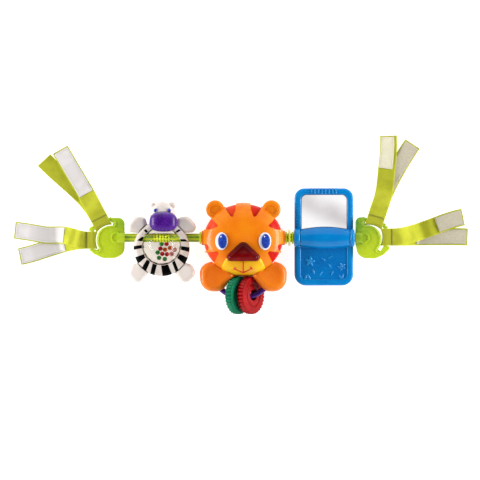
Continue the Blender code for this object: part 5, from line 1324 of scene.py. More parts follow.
@dataclass
class ToyBar:
    """The fluted lime bars, with click rings under the rattle and collars beside the tiger."""

    radius: float = 4.7 * MM
    flute_depth: float = 0.9 * MM
    flute_count: int = 6
    flute_degrees: float = 20.0
    flute_power: float = 0.8
    section_steps: int = 72
    inner_end: float = 36.3 * MM
    stop: tuple[float, float, float] = (37.9 * MM, 1.6 * MM, 6.2 * MM)
    zebra_x: float = -89.8 * MM
    click_count: int = 6
    click_pitch: float = 3.3 * MM
    click_thick: float = 1.5 * MM
    click_radius: float = 5.2 * MM
    collar: float = 46.1 * MM
    collar_thick: float = 2.1 * MM
    collar_radius: float = 6.8 * MM
    flange: float = 49.6 * MM
    flange_thick: float = 2.2 * MM
    flange_radius: float = 9.0 * MM
    second: float = 53.2 * MM
    ring_round: float = 0.35 * MM

    def section(self, x: float, radius: float, fluted: bool) -> list[Vector]:
        """One ring of points across the bar.

        Args:
            x: where the ring is.
            radius: its radius.
            fluted: whether it has the grooves.

        Returns:
            The ring.
        """
        ring = []
        for index in range(self.section_steps):
            turn = math.tau * index / self.section_steps
            wave = max(0.0, math.cos(self.flute_count * (turn - math.radians(self.flute_degrees))))
            reach = radius - (self.flute_depth * wave ** self.flute_power if fluted else 0)
            ring.append(Vector((x, reach * math.cos(turn), AXIS_HEIGHT + reach * math.sin(turn))))
        return ring

    def solid(self, start: float, end: float, rings: Sequence[tuple[float, float, float]]) -> Shape:
        """The bar with rounded rings on it.

        Args:
            start, end: the bar's ends.
            rings: start, thickness and radius of each ring.

        Returns:
            The bar.
        """
        sections = [self.section(start, self.radius, True)]
        for ring_start, thick, radius in sorted(rings):
            soft = min(self.ring_round, thick / 3)
            last = ring_start + thick
            bend = [(0.0, soft), (soft * BEND_SHARE, soft * BEND_SHARE), (soft, 0.0)]
            sections.append(self.section(ring_start, self.radius, True))
            sections += [self.section(ring_start + along, radius - fall, False) for along, fall in bend]
            sections += [self.section(last - along, radius - fall, False) for along, fall in reversed(bend)]
            sections.append(self.section(last, self.radius, True))
        sections.append(self.section(end, self.radius, True))
        return stacked(sections)

    def build(self, shop: Workshop, finish: Finish) -> None:
        """Makes both bars.

        Args:
            shop: the workshop.
            finish: the bars' finish.
        """
        first = self.zebra_x - self.click_pitch * (self.click_count - 1) / 2 - self.click_thick / 2
        left = [(first + self.click_pitch * index, self.click_thick, self.click_radius)
                for index in range(self.click_count)]
        left.append((-self.stop[0] - self.stop[1], self.stop[1], self.stop[2]))
        left.append((-self.collar - self.collar_thick, self.collar_thick, self.collar_radius))
        right = [self.stop, (self.collar, self.collar_thick, self.collar_radius),
                 (self.flange, self.flange_thick, self.flange_radius),
                 (self.second, self.collar_thick, self.collar_radius)]
        low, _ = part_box("left_bar")
        _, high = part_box("right_bar")
        for side, start, end, rings in (("left", low.x, -self.inner_end, left),
                                        ("right", self.inner_end, high.x, right)):
            shop.put(side + "_fluted_bar", self.solid(start, end, rings), (finish,),
                     (side + "_bar",))


# Straps

def ease(value: float) -> float:
    """A smooth step from 0 to 1."""
    value = min(max(value, 0.0), 1.0)
    return value * value * (3 - 2 * value)


@dataclass
class Tail:
    """One tail of a strap: its plan curve and its heights, from the neck at 0 to the tip at 1."""

    neck: Vector
    first: Vector
    second: Vector
    tip: Vector
    neck_height: float
    lying_height: float
    tip_height: float
    lag: float
    droop: float
    swell: float = 0.0
    swell_share: float = 0.62
    waves: tuple[float, float, float] = (0.0, 1.0, 0.0)
    level_run: float = 4.0 * MM
    drop_run: float = 30.0 * MM
    step_share: float = 0.004

    @property
    def reach(self) -> float:
        """The straight distance from neck to tip."""
        return (self.tip - self.neck).length

    def place(self, share: float) -> Vector:
        """A point on the tail's middle line.

        Args:
            share: how far along the tail, from 0 to 1.

        Returns:
            The point.
        """
        rest = 1 - share
        flat = self.neck * rest ** 3 + self.first * 3 * rest ** 2 * share
        flat += self.second * 3 * rest * share ** 2 + self.tip * share ** 3
        line = (self.tip - self.neck).normalized()
        bend = math.sin(math.pi * min(1.0, share / self.swell_share)) ** 2
        flat += Vector((-line.y, line.x)) * (self.swell * bend)
        run = share * self.reach
        fall = ease((run - self.level_run - self.lag) / self.drop_run)
        height = self.neck_height + (self.lying_height - self.neck_height) * fall
        if self.droop > 0:
            drop = ease((run - self.reach + self.droop) / self.droop)
            height += (self.tip_height - self.lying_height) * drop
        start, end, rise = self.waves
        if start < share < end:
            height += rise * (1 - math.cos(2 * math.tau * (share - start) / (end - start))) / 2
        return Vector((flat.x, flat.y, height))

    def station(self, share: float) -> tuple[Vector, Vector, Vector]:
        """The tail's place, its sideways direction and its upward direction.

        Args:
            share: how far along the tail, from 0 to 1.

        Returns:
            The place and both directions.
        """
        after = self.place(min(share + self.step_share, 1.0))
        along = (after - self.place(max(share - self.step_share, 0.0))).normalized()
        across = Vector((-along.y, along.x, 0)).normalized()
        return self.place(share), across, along.cross(across)


class Layer(Enum):
    """What is sewn on a tail."""

    PATCH = "patch"
    PAD = "pad"


@dataclass(frozen=True)
class Sewn:
    """A patch or a fastener tape on a tail: its node, tail, kind, length and the face it is on."""

    node: str
    tail: str
    layer: Layer
    length: float
    face: int
    aside: float = 0.0


@dataclass
class WebbingStrap:
    """A strip of webbing that loops round a clip's rim bar, with two fanned tails."""

    name: str
    clip_centre: Place
    degrees: float
    shift: float
    tips: tuple[Place, Place]
    headings: tuple[Place, Place]
    heights: tuple[Place, Place]
    droop: float
    sewn: tuple[Sewn, ...]
    swell: float = 0.0
    waves: tuple[float, float, float] = (0.0, 1.0, 0.0)
    rim_distance: float = 20.5 * MM
    rim_radius: float = 2.2 * MM
    neck_reach: float = 5.9 * MM
    width: float = 19.0 * MM
    thick: float = 1.1 * MM
    layer_gap: float = 0.3 * MM
    front_lag: float = 3.0 * MM
    pad_width: float = 16.0 * MM
    pad_thick: float = 0.9 * MM
    patch_width: float = 16.4 * MM
    patch_thick: float = 0.4 * MM
    end_margin: float = 1.5 * MM
    columns: int = 12
    tail_steps: int = 56
    loop_steps: int = 28
    stitch: float = 2.3 * MM
    stitch_share: float = 0.42
    stitch_proud_share: float = 0.2
    seam_share: float = 0.8
    edge_share: float = 0.3
    stitch_radius: float = 0.32 * MM
    stitch_inset: float = 1.5 * MM
    seam_runs: tuple[float, ...] = (0.3 * MM, 1.2 * MM)
    tails: dict[str, Tail] = field(default_factory=dict)

    def __post_init__(self) -> None:
        """Works out the rim bar's place and both tails."""
        turn = math.radians(self.degrees)
        self.outward = Vector((math.cos(turn), math.sin(turn)))
        self.along = Vector((self.outward.y, -self.outward.x))
        self.axis = Vector(self.clip_centre) + self.outward * self.rim_distance + self.along * self.shift
        half = (self.thick + self.layer_gap) / 2
        neck = self.axis + self.outward * self.neck_reach
        for index, (tail, side, lag) in enumerate((("front", 1, self.front_lag), ("rear", -1, 0.0))):
            tip = Vector(self.tips[index])
            heading = Vector(self.headings[index]).normalized()
            reach = (tip - neck).length
            low, end = (height + self.thick / 2 for height in self.heights[index])
            self.tails[tail] = Tail(neck, neck + self.outward * reach / 3, tip - heading * reach / 3, tip,
                                    AXIS_HEIGHT + side * half, low, end, lag, self.droop if side > 0 else 0.0)
        self.tails["front"].swell = self.swell
        self.tails["front"].waves = self.waves

    def loop(self) -> list[tuple[Vector, Vector, float]]:
        """Stations round the rim bar, from the upper layer to the lower one, with how far each one bows.

        Returns:
            Each station's place, sideways direction and bow.
        """
        radius = self.rim_radius + GAP + self.thick / 2
        neck = Vector((self.neck_reach, (self.thick + self.layer_gap) / 2))
        first = math.atan2(neck.y, neck.x) + math.acos(radius / neck.length)
        across = Vector((*-self.along, 0))
        stations = []
        for step in range(self.loop_steps + 1):
            turn = first + (math.tau - 2 * first) * step / self.loop_steps
            flat = self.axis + self.outward * radius * math.cos(turn)
            place = Vector((flat.x, flat.y, AXIS_HEIGHT + radius * math.sin(turn)))
            stations.append((place, across, (1 - math.cos(turn)) / 2))
        return stations

    def strip(self, name: str, stations: Sequence[tuple[Vector, Vector, float]], width: float, thick: float,
              finish: Finish, node: str, shop: Workshop) -> tuple[Piece, float]:
        """One band of cloth as a piece, with its thickness as a modifier.

        Args:
            name: the piece's name.
            stations: each station's place, sideways direction and bow.
            width, thick: the cloth's width and thickness.
            finish: its finish.
            node: the CAD node that it stands for.
            shop: the workshop.

        Returns:
            The piece and its length along the cloth.
        """
        shape = bmesh.new()
        bmesh.ops.create_grid(shape, x_segments=self.columns, y_segments=len(stations) - 1, size=0.5)
        cloth = shape.loops.layers.uv.new("cloth")
        runs = [0.0]
        for before, after in zip(stations, stations[1:]):
            runs.append(runs[-1] + (after[0] - before[0]).length)
        rows = {vert: round((vert.co.y + 0.5) * (len(stations) - 1)) for vert in shape.verts}
        for face in shape.faces:
            for corner in face.loops:
                run = runs[rows[corner.vert]] - runs[-1] / 2
                corner[cloth].uv = (corner.vert.co.x * width / MM, run / MM)
        for vert in shape.verts:
            place, across, bow = stations[rows[vert]]
            aside = width * vert.co.x
            sagitta = self.rim_distance - math.sqrt(self.rim_distance ** 2 - aside ** 2)
            vert.co = place + across * aside - Vector((*self.outward, 0)) * (bow * sagitta)
        piece = shop.put(name, shape, (finish,), (node,), crease=60)
        wall = piece.modifiers.new("thickness", "SOLIDIFY")
        wall.thickness = thick
        wall.offset = 0
        wall.use_even_offset = True
        shop.soften(piece, thick * self.edge_share, 2, 60)
        return piece, runs[-1]

    def stitches(self, line: Sequence[tuple[Vector, Vector]]) -> list[Shape]:
        """One thread stitch for each place and heading on a sewn line.

        Args:
            line: places with their headings.

        Returns:
            The stitches.
        """
        made = []
        for place, heading in line:
            shape = bmesh.new()
            bmesh.ops.create_uvsphere(shape, u_segments=6, v_segments=5, radius=1)
            scaled(shape, (self.stitch_radius, self.stitch_radius, self.stitch * self.stitch_share))
            made.append(shifted(swung(shape, heading.to_track_quat("Z", "Y").to_matrix()), place))
        return made

    def sewn_places(self, tail: Tail, first: float, last: float, half: float, offset: float,
                    aside: float) -> list[tuple[Vector, Vector]]:
        """Stitches round a rectangle on a tail, from one share to another.

        Args:
            tail: the tail.
            first, last: the rectangle's ends, as shares.
            half: half its width.
            offset: how far it's off the tail's middle.
            aside: how far it lies to one side.

        Returns:
            Places with their headings.
        """
        line = []
        count = max(4, round((last - first) * tail.reach / self.stitch))
        for side in (-1, 1):
            for index in range(count + 1):
                share = first + (last - first) * index / count
                place, across, up = tail.station(share)
                line.append((place + across * (side * half + aside) + up * offset, up.cross(across)))
        rungs = max(3, round(2 * half / self.stitch))
        for share in (first, last):
            place, across, up = tail.station(share)
            for index in range(1, rungs):
                line.append((place + across * (half * (2 * index / rungs - 1) + aside) + up * offset, across))
        return line

    def seam_places(self, tail: Tail, run: float, offset: float) -> list[tuple[Vector, Vector]]:
        """Stitches across a tail at one distance from its neck.

        Args:
            tail: the tail.
            run: the distance from its neck.
            offset: how far it's off the tail's middle.

        Returns:
            Places with their headings.
        """
        place, across, up = tail.station(run / tail.reach)
        half = self.width / 2 - self.stitch_inset
        rungs = round(2 * half / (self.stitch * self.seam_share))
        return [(place + across * (half * (2 * index / rungs - 1)) + up * offset, across)
                for index in range(rungs + 1)]

    def build(self, shop: Workshop, finishes: Finishes) -> None:
        """Makes the webbing, what is sewn on it and the stitching.

        Args:
            shop: the workshop.
            finishes: the finishes by name.
        """
        shares = [index / self.tail_steps for index in range(self.tail_steps + 1)]
        stations = [(*self.tails["front"].station(share)[:2], 0.0) for share in reversed(shares)]
        stations += self.loop()[1:-1]
        stations += [(*self.tails["rear"].station(share)[:2], 0.0) for share in shares]
        webbing, length = self.strip(self.name + "_webbing", stations, self.width, self.thick,
                                     finishes["webbing"], self.name, shop)
        threads = []
        pale = []
        proud = self.stitch_radius * self.stitch_proud_share
        surface = self.thick / 2 + proud
        for item in self.sewn:
            tail = self.tails[item.tail]
            patch = item.layer is Layer.PATCH
            width = (self.patch_width if patch else self.pad_width) - abs(item.aside)
            thick = self.patch_thick if patch else self.pad_thick
            first = 1 - (item.length + self.end_margin) / tail.reach
            last = 1 - self.end_margin / tail.reach
            offset = item.face * (self.thick / 2 + self.layer_gap + thick / 2)
            steps = 40
            line = []
            for index in range(steps + 1):
                place, across, up = tail.station(first + (last - first) * index / steps)
                line.append((place + up * offset + across * item.aside, across, 0.0))
            tape = "cream" if item.node == "right_upper_front_pad" else "tape"
            finish = finishes["patch" if patch else tape]
            piece, _ = self.strip(item.node + "_cloth", line, width, thick, finish, item.node, shop)
            margin = self.stitch_inset / tail.reach
            top = item.face * (abs(offset) + thick / 2 + proud)
            half = width / 2 - self.stitch_inset
            places = self.sewn_places(tail, first + margin, last - margin, half, top, item.aside)
            pale += self.stitches(places)
        for run in self.seam_runs:
            threads += self.stitches(self.seam_places(self.tails["front"], run, surface))
            threads += self.stitches(self.seam_places(self.tails["rear"], run, -surface))
        thread = shop.put(self.name + "_stitching", joined(threads), (finishes["thread"],),
                          body=shop.body_of[self.name])
        shop.put(self.name + "_pad_stitching", joined(pale), (finishes["pale_thread"],),
                               body=shop.body_of[self.name])


# End clips

@dataclass
class EndClip:
    """A flat clip with a round tongue, a curved slot, two rim bars for the straps and a raised disc."""

    node: str
    side: Side
    centre: Place
    edge: float
    corner_shares: tuple[Place, ...]
    round_shares: tuple[float, ...]
    slot_degrees: Place
    straps: tuple[WebbingStrap, WebbingStrap]
    reach: float = 25.0 * MM
    thick: float = 5.0 * MM
    edge_round: float = 1.3 * MM
    tongue_radius: float = 15.9 * MM
    slot_width: float = 3.4 * MM
    rim_radius: float = 2.2 * MM
    rim_distance: float = 20.5 * MM
    side_gap: float = 0.6 * MM
    relief_radius: float = 2.0 * MM
    boss_radius: float = 6.5 * MM
    boss_length: float = 7.0 * MM
    disc_radius: float = 6.6 * MM
    disc_rise: float = 1.2 * MM
    disc_inset: float = 9.0 * MM
    disc_round: float = 0.5 * MM
    disc_rim: Place = (2.2 * MM, 2.6 * MM)
    rib_radius: float = 1.0 * MM
    rib_aside_share: float = 1.3
    socket_radius: float = 5.0 * MM
    socket_depth: float = 4.3 * MM

    def spot(self, turn: float, radius: float) -> Vector:
        """A plan point round the clip's middle."""
        return Vector(self.centre) + radius * Vector((math.cos(turn), math.sin(turn)))

    def through(self, points: Sequence[Vector]) -> Shape:
        """A cutter that goes right through the plate."""
        low = AXIS_HEIGHT - self.thick / 2 - OVERRUN
        return stacked([lift(points, low), lift(points, low + self.thick + 2 * OVERRUN)])

    def slot(self) -> Shape:
        """The curved slot between the tongue and the rim, as a cutter.

        Returns:
            The cutter.
        """
        first, last = (math.radians(value) for value in self.slot_degrees)
        points = []
        steps = 40
        for radius, forward in ((self.tongue_radius + self.slot_width, True), (self.tongue_radius, False)):
            for step in range(steps + 1):
                share = step / steps if forward else 1 - step / steps
                points.append(self.spot(first + (last - first) * share, radius))
        return self.through(points)

    def window(self, strap: WebbingStrap) -> Shape:
        """Room for a strap to leave its rim bar.

        Args:
            strap: the strap.

        Returns:
            The cutter.
        """
        half = strap.width / 2 + self.side_gap
        near = self.tongue_radius + GAP - self.rim_distance
        far = self.rim_radius + OVERRUN
        side = Vector((-strap.outward.y, strap.outward.x))
        points = [strap.axis + strap.outward * reach + side * across
                  for reach, across in ((near, -half), (far, -half), (far, half), (near, half))]
        return self.through(points)

    def rim_bar(self, strap: WebbingStrap) -> Shape:
        """The round bar that a strap loops over.

        Args:
            strap: the strap.

        Returns:
            The bar.
        """
        half = strap.width / 2 + self.side_gap + self.rim_radius
        shape = rod(-half, half, self.rim_radius, (0, 0, 0), 32, along_x=True)
        turn = math.atan2(strap.along.y, strap.along.x)
        return shifted(swung(shape, Matrix.Rotation(turn, 3, "Z")), (*strap.axis, AXIS_HEIGHT))

    def rib(self) -> Shape:
        """The raised rib along the tongue's edge and round both ends of the slot.

        Returns:
            The rib.
        """
        first, last = (math.radians(value) for value in self.slot_degrees)
        height = AXIS_HEIGHT + self.thick / 2
        steps = 48
        aside = self.rib_radius * self.rib_aside_share
        inner = self.tongue_radius - aside
        middle = self.tongue_radius + self.slot_width / 2
        around = self.slot_width / 2 + aside

        def end_cap(turn: float, way: int) -> list[Vector]:
            """Points round one end of the slot, from its outer side to its inner side.

            Args:
                turn: the end's angle.
                way: 1 for onward round the clip, -1 for back.

            Returns:
                The points.
            """
            outward = self.spot(turn, 1.0) - Vector(self.centre)
            onward = Vector((-outward.y, outward.x)) * way
            bends = [math.pi * step / 8 for step in range(9)]
            return [self.spot(turn, middle) + around * (outward * math.cos(bend) + onward * math.sin(bend))
                    for bend in bends]

        path = end_cap(first, -1)
        path += [self.spot(first + (last - first) * step / steps, inner) for step in range(1, steps)]
        path += reversed(end_cap(last, 1))
        return rope([lift(path, height)], self.rib_radius)

    def build(self, shop: Workshop, finish: Finish) -> None:
        """Makes the clip and its rib.

        Args:
            shop: the workshop.
            finish: the clip's finish.
        """
        sign = self.side.value
        outline = share_line(self.corner_shares, self.round_shares, (self.reach, self.reach), self.centre,
                             arc_steps=12)
        low = AXIS_HEIGHT - self.thick / 2
        plate = pillow(outline, low, low + self.thick, self.edge_round, self.edge_round)
        between = (self.straps[0].outward + self.straps[1].outward).normalized()
        relief = (*(Vector(self.centre) + between * (self.tongue_radius + self.slot_width)), AXIS_HEIGHT)
        tools = [(self.slot(), Cut.OFF)]
        tools += [(self.window(strap), Cut.OFF) for strap in self.straps]
        tools.append((rod(-self.thick, self.thick, self.relief_radius, relief, 32), Cut.OFF))
        tools += [(self.rim_bar(strap), Cut.ON) for strap in self.straps]
        boss = bar_rod(self.edge - sign * GAP, self.edge + sign * self.boss_length, self.boss_radius)
        tools.append((tidied(boss), Cut.ON))
        half = self.thick / 2 + self.disc_rise
        soft = self.disc_round
        radius = self.disc_radius
        top, sunk = self.disc_rim
        profile = ((-half, 0), (-half, radius - soft), (soft - half, radius), (half - soft, radius),
                   (half - soft * BEND_SHARE, radius - soft * BEND_SHARE), (half, radius - soft),
                   (half, radius - top), (half - soft, radius - sunk), (half - soft, 0))
        disc = turned(profile, (self.edge + sign * self.disc_inset, 0, AXIS_HEIGHT))
        tools.append((disc, Cut.ON))
        socket = bar_rod(self.edge - sign * OVERRUN, self.edge + sign * self.socket_depth, self.socket_radius)
        tools.append((tidied(socket), Cut.OFF))
        shop.put(self.node + "_plate", carved(plate, tools), (finish,), (self.node,))
        shop.put(self.node + "_rib", self.rib(), (finish,), body=shop.body_of[self.node])


# Zebra rattle

@dataclass
class ZebraRattle:
    """A rattle that spins on the bar: a striped ring with four limbs, a clear ball of beads and a head."""

    x: float = -89.8 * MM
    torso_radius: float = 30.7 * MM
    torso_drop: float = 11.4 * MM
    front_rise: float = 10.2 * MM
    back_depth: float = 10.4 * MM
    torso_round: float = 5.5 * MM
    face_lap: float = 4.0 * MM
    ball_radius: float = 21.4 * MM
    ball_drop: float = 8.6 * MM
    ball_wall: float = 1.3 * MM
    flange_radius: float = 24.0 * MM
    flange_thick: float = 1.2 * MM
    bore_radius: float = 5.1 * MM
    limb_rise: float = 8.6 * MM
    limb_round: float = 5.0 * MM
    arm: tuple = ((-0.46, 0.50), (-0.56, 1.09), (-0.96, 1.17), (-1.26, 0.80), (-1.16, 0.57))
    arm_round: tuple = (0.05, 0.16, 0.26, 0.22, 0.16)
    leg: tuple = ((-0.62, -0.42), (-1.08, -0.60), (-1.26, -0.92), (-0.82, -1.36), (-0.46, -0.88))
    leg_round: tuple = (0.05, 0.18, 0.26, 0.27, 0.18)
    head_size: tuple = (28.4 * MM, 30.0 * MM, 25.0 * MM)
    head_centre: tuple = (-88.8 * MM, 24.9 * MM, 21.4 * MM)
    ear_radius: float = 3.4 * MM
    ear_spread: float = 10.4 * MM
    ear_rise: float = 10.8 * MM
    ear_scales: Place = (0.9, 1.15)
    tuft_size: tuple = (10.0 * MM, 10.0 * MM, 15.0 * MM)
    tuft_rise: float = 10.5 * MM
    muzzle_size: tuple = (30.8 * MM, 21.9 * MM, 25.0 * MM)
    muzzle_centre: tuple = (-87.6 * MM, 17.5 * MM, 34.2 * MM)
    muzzle_power: float = 2.7
    eye_radius: float = 1.7 * MM
    eye_spread: float = 7.3 * MM
    eye_rise: float = 5.1 * MM
    eye_turn: float = 0.6
    eye_sink_share: float = 0.6
    eye_stretch: float = 2.6
    bead_radius: float = 2.6 * MM
    stripe_floor: float = 1.2 * MM
    stripe_margin: float = 3.0 * MM
    stripe_lean: float = -0.3
    # Stripes: four plan corners of each one from the ring's middle, in millimetres
    stripes: tuple = (
        ((-15.2, 15.5), (-13.5, 17.4), (-17.6, 21.2), (-19.4, 19.2)),
        ((-20.7, 7.1), (-18.5, 12.1), (-21.4, 12.6), (-26.9, 8.6)),
        ((-21.0, 0.0), (-20.6, 3.7), (-32.1, 2.1), (-32.1, -2.0)),
        ((-17.6, -10.4), (-19.0, -6.4), (-30.7, -10.6), (-27.6, -18.5)),
        ((-12.2, -14.2), (-16.2, -12.5), (-21.8, -22.0), (-17.1, -25.7)),
        ((-4.7, -17.4), (-9.7, -16.8), (-12.7, -29.5), (-8.4, -31.6)),
        ((7.0, -16.8), (-0.6, -17.6), (1.6, -33.0), (12.3, -30.6)),
        ((14.2, -12.4), (11.2, -14.5), (15.6, -26.1), (18.9, -24.2)),
        ((19.5, -6.0), (16.2, -9.8), (27.0, -19.2), (31.2, -11.6)),
        ((21.4, 2.4), (20.9, -1.6), (32.9, -4.8), (32.9, 0.6)),
        ((20.6, 9.9), (20.8, 7.3), (29.2, 7.2), (26.0, 9.9)),
        ((15.2, 18.1), (16.2, 16.3), (21.5, 19.6), (19.1, 20.9)))
    # Beads: places across the ball, and their paints
    beads: tuple = (
        (-0.4, 1.9, "green"), (5.1, 1.9, "red"), (-1.7, -3.4, "red"), (3.4, -4.5, "amber"),
        (9.0, -2.6, "amber"), (0.4, -9.2, "red"), (14.2, -4.6, "rose"), (10.9, -9.3, "rose"),
        (-4.7, -7.7, "green"), (5.6, -9.6, "red"), (-3.0, -13.6, "green"), (3.4, -14.9, "green"))

    def middle(self, drop: float) -> tuple[float, float, float]:
        """A place under the bar, on the rattle's own middle."""
        return (self.x, -drop, AXIS_HEIGHT)

    def half(self, rise: float, direction: int) -> Shape:
        """Half of the round body, up or down from the parting, with a rounded outer edge.

        Args:
            rise: how far it reaches.
            direction: 1 for up, -1 for down.

        Returns:
            The half.
        """
        profile = [(0, 0), (0, self.torso_radius)]
        for sine, cosine in quarter(10):
            profile.append((direction * (rise - self.torso_round * (1 - sine)),
                            self.torso_radius - self.torso_round * (1 - cosine)))
        profile.append((direction * rise, self.ball_radius - self.face_lap))
        profile.append((direction * rise, 0))
        return turned(profile, self.middle(self.torso_drop), 240)

    def bores(self) -> list[tuple[Shape, Cut]]:
        """The ball's hole with its flange's groove, and the bar's bore.

        Returns:
            Both cutters.
        """
        reach = self.back_depth + OVERRUN
        groove = self.flange_thick + GAP
        narrow = self.ball_radius + GAP
        wide = self.flange_radius + GAP
        profile = mirrored([(-reach, 0), (-reach, narrow), (-groove, narrow), (-groove, wide)])
        hole = turned(profile, self.middle(self.ball_drop), 96)
        far = 2 * self.torso_radius
        return [(hole, Cut.OFF), (bar_rod(self.x - far, self.x + far, self.bore_radius, 48), Cut.OFF)]

    def paint_stripes(self, shape: Shape) -> None:
        """Cuts each stripe's outline into the ring and paints what lies inside it black.

        Args:
            shape: the ring, which is cut.
        """
        centre = Vector(self.middle(self.torso_drop))
        floor = centre.z + self.stripe_floor
        for face in shape.faces:
            face.material_index = 0
        for corners in self.stripes:
            quad = [Vector(corner) * MM + centre.xy for corner in corners]
            middle = sum(quad, Vector((0, 0))) / len(quad)
            reach = max((corner - middle).length for corner in quad) + self.stripe_margin
            planes = []
            for index, corner in enumerate(quad):
                side = quad[(index + 1) % len(quad)] - corner
                outward = Vector((side.y, -side.x)).normalized()
                if outward.dot(middle - corner) > 0:
                    outward.negate()
                planes.append((Vector((*corner, 0)), Vector((*outward, 0))))
            for place, normal in planes:
                near = [face for face in shape.faces if face.calc_center_median().z > floor
                        and (face.calc_center_median().xy - middle).length < reach]
                edges = {edge for face in near for edge in face.edges}
                verts = {vert for face in near for vert in face.verts}
                bmesh.ops.bisect_plane(shape, geom=[*verts, *edges, *near], dist=MERGE_REACH, plane_co=place,
                                       plane_no=normal)
            for face in shape.faces:
                spot = face.calc_center_median()
                flat = Vector((spot.x, spot.y, 0))
                inside = all((flat - place).dot(normal) < 0 for place, normal in planes)
                if inside and spot.z > floor and face.normal.z > self.stripe_lean:
                    face.material_index = 1

    def ring(self, shop: Workshop, white: Finish, black: Finish) -> None:
        """The striped front ring.

        Args:
            shop: the workshop.
            white, black: the ring's and its stripes' finishes.
        """
        gap = rod(-OVERRUN, GAP / 2, self.torso_radius + GAP, self.middle(self.torso_drop), 96)
        shape = carved(self.half(self.front_rise, 1), [(gap, Cut.OFF), *self.bores()])
        self.paint_stripes(shape)
        shop.put("striped_ring", shape, (white, black), ("zebra_front_ring",))

    def shell(self, shop: Workshop, white: Finish) -> None:
        """The back shell with its four limbs.

        Args:
            shop: the workshop.
            white: the shell's finish.
        """
        low = AXIS_HEIGHT - self.limb_rise
        high = AXIS_HEIGHT + self.limb_rise
        tools = []
        for shares, rounds in ((self.arm, self.arm_round), (self.leg, self.leg_round)):
            for mirror in (1, -1):
                outline = share_line(shares, rounds, (self.torso_radius, self.torso_radius),
                                     (self.x, -self.torso_drop), mirror, 10)
                tools.append((pillow(outline, low, high, self.limb_round, self.limb_round, 10), Cut.ON))
        reach = self.torso_radius + GAP
        room = rod(-GAP / 2, self.limb_rise + OVERRUN, reach, self.middle(self.torso_drop), 240)
        tools.append((room, Cut.OFF))
        shape = carved(self.half(self.back_depth, -1), [*tools, *self.bores()])
        shop.put("back_shell", shape, (white,), ("zebra_back_shell",))

    def dome(self, direction: int) -> Shape:
        """One clear half of the ball, with its flange.

        Args:
            direction: 1 for up, -1 for down.

        Returns:
            The half ball.
        """
        gap = GAP / 2
        inner = self.ball_radius - self.ball_wall
        profile = [(direction * gap, self.flange_radius), (direction * self.flange_thick, self.flange_radius)]
        steps = 24
        first = math.asin(self.flange_thick / self.ball_radius)
        for step in range(steps + 1):
            turn = first + (math.radians(90) - first) * step / steps
            profile.append((direction * self.ball_radius * math.sin(turn), self.ball_radius * math.cos(turn)))
        first = math.asin(gap / inner)
        for step in range(steps + 1):
            turn = math.radians(90) + (first - math.radians(90)) * step / steps
            profile.append((direction * inner * math.sin(turn), inner * math.cos(turn)))
        pole = steps + 3
        return shifted(revolved(profile, 96, (pole,)), self.middle(self.ball_drop))

    def rattle_ball(self, shop: Workshop, clear: Finish, shaded_clear: Finish, paints: Finishes) -> None:
        """The clear ball's halves and the beads that lie in it.

        Args:
            shop: the workshop.
            clear, smoky: the front and the back half's finish.
            paints: the beads' finishes by colour.
        """
        far = 2 * self.torso_radius
        # The back half takes the darker copy, painted shade inside the ball.
        for name, direction, finish in (("front", 1, clear), ("back", -1, shaded_clear)):
            bore = bar_rod(self.x - far, self.x + far, self.bore_radius, 48)
            shape = carved(self.dome(direction), [(bore, Cut.OFF)])
            shop.put(f"ball_{name}_half", shape, (finish,), (f"ball_{name}_dome",))
        inner = self.ball_radius - self.ball_wall - self.bead_radius - 2 * RUNNING_GAP
        centre = Vector(self.middle(self.ball_drop))
        for index, (x, y, colour) in enumerate(self.beads):
            spot = Vector((x * MM, y * MM, 0))
            spot.z = -math.sqrt(inner ** 2 - spot.x ** 2 - spot.y ** 2)
            shape = ball(centre + spot, (2 * self.bead_radius,) * 3, 24)
            node = f"bead_{index + 1}"
            nodes = (node,) if node in shop.body_of else ()
            shop.put(node + "_round", shape, (paints[colour],), nodes, body="beads")

    def head(self, shop: Workshop, white: Finish, purple: Finish, blue: Finish) -> None:
        """The head with its ears and tuft, the big muzzle and two small eyes.

        Args:
            shop: the workshop.
            white, purple, blue: the head's, the muzzle's and the eyes' finish.
        """
        head_centre = Vector(self.head_centre)
        reach = self.torso_radius + GAP
        muzzle_room = tuple(size + 2 * RUNNING_GAP for size in self.muzzle_size)

        def body_room() -> Shape:
            """Room for the round body."""
            return rod(-2 * self.back_depth, self.front_rise + GAP, reach, self.middle(self.torso_drop), 192)

        tools = []
        for side, scale in zip((-1, 1), self.ear_scales):
            place = head_centre + Vector((side * self.ear_spread, self.ear_rise, 0))
            tools.append((ball(place, (2 * self.ear_radius * scale,) * 3, 32), Cut.ON))
        tools.append((ball(head_centre + Vector((0, self.tuft_rise, 0)), self.tuft_size, 32), Cut.ON))
        tools.append((body_room(), Cut.OFF))
        tools.append((cushion(self.muzzle_centre, muzzle_room, self.muzzle_power), Cut.OFF))
        head = carved(ball(head_centre, self.head_size, 64), tools)
        shop.put("rattle_head", head, (white,), ("zebra_head",), crease=50)
        glass = (2 * (self.ball_radius + RUNNING_GAP),) * 3
        muzzle = carved(cushion(self.muzzle_centre, self.muzzle_size, self.muzzle_power, 96),
                        [(body_room(), Cut.OFF), (ball(self.middle(self.ball_drop), glass, 96), Cut.OFF)])
        shop.put("rattle_muzzle", muzzle, (purple,), ("zebra_muzzle",))
        for node, side in (("zebra_left_eye", -1), ("zebra_right_eye", 1)):
            x = side * self.eye_spread
            y = self.eye_rise
            width, height, depth = self.head_size
            surface = math.sqrt(1 - (2 * x / width) ** 2 - (2 * y / height) ** 2) * depth / 2
            normal = Vector((x / width ** 2, y / height ** 2, surface / depth ** 2)).normalized()
            place = head_centre + Vector((x, y, surface)) + normal * (self.eye_radius + GAP)
            size = Vector((2, self.eye_stretch, 2)) * self.eye_radius
            eye = ball((0, 0, 0), size, 32)
            swung(eye, Matrix.Rotation(side * self.eye_turn, 3, "Z"))
            shifted(eye, place - normal * self.eye_radius * self.eye_sink_share)
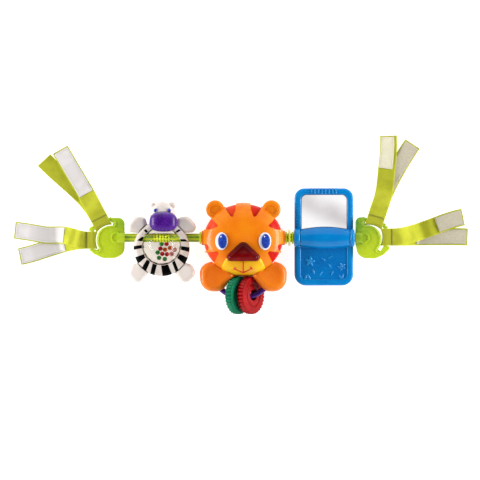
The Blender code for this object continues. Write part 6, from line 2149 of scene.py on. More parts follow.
            shop.put(node + "_dot", eye, (blue,), (node,))


# Tiger head

@dataclass(frozen=True)
class HeadDome:
    """The form of the tiger's face: a flattened egg standing on the parting."""

    half_width: float = 44.9 * MM
    half_height: float = 40.2 * MM
    rise: float = 22.0 * MM
    centre_y: float = -1.35 * MM
    base: float = 22.0 * MM
    power: float = 2.4
    under_shares: tuple[float, ...] = (0.02, 0.3, 0.6, 0.85, 1.0)
    over_shares: tuple[float, ...] = (0.9, 0.78, 0.64, 0.5, 0.36, 0.22, 0.1, 0.02)
    wall_share: float = 0.35

    def height(self, x: float, y: float) -> float:
        """The dome's height over a plan point.

        Args:
            x, y: the plan point.

        Returns:
            The height.
        """
        across = x / self.half_width
        up = (y - self.centre_y) / self.half_height
        rest = max(0.0, 1 - math.hypot(across, up) ** self.power)
        return self.base + self.rise * rest ** (1 / self.power)

    def oval(self, grow: float) -> Oval:
        """The dome's plan line, grown or shrunk."""
        return Oval((0, self.centre_y), self.half_width + grow, self.half_height + grow, 128)

    def solid(self, grow: float = 0.0, skirt: float = 0.0) -> Shape:
        """The dome as a solid, grown or shrunk, with a straight skirt under it.

        Args:
            grow: how much the dome is grown.
            skirt: how far the skirt reaches down.

        Returns:
            The solid.
        """
        shape = bmesh.new()
        bmesh.ops.create_uvsphere(shape, u_segments=128, v_segments=56, radius=1)
        bmesh.ops.bisect_plane(shape, geom=[*shape.verts, *shape.edges, *shape.faces], plane_co=(0, 0, 0),
                               plane_no=(0, 0, 1), clear_inner=True, dist=MERGE_REACH)
        for vert in shape.verts:
            level = math.asin(min(1.0, max(0.0, vert.co.z)))
            turn = math.atan2(vert.co.y, vert.co.x)
            wide = math.cos(level) ** (2 / self.power)
            vert.co = Vector(((self.half_width + grow) * wide * math.cos(turn),
                              self.centre_y + (self.half_height + grow) * wide * math.sin(turn),
                              self.base + (self.rise + grow) * math.sin(level) ** (2 / self.power)))
        if skirt:
            rim = [edge for edge in shape.edges if edge.is_boundary]
            added = bmesh.ops.extrude_edge_only(shape, edges=rim)["geom"]
            low = [item for item in added if isinstance(item, bmesh.types.BMVert)]
            bmesh.ops.translate(shape, verts=low, vec=(0, 0, -skirt))
        bmesh.ops.holes_fill(shape, edges=shape.edges, sides=0)
        return tidied(shape)

    def patch(self, outline: Outline, centre: Place, low: float, thick: float, edge_round: float,
              crown: float = 0.0) -> Shape:
        """A piece that lies on the dome: its outline, drawn on the dome, with rounded upper edges.

        Args:
            outline: the patch's plan line.
            centre: the point that its rings shrink towards.
            low: how far its underside stands off the dome.
            thick: its thickness at the edge.
            edge_round: the upper edge's rounding, as a share of its reach.
            crown: how much thicker its middle is.

        Returns:
            The closed patch.
        """
        middle = Vector(centre)
        rows = [(share, 0.0) for share in self.under_shares]
        for sine, cosine in quarter(6):
            rise = self.wall_share + (1 - self.wall_share) * sine
            rows.append((1 - edge_round * (1 - cosine), thick * rise))
        for share in self.over_shares:
            if share < rows[-1][0]:
                rows.append((share, thick + crown * (1 - share ** 2)))
        rings = []
        for share, rise in rows:
            ring = []
            for point in outline.at():
                flat = middle + (point - middle) * share
                ring.append(Vector((flat.x, flat.y, self.height(flat.x, flat.y) + low + rise)))
            rings.append(ring)
        return stacked(rings)


@dataclass
class TigerHead:
    """The tiger: face shell with stripe windows, ears, eyes, nose, muzzle and paws, and its back case."""

    dome: HeadDome = HeadDome()
    wall: float = 1.2 * MM
    lens_wall: float = 1.4 * MM
    boss_radius: float = 8.0 * MM
    boss_reach: float = 45.8 * MM
    ear_spread: float = 30.9 * MM
    ear_height: float = 31.2 * MM
    case_ear_height: float = 33.1 * MM
    ear_back: float = 8.0 * MM
    press_room: float = 1.6 * MM
    ear_radius: float = 10.2 * MM
    ear_rise: float = 9.5 * MM
    ear_round: float = 3.5 * MM
    ear_cup: Place = (7.0 * MM, 5.4 * MM)
    ear_cup_depth: float = 1.3 * MM
    ear_dent: float = 1.3 * MM
    ear_shift: float = 1.0 * MM
    # The cup's floor: shares of its reach, and millimetres above its edge
    ear_floor: tuple = ((0.9, -0.12), (0.7, -0.1), (0.4, 0.0), (0.1, 0.05))
    stripe_shares: tuple = (
        ((-0.48, 1.10), (-0.16, 1.10), (-0.19, 0.80), (-0.25, 0.60), (-0.31, 0.62), (-0.42, 0.80)),
        ((-0.87, 0.67), (-0.62, 0.38), (-0.62, 0.34), (-0.80, 0.26), (-1.10, 0.26), (-1.10, 0.50)),
        ((-1.10, -0.13), (-0.89, -0.14), (-0.84, -0.20), (-0.86, -0.30), (-1.00, -0.36), (-1.10, -0.36)),
        ((-1.10, -0.42), (-0.84, -0.36), (-0.62, -0.33), (-0.60, -0.40), (-0.72, -0.66), (-0.90, -0.90)))
    stripe_round: tuple = (0, 0, 0.03, 0.03, 0.03, 0)
    window_round: float = 0.45 * MM
    eye_place: Place = (23.8 * MM, -3.7 * MM)
    eye_half: Place = (6.8 * MM, 9.7 * MM)
    iris_half: Place = (4.8 * MM, 7.9 * MM)
    iris_shift: float = 0.9 * MM
    eye_thick: float = 0.9 * MM
    # An eye piece's rounding as a share of its reach, and its crown
    eye_form: Place = (0.12, 0.25 * MM)
    iris_form: Place = (0.08, 0.3 * MM)
    glint: float = 0.8 * MM
    glint_shift: Place = (-1.5 * MM, 5.0 * MM)
    glint_share: float = 0.8
    # The glint's thickness, and its rounding as a share of its reach
    glint_form: Place = (0.5 * MM, 0.4)
    nose_top: float = -2.6 * MM
    nose_bottom: float = -25.3 * MM
    nose_half: float = 24.0 * MM
    nose_height: float = 47.8 * MM
    nose_rim: float = 36.9 * MM
    nose_rim_out: float = 1.6 * MM
    nose_rim_thick: float = 1.2 * MM
    nose_rounds: tuple = (6.5 * MM, 4.1 * MM, 4.1 * MM)
    nose_stem: float = 3.0 * MM
    # The nose cap's section: insets and heights from its top, in millimetres
    nose_section: tuple = ((0.0, -3.0), (0.12, -2.0), (0.45, -1.1), (1.0, -0.45), (1.7, -0.1), (2.3, 0.0),
                           (2.7, -0.2), (3.1, -0.7), (3.7, -1.1), (4.4, -1.2), (6.2, -0.9))
    room_ends: Place = (39.8 * MM, 35.9 * MM)
    room_radii: Place = (5.0 * MM, 6.5 * MM)
    chin: tuple = ((-18.8, -21.6), (18.8, -21.6), (25.2, -34.0), (9.4, -41.2), (-9.4, -41.2), (-25.2, -34.0))
    chin_round: float = 4.0 * MM
    chin_thick: float = 3.4 * MM
    chin_centre: Place = (0.0, -31.0 * MM)
    chin_round_share: float = 0.14
    mouth: tuple = (
        ((0.0, -26.2), (0.0, -30.0), (0.0, -34.0), (0.0, -37.6)),
        ((-9.4, -33.6), (-7.5, -34.8), (-5.0, -36.0), (-2.4, -37.1), (0.0, -38.2), (2.4, -37.0), (4.9, -35.8),
         (7.2, -34.5), (8.9, -33.1)),
        ((-10.3, -34.6), (-8.5, -31.9)), ((9.8, -34.2), (7.9, -31.5)))
    mouth_radius: float = 0.75 * MM
    mouth_sink_share: float = 0.45
    paw_reach: float = 48.4 * MM
    paw: tuple = ((1.00, -0.62), (0.97, -1.22), (0.50, -1.22), (0.20, -0.88), (0.28, -0.58), (0.66, -0.52))
    paw_round: tuple = (0.26, 0.30, 0.24, 0.12, 0.06, 0.08)
    paw_back: float = 14.4 * MM
    paw_front: float = 29.6 * MM
    paw_edge: float = 6.6 * MM
    paw_cup: float = 0.3 * MM
    # The paw's cup: millimetres inside its edge, and shares of the cup's depth
    paw_cup_line: tuple = ((0.5, 0.1), (1.0, 0.45), (1.6, 0.8), (2.4, 1.0))
    tuck: float = 0.8 * MM
    bridge_half: float = 15.0 * MM
    bridge_reach: float = 3.2 * MM
    bridge_inset: float = 2.0 * MM
    bridge_low: float = 8.0 * MM
    bridge_top: float = 20.0 * MM

    def windows(self) -> list[Shape]:
        """The stripe windows on both sides, as cutters.

        Returns:
            The cutters.
        """
        made = []
        dome = self.dome
        for mirror in (1, -1):
            for corners in self.stripe_shares:
                line = share_line(corners, self.stripe_round, (dome.half_width, dome.half_height),
                                  (0.0, dome.centre_y), mirror)
                made.append(prism(line, dome.base - OVERRUN, dome.base + dome.rise))
        return made

    def nose_line(self) -> Rounded:
        """The nose's rounded triangle."""
        corners = ((0, self.nose_top), (-self.nose_half, self.nose_bottom),
                   (self.nose_half, self.nose_bottom))
        return Rounded(corners, self.nose_rounds, arc_steps=10)

    def nose_room(self, grow: float) -> Shape:
        """Room for the nose through the face."""
        line = self.nose_line().at(-grow)
        low = self.dome.base - OVERRUN
        return stacked([lift(line, low), lift(line, self.dome.base + 2 * self.dome.rise)])

    def bar_room(self) -> Shape:
        """Room for both bars and their stop rings inside the head.

        Returns:
            The cutter.
        """
        reach = self.boss_reach + OVERRUN
        outer, inner = self.room_ends
        narrow, wide = self.room_radii
        profile = mirrored([(-reach, 0), (-reach, narrow), (-outer, narrow), (-outer, wide), (-inner, wide)])
        return turned(profile, (0, 0, AXIS_HEIGHT), 64, along_x=True)

    def ear(self, side: int) -> Shape:
        """One ear's front half: a round pad with a raised rim and a cupped middle.

        Args:
            side: -1 for the left ear, 1 for the right one.

        Returns:
            The ear.
        """
        centre = Vector((side * self.ear_spread, self.ear_height))
        top = self.dome.base + self.ear_rise
        outer = Oval(tuple(centre), self.ear_radius, self.ear_radius).at()
        rings = [lift(outer, self.dome.base)]
        cup = []
        for point in Oval((0, 0), *self.ear_cup).at():
            dent = self.ear_dent * max(0.0, 1 - (point.x / self.ear_cup[0]) ** 2) if point.y < 0 else 0
            cup.append(centre + Vector((point.x - side * self.ear_shift, point.y + dent - self.ear_shift)))
        steps = 14
        for step in range(steps + 1):
            turn = math.pi * step / steps
            share = (1 - math.cos(turn)) / 2
            fall = (self.ear_round if share < 0.5 else self.ear_cup_depth) * (1 - math.sin(turn))
            ring = [first.lerp(last, share) for first, last in zip(outer, cup)]
            rings.append(lift(ring, top - fall))
        middle = sum(cup, Vector((0, 0))) / len(cup)
        for share, rise in self.ear_floor:
            ring = [middle + (point - middle) * share for point in cup]
            rings.append(lift(ring, top - self.ear_cup_depth + rise * MM))
        return stacked(rings)

    def face(self, shop: Workshop, orange: Finish, lens: Finish) -> None:
        """The orange face shell and the lens that shows in its windows.

        Args:
            shop: the workshop.
            orange, lens: the shell's and the lens's finish.
        """
        dome = self.dome
        tools = [(tidied(bar_rod(-self.boss_reach, self.boss_reach, self.boss_radius)), Cut.ON)]
        tools += [(self.ear(side), Cut.ON) for side in (-1, 1)]
        tools.append((dome.solid(-self.wall, OVERRUN), Cut.OFF))
        below = rod(-2 * self.boss_radius, 0, 2 * dome.half_width, (0, 0, dome.base + GAP / 2), 64)
        tools.append((below, Cut.OFF))
        tools += [(window, Cut.OFF) for window in self.windows()]
        tools.append((self.nose_room(RUNNING_GAP), Cut.OFF))
        tools.append((self.bar_room(), Cut.OFF))
        shell = carved(dome.solid(), tools)
        face = shop.put("face_shell", shell, (orange,), ("tiger_face",))
        shop.soften(face, self.window_round, 3, 45)
        outside = -self.wall - GAP
        base = rod(-dome.base, 0, 2 * dome.half_width, (0, 0, dome.base + GAP / 2), 64)
        tools = [(dome.solid(outside - self.lens_wall, OVERRUN), Cut.OFF), (base, Cut.OFF),
                 (self.nose_room(self.nose_rim_out + RUNNING_GAP), Cut.OFF), (self.bar_room(), Cut.OFF)]
        shop.put("window_lens", carved(dome.solid(outside), tools), (lens,), ("stripe_lens",))

    def eyes(self, shop: Workshop, white: Finish, iris: Finish) -> None:
        """Eye whites, irises and the small white glint on each iris.

        Args:
            shop: the workshop.
            white, iris: the finish of the whites and glints, and of the irises.
        """
        for side in Side:
            name = side.name.lower()
            x = side.value * self.eye_place[0]
            y = self.eye_place[1]
            line = Oval((x, y), *self.eye_half)
            shape = self.dome.patch(line, (x, y), GAP, self.eye_thick, *self.eye_form)
            shop.put(name + "_eye_shell", shape, (white,), (name + "_eye_white",))
            x += self.iris_shift
            low = GAP + self.eye_thick + GAP
            line = Oval((x, y), *self.iris_half)
            shape = self.dome.patch(line, (x, y), low, self.eye_thick, *self.iris_form)
            shop.put(name + "_iris_lens", shape, (iris,), (name + "_iris",))
            # Painted highlight: a small white dot on each iris stands for its glint.
            spot = (x + self.glint_shift[0], y + self.glint_shift[1])
            line = Oval(spot, self.glint, self.glint, 24)
            shape = self.dome.patch(line, spot, low + self.glint_share * self.eye_thick, *self.glint_form)
            shop.put(name + "_eye_glint", shape, (white,), body="bar")

    def nose(self, shop: Workshop, maroon: Finish) -> None:
        """The press nose: a see-through cap with a rim, a stem and its bevelled edge.

        Args:
            shop: the workshop.
            maroon: the nose's finish.
        """
        line = self.nose_line()
        top = self.nose_height
        rim = self.nose_rim
        flange = line.at(-self.nose_rim_out)
        rings = [lift(flange, rim - self.nose_rim_thick), lift(flange, rim), lift(line.at(), rim)]
        rings += [lift(line.at(inset * MM), top + fall * MM) for inset, fall in self.nose_section]
        low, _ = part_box("nose_button")
        centre_y = (self.nose_top + 2 * self.nose_bottom) / 3
        stem = rod(low.z, rim, self.nose_stem, (0, centre_y, 0), 32)
        cap = carved(stacked(rings), [(stem, Cut.ON)])
        shop.put("nose_cap", cap, (maroon,), ("nose_button",))

    def muzzle(self, shop: Workshop, yellow: Finish, red: Finish) -> None:
        """The yellow muzzle and its printed mouth.

        Args:
            shop: the workshop.
            yellow, red: the muzzle's and the mouth's finish.
        """
        corners = tuple((x * MM, y * MM) for x, y in self.chin)
        line = Rounded(corners, (self.chin_round,) * len(corners))
        shape = self.dome.patch(line, self.chin_centre, GAP, self.chin_thick, self.chin_round_share)
        shape = carved(shape, [(self.nose_room(RUNNING_GAP), Cut.OFF)])
        shop.put("muzzle_pad", shape, (yellow,), ("tiger_muzzle",))
        paths = []
        rise = GAP + self.chin_thick - self.mouth_sink_share * self.mouth_radius
        for stroke in self.mouth:
            points = [Vector(point) * MM for point in stroke]
            path = [start.lerp(end, step / 6) for start, end in zip(points, points[1:]) for step in range(6)]
            path.append(points[-1])
            paths.append([Vector((*point, self.dome.height(*point) + rise)) for point in path])
        shop.put("mouth_line", rope(paths, self.mouth_radius), (red,), body="bar")

    def paws(self, shop: Workshop, deep: Finish) -> None:
        """Both paws: rounded pads with a raised rim, and room for the head, the loop and the rings.

        Args:
            shop: the workshop.
            deep: the paws' finish.
        """
        loop = RingLoop()
        for node, mirror in (("left_paw", -1), ("right_paw", 1)):
            line = share_line(self.paw, self.paw_round, (self.paw_reach, self.paw_reach), mirror=mirror,
                              arc_steps=12)
            rings = pillow_rings(line, self.paw_back, self.paw_front, self.paw_edge, self.paw_edge, 8)
            for extra, drop in self.paw_cup_line:
                rings.append(lift(line.at(self.paw_edge + extra * MM), self.paw_front - self.paw_cup * drop))
            head = prism(self.dome.oval(-self.tuck), 0, self.dome.base + self.dome.rise)
            tools = [(head, Cut.OFF), (loop.tube(loop.tube_radius + GAP, 0.5), Cut.OFF),
                     (loop.ring_room(mirror), Cut.OFF)]
            shop.put(node + "_pad", carved(stacked(rings), tools), (deep,), (node,))
        shop.put("paw_bridge", self.bridge(loop), (deep,), body="bar")

    def bridge(self, loop: RingLoop) -> Shape:
        """The narrow band under the muzzle that joins the paws, with room for the rings.

        Args:
            loop: the loop, for its rings' room.

        Returns:
            The band.
        """
        dome = self.dome
        window = block((-self.bridge_half, -2 * dome.half_height, 0), (self.bridge_half, 0, dome.base))
        tools = [(prism(dome.oval(-self.bridge_inset), 0, 2 * dome.base), Cut.OFF), (window, Cut.WITHIN)]
        tools += [(loop.ring_room(side), Cut.OFF) for side in (-1, 1)]
        return carved(prism(dome.oval(self.bridge_reach), self.bridge_low, self.bridge_top), tools)

    def back_case(self, shop: Workshop, orange: Finish) -> None:
        """The CAD's back case, its ears moved to stand under the front ones.

        Args:
            shop: the workshop.
            orange: the case's finish.
        """
        dome = self.dome
        inset = self.wall + GAP
        parting = dome.base - GAP / 2
        low = dome.base - self.ear_back
        tools = []
        for side in (-1, 1):
            old = rod(low - GAP, dome.base + GAP, self.ear_radius + GAP,
                      (side * self.ear_spread, self.case_ear_height, 0))
            wall = prism(dome.oval(EDGE_STEP - inset), 0, 2 * dome.base)
            tools.append((carved(old, [(wall, Cut.OFF)]), Cut.OFF))
        for side in (-1, 1):
            pad = Oval((side * self.ear_spread, self.ear_height), self.ear_radius, self.ear_radius)
            inner = prism(dome.oval(-inset - GAP), 0, 2 * dome.base)
            ear = carved(pillow(pad, low, parting, self.ear_round, EDGE_STEP), [(inner, Cut.OFF)])
            tools.append((ear, Cut.ON))
        shape = carved(shop.copied("tiger_back_case"), tools)
        shop.put("back_case", shape, (orange,), ("tiger_back_case",), crease=40)

    def spring(self, shop: Workshop, rubber: Finish) -> None:
        """The CAD's rubber spring, squeezed lower so that the pressed nose stays clear of it.

        Args:
            shop: the workshop.
            rubber: the spring's finish.
        """
        low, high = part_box("nose_spring")
        share = 1 - self.press_room / (high.z - low.z)
        shape = shop.copied("nose_spring")
        bmesh.ops.scale(shape, vec=(1, 1, share), verts=shape.verts, space=Matrix.Translation((0, 0, -low.z)))
        shop.put("press_spring", shape, (rubber,), ("nose_spring",), crease=50)

    def back(self, shop: Workshop, finishes: Finishes) -> None:
        """The back case and what it holds, nearly as the CAD has them.

        Args:
            shop: the workshop.
            finishes: the finishes by name.
        """
        self.back_case(shop, finishes["orange"])
        self.spring(shop, finishes["rubber"])
        for node, finish, slot in (
                ("battery_door", "orange", "orange_plastic"), ("door_screw", "steel", "steel"),
                ("power_switch", "black", "black_plastic"),
                ("circuit_board", "board", "circuit_board"), ("speaker", "black", "black_metal"),
                ("battery_cell_1", "steel", "battery"), ("battery_cell_2", "steel", "battery")):
            shop.keep(node, finishes[finish])


# Loop and rings

@dataclass
class RingLoop:
    """The purple loop under the tiger and the two scalloped rings strung on it."""

    centre: Place = (-1.0 * MM, -30.4 * MM)
    radius: float = 35.0 * MM
    tube_radius: float = 3.1 * MM
    height: float = 20.2 * MM
    degrees: Place = (207.0, 335.0)
    ring_y: float = -63.3 * MM
    ring_x: Place = (-5.8 * MM, 8.3 * MM)
    ring_tilt: Place = (57.0, 54.0)
    rim_radius: float = 20.8 * MM
    scallop: float = 1.4 * MM
    scallop_count: int = 30
    thick: float = 8.0 * MM
    hole_radius: float = 5.8 * MM
    room: float = 0.5 * MM
    # Half of a ring's section: radius and half thickness as shares
    section: tuple = (
        (0.00, 0.10), (0.00, 0.42), (0.03, 0.47), (0.08, 0.50), (0.18, 0.51), (0.28, 0.49), (0.35, 0.42),
        (0.40, 0.34), (0.45, 0.33), (0.50, 0.40), (0.57, 0.48), (0.66, 0.50), (0.86, 0.50), (0.94, 0.49),
        (0.98, 0.47), (1.00, 0.42), (1.00, 0.20), (1.00, 0.05))

    def tube(self, radius: float, extra: float) -> Shape:
        """The bent tube of the loop.

        Args:
            radius: the tube's radius.
            extra: how many degrees each end reaches further.

        Returns:
            The tube.
        """
        first, last = (math.radians(value) for value in self.degrees)
        first -= math.radians(extra)
        last += math.radians(extra)
        arounds = [math.tau * side / 28 for side in range(28)]
        rings = []
        steps = 72
        for step in range(steps + 1):
            turn = first + (last - first) * step / steps
            outward = Vector((math.cos(turn), math.sin(turn), 0))
            middle = Vector((*self.centre, self.height)) + outward * self.radius
            rings.append([middle + outward * radius * math.cos(around)
                          + Vector((0, 0, radius * math.sin(around))) for around in arounds])
        return stacked(rings)

    def set_in_place(self, shape: Shape, index: int) -> Shape:
        """Tilts a ring that lies at the origin and hangs it on the loop."""
        swung(shape, Matrix.Rotation(math.radians(self.ring_tilt[index]), 3, "Y"))
        return shifted(shape, (self.ring_x[index], self.ring_y, self.height))

    def ring_room(self, side: int) -> Shape:
        """Room for a ring to turn in, beside a paw.

        Args:
            side: -1 for the left ring, 1 for the right one.

        Returns:
            The cutter.
        """
        half = self.thick / 2 + self.room
        shape = rod(-half, half, self.rim_radius + self.room, (0, 0, 0), 96)
        return self.set_in_place(shape, 0 if side < 0 else 1)

    def ring(self, index: int) -> Shape:
        """A scalloped ring with grooved faces.

        Args:
            index: 0 for the left ring, 1 for the right one.

        Returns:
            The ring in its place.
        """
        span = self.rim_radius - self.hole_radius
        line = [(half * self.thick, self.hole_radius + span * radial) for radial, half in self.section]
        shape = revolved(mirrored(line), 6 * self.scallop_count, ())
        for vert in shape.verts:
            reach = math.hypot(vert.co.x, vert.co.y)
            share = max(0.0, (reach - self.hole_radius) / span)
            turn = math.atan2(vert.co.y, vert.co.x)
            wave = abs(math.sin(turn * self.scallop_count / 2))
            shrink = 1 - self.scallop * (1 - wave) * share ** 3 / reach
            vert.co.x *= shrink
            vert.co.y *= shrink
        return self.set_in_place(tidied(shape), index)

    def build(self, shop: Workshop, finishes: Finishes) -> None:
        """Makes the loop and both rings.

        Args:
            shop: the workshop.
            finishes: the finishes by name.
        """
        shop.put("carry_loop", self.tube(self.tube_radius, 0), (finishes["purple"],),
                 ("ring_loop",))
        shop.put("green_teether", self.ring(0), (finishes["green"],), ("green_ring",))
        shop.put("red_teether", self.ring(1), (finishes["red"],), ("red_ring",))


# Flip phone

@dataclass
class FlipPhone:
    """A flip phone on the bar: the cover with its barrel, and the mirror flap with its knuckles."""

    left: float = 56.3 * MM
    right: float = 121.2 * MM
    left_knuckle: Place = (55.7 * MM, 62.6 * MM)
    right_knuckle: Place = (117.3 * MM, 122.4 * MM)
    knuckle_radius: float = 10.0 * MM
    knuckle_round: float = 2.2 * MM
    bore_radius: float = 5.1 * MM
    barrel_end: float = 9.3 * MM
    barrel_middle: float = 12.0 * MM
    barrel_rim: float = 0.6 * MM
    barrel_inset: float = 0.4 * MM
    back: float = 14.4 * MM
    front: float = 20.8 * MM
    edge_round: float = 1.8 * MM
    back_bend: float = 0.3 * MM
    rim_power: float = 0.7
    rim_drop: float = 3.2 * MM
    seam: float = 0.2 * MM
    flap_tuck: float = 3.8 * MM
    cover_top: float = 7.6 * MM
    cover_bottom: float = -52.6 * MM
    cover_corner: float = 12.6 * MM
    top_corner: float = 1.4 * MM
    rim: float = 7.0 * MM
    panel_depth: float = 1.3 * MM
    panel_inset: float = 1.2 * MM
    sill: float = 2.5 * MM
    mirror_top: float = 54.6 * MM
    mirror_corner: float = 11.0 * MM
    left_rail: float = 7.6 * MM
    right_rail: float = 7.2 * MM
    top_rail: float = 7.1 * MM
    inner_corner: float = 5.5 * MM
    pocket_depth: float = 2.2 * MM
    rib_count: int = 8
    rib_pitch: float = 3.9 * MM
    rib_proud: float = 0.5 * MM
    rib_inset: float = 1.2 * MM
    rib_run: float = 1.4 * MM
    rib_sink: float = 0.1 * MM
    # How a rib goes round the top edge: back from its end and down from the front, in millimetres
    rib_bend: tuple = ((0.5, 0.5), (0.0, 1.6))
    rib_foot: float = 2.4 * MM
    ridge_pitch: float = 3.1 * MM
    ridge_radius: float = 0.7 * MM
    ridge_first: float = 13.5 * MM
    ridge_count: int = 9
    ridge_inset: float = 0.9 * MM
    # A side ridge's line: inward from its start and down from the front, in millimetres
    ridge_line: tuple = ((0.0, 1.1), (0.7, 0.45), (1.6, 0.2), (2.6, 0.25))
    panel_level: float = 0.99
    petal_share: float = 0.56
    petal_sink: float = 0.1 * MM
    relief_root: float = 0.15 * MM
    heart_size: float = 2.6 * MM
    # Flowers: place, the petals' length and width in millimetres, and the first petal's degrees
    flowers: tuple = ((73.5, -26.0, 5.4, 3.4, 10), (108.5, -31.5, 4.6, 2.9, 40))
    # Leaves: place, length and width in millimetres, and degrees
    leaves: tuple = (
        (69.5, -40.5, 6.8, 2.8, 250), (70.5, -39.5, 7.2, 2.8, 295), (76.5, -34.0, 6.0, 2.2, 285),
        (88.0, -36.5, 6.4, 2.2, 230), (93.5, -28.0, 6.4, 2.4, 300), (99.0, -35.5, 6.0, 2.2, 250),
        (110.0, -39.0, 5.6, 2.4, 265), (105.5, -40.5, 5.4, 2.2, 300), (86.0, -22.0, 5.4, 2.0, 320),
        (98.0, -19.5, 5.2, 2.0, 215))
    # How far petals and leaves stand up, in millimetres
    petal_rise: float = 1.1
    leaf_rise: float = 0.85

    def barrel(self, grow: float = 0.0) -> Shape:
        """The bulged barrel between the knuckles.

        Args:
            grow: how much it is grown.

        Returns:
            The barrel.
        """
        first = self.left_knuckle[1] + self.seam
        last = self.right_knuckle[0] - self.seam
        rim = self.barrel_end - self.barrel_rim + grow
        inset = self.barrel_inset
        profile = [(first - grow, 0), (first - grow, rim)]
        steps = 32
        for step in range(steps + 1):
            share = step / steps
            bulge = math.sin(math.pi * share)
            along = first + inset + (last - first - 2 * inset) * share
            profile.append((along, self.barrel_end + (self.barrel_middle - self.barrel_end) * bulge + grow))
        profile += [(last + grow, rim), (last + grow, 0)]
        return turned(profile, (0, 0, AXIS_HEIGHT), 96, along_x=True)

    def rimmed(self, outer: Rounded, inner: Rounded, floor: float) -> Shape:
        """A plate with a rounded rim between two plan lines and a sunk floor inside it.

        Args:
            outer, inner: the plate's and the floor's line.
            floor: the floor's height.

        Returns:
            The plate.
        """
        around = outer.at()
        within = inner.at()
        rings = [lift(outer.at(self.edge_round), self.back),
                 lift(outer.at(BEND_SHARE * self.edge_round), self.back + self.back_bend),
                 lift(around, self.back + self.edge_round)]
        steps = 16
        drop = self.front - floor
        for step in range(steps + 1):
            turn = math.pi * step / steps
            share = (1 - math.cos(turn)) / 2
            fall = self.rim_drop if share < 0.5 else drop
            rings.append(lift([first.lerp(last, share) for first, last in zip(around, within)],
                              self.front - fall * (1 - math.sin(turn) ** self.rim_power)))
        return stacked(rings)

    def knuckle(self, start: float, end: float) -> Shape:
        """One round knuckle on the bar's axis, with rounded rims.

        Args:
            start, end: its two ends.

        Returns:
            The knuckle.
        """
        bend = [(self.knuckle_round * (1 - sine), self.knuckle_radius - self.knuckle_round * (1 - cosine))
                for sine, cosine in quarter(6)]
        profile = [(start, 0), *((start + inward, radius) for inward, radius in reversed(bend)),
                   *((end - inward, radius) for inward, radius in bend), (end, 0)]
        return turned(profile, (0, 0, AXIS_HEIGHT), 96, along_x=True)

    def bore(self) -> Shape:
        """The bore for the bar."""
        return bar_rod(self.left_knuckle[0] - OVERRUN, self.right_knuckle[1] + OVERRUN, self.bore_radius, 48)

    def cover(self, shop: Workshop, blue: Finish, deep: Finish, raised: Finish) -> None:
        """The lower cover with its recessed panel and the bulged barrel.

        Args:
            shop: the workshop.
            blue, deep, raised: the finishes of the cover, its panel and its relief.
        """
        first = self.left_knuckle[1] + self.seam
        last = self.right_knuckle[0] - self.seam
        top = -self.cover_top
        outline = box_line((self.left, self.cover_bottom), (self.right, top), self.cover_corner,
                           self.top_corner)
        neck = block((first + GAP, top - self.rim / 2, self.back + GAP),
                     (last - GAP, -self.bore_radius, self.front - GAP))
        inner = box_line((self.left + self.rim, self.cover_bottom + self.rim),
                         (self.right - self.rim, top - self.panel_inset), self.cover_corner - self.rim,
                         self.top_corner)
        floor = self.front - self.panel_depth
        reach = self.knuckle_radius + self.seam
        slab = carved(self.rimmed(outline, inner, floor),
                      [(bar_rod(self.left - OVERRUN, first - EDGE_STEP, reach, 96), Cut.OFF),
                       (bar_rod(last + EDGE_STEP, self.right + OVERRUN, reach, 96), Cut.OFF)])
        shape = carved(self.barrel(), [(slab, Cut.ON), (neck, Cut.ON), (self.bore(), Cut.OFF)])
        for face in shape.faces:
            sunk = face.calc_center_median().z < self.front - self.panel_depth / 2
            face.material_index = int(sunk and face.normal.z > self.panel_level)
        shop.put("phone_cover", shape, (blue, deep), ("cover_flap",))
        shop.put("cover_relief", self.relief(floor), (raised,),
                 body=shop.body_of["cover_flap"])

    def relief(self, floor: float) -> Shape:
        """Plain flowers and leaves, raised a little from the cover's panel.

        Args:
            floor: the panel's height.

        Returns:
            The relief.
        """
        shapes = []

        def drop(x: float, y: float, length: float, width: float, degrees: float, rise: float) -> Shape:
            """One long drop that starts near a point.

            Args:
                x, y: where it starts, in millimetres.
                length, width, rise: its sizes in millimetres.
                degrees: which way it points.

            Returns:
                The drop.
            """
            turn = math.radians(degrees)
            shape = ball((0, 0, 0), (length * MM, width * MM, 2 * rise * MM), 20)
            swung(shape, Matrix.Rotation(turn, 3, "Z"))
            reach = length * self.petal_share
            place = Vector((x + reach * math.cos(turn), y + reach * math.sin(turn), 0)) * MM
            place.z = floor - self.petal_sink
            return above(shifted(shape, place), floor - self.relief_root)

        for x, y, length, width, start in self.flowers:
            shapes += [drop(x, y, length, width, start + 72 * index, self.petal_rise) for index in range(5)]
            heart = ball((x * MM, y * MM, floor), (self.heart_size,) * 3, 20)
            shapes.append(above(heart, floor - self.relief_root))
        shapes += [drop(*leaf, self.leaf_rise) for leaf in self.leaves]
        return joined(shapes)

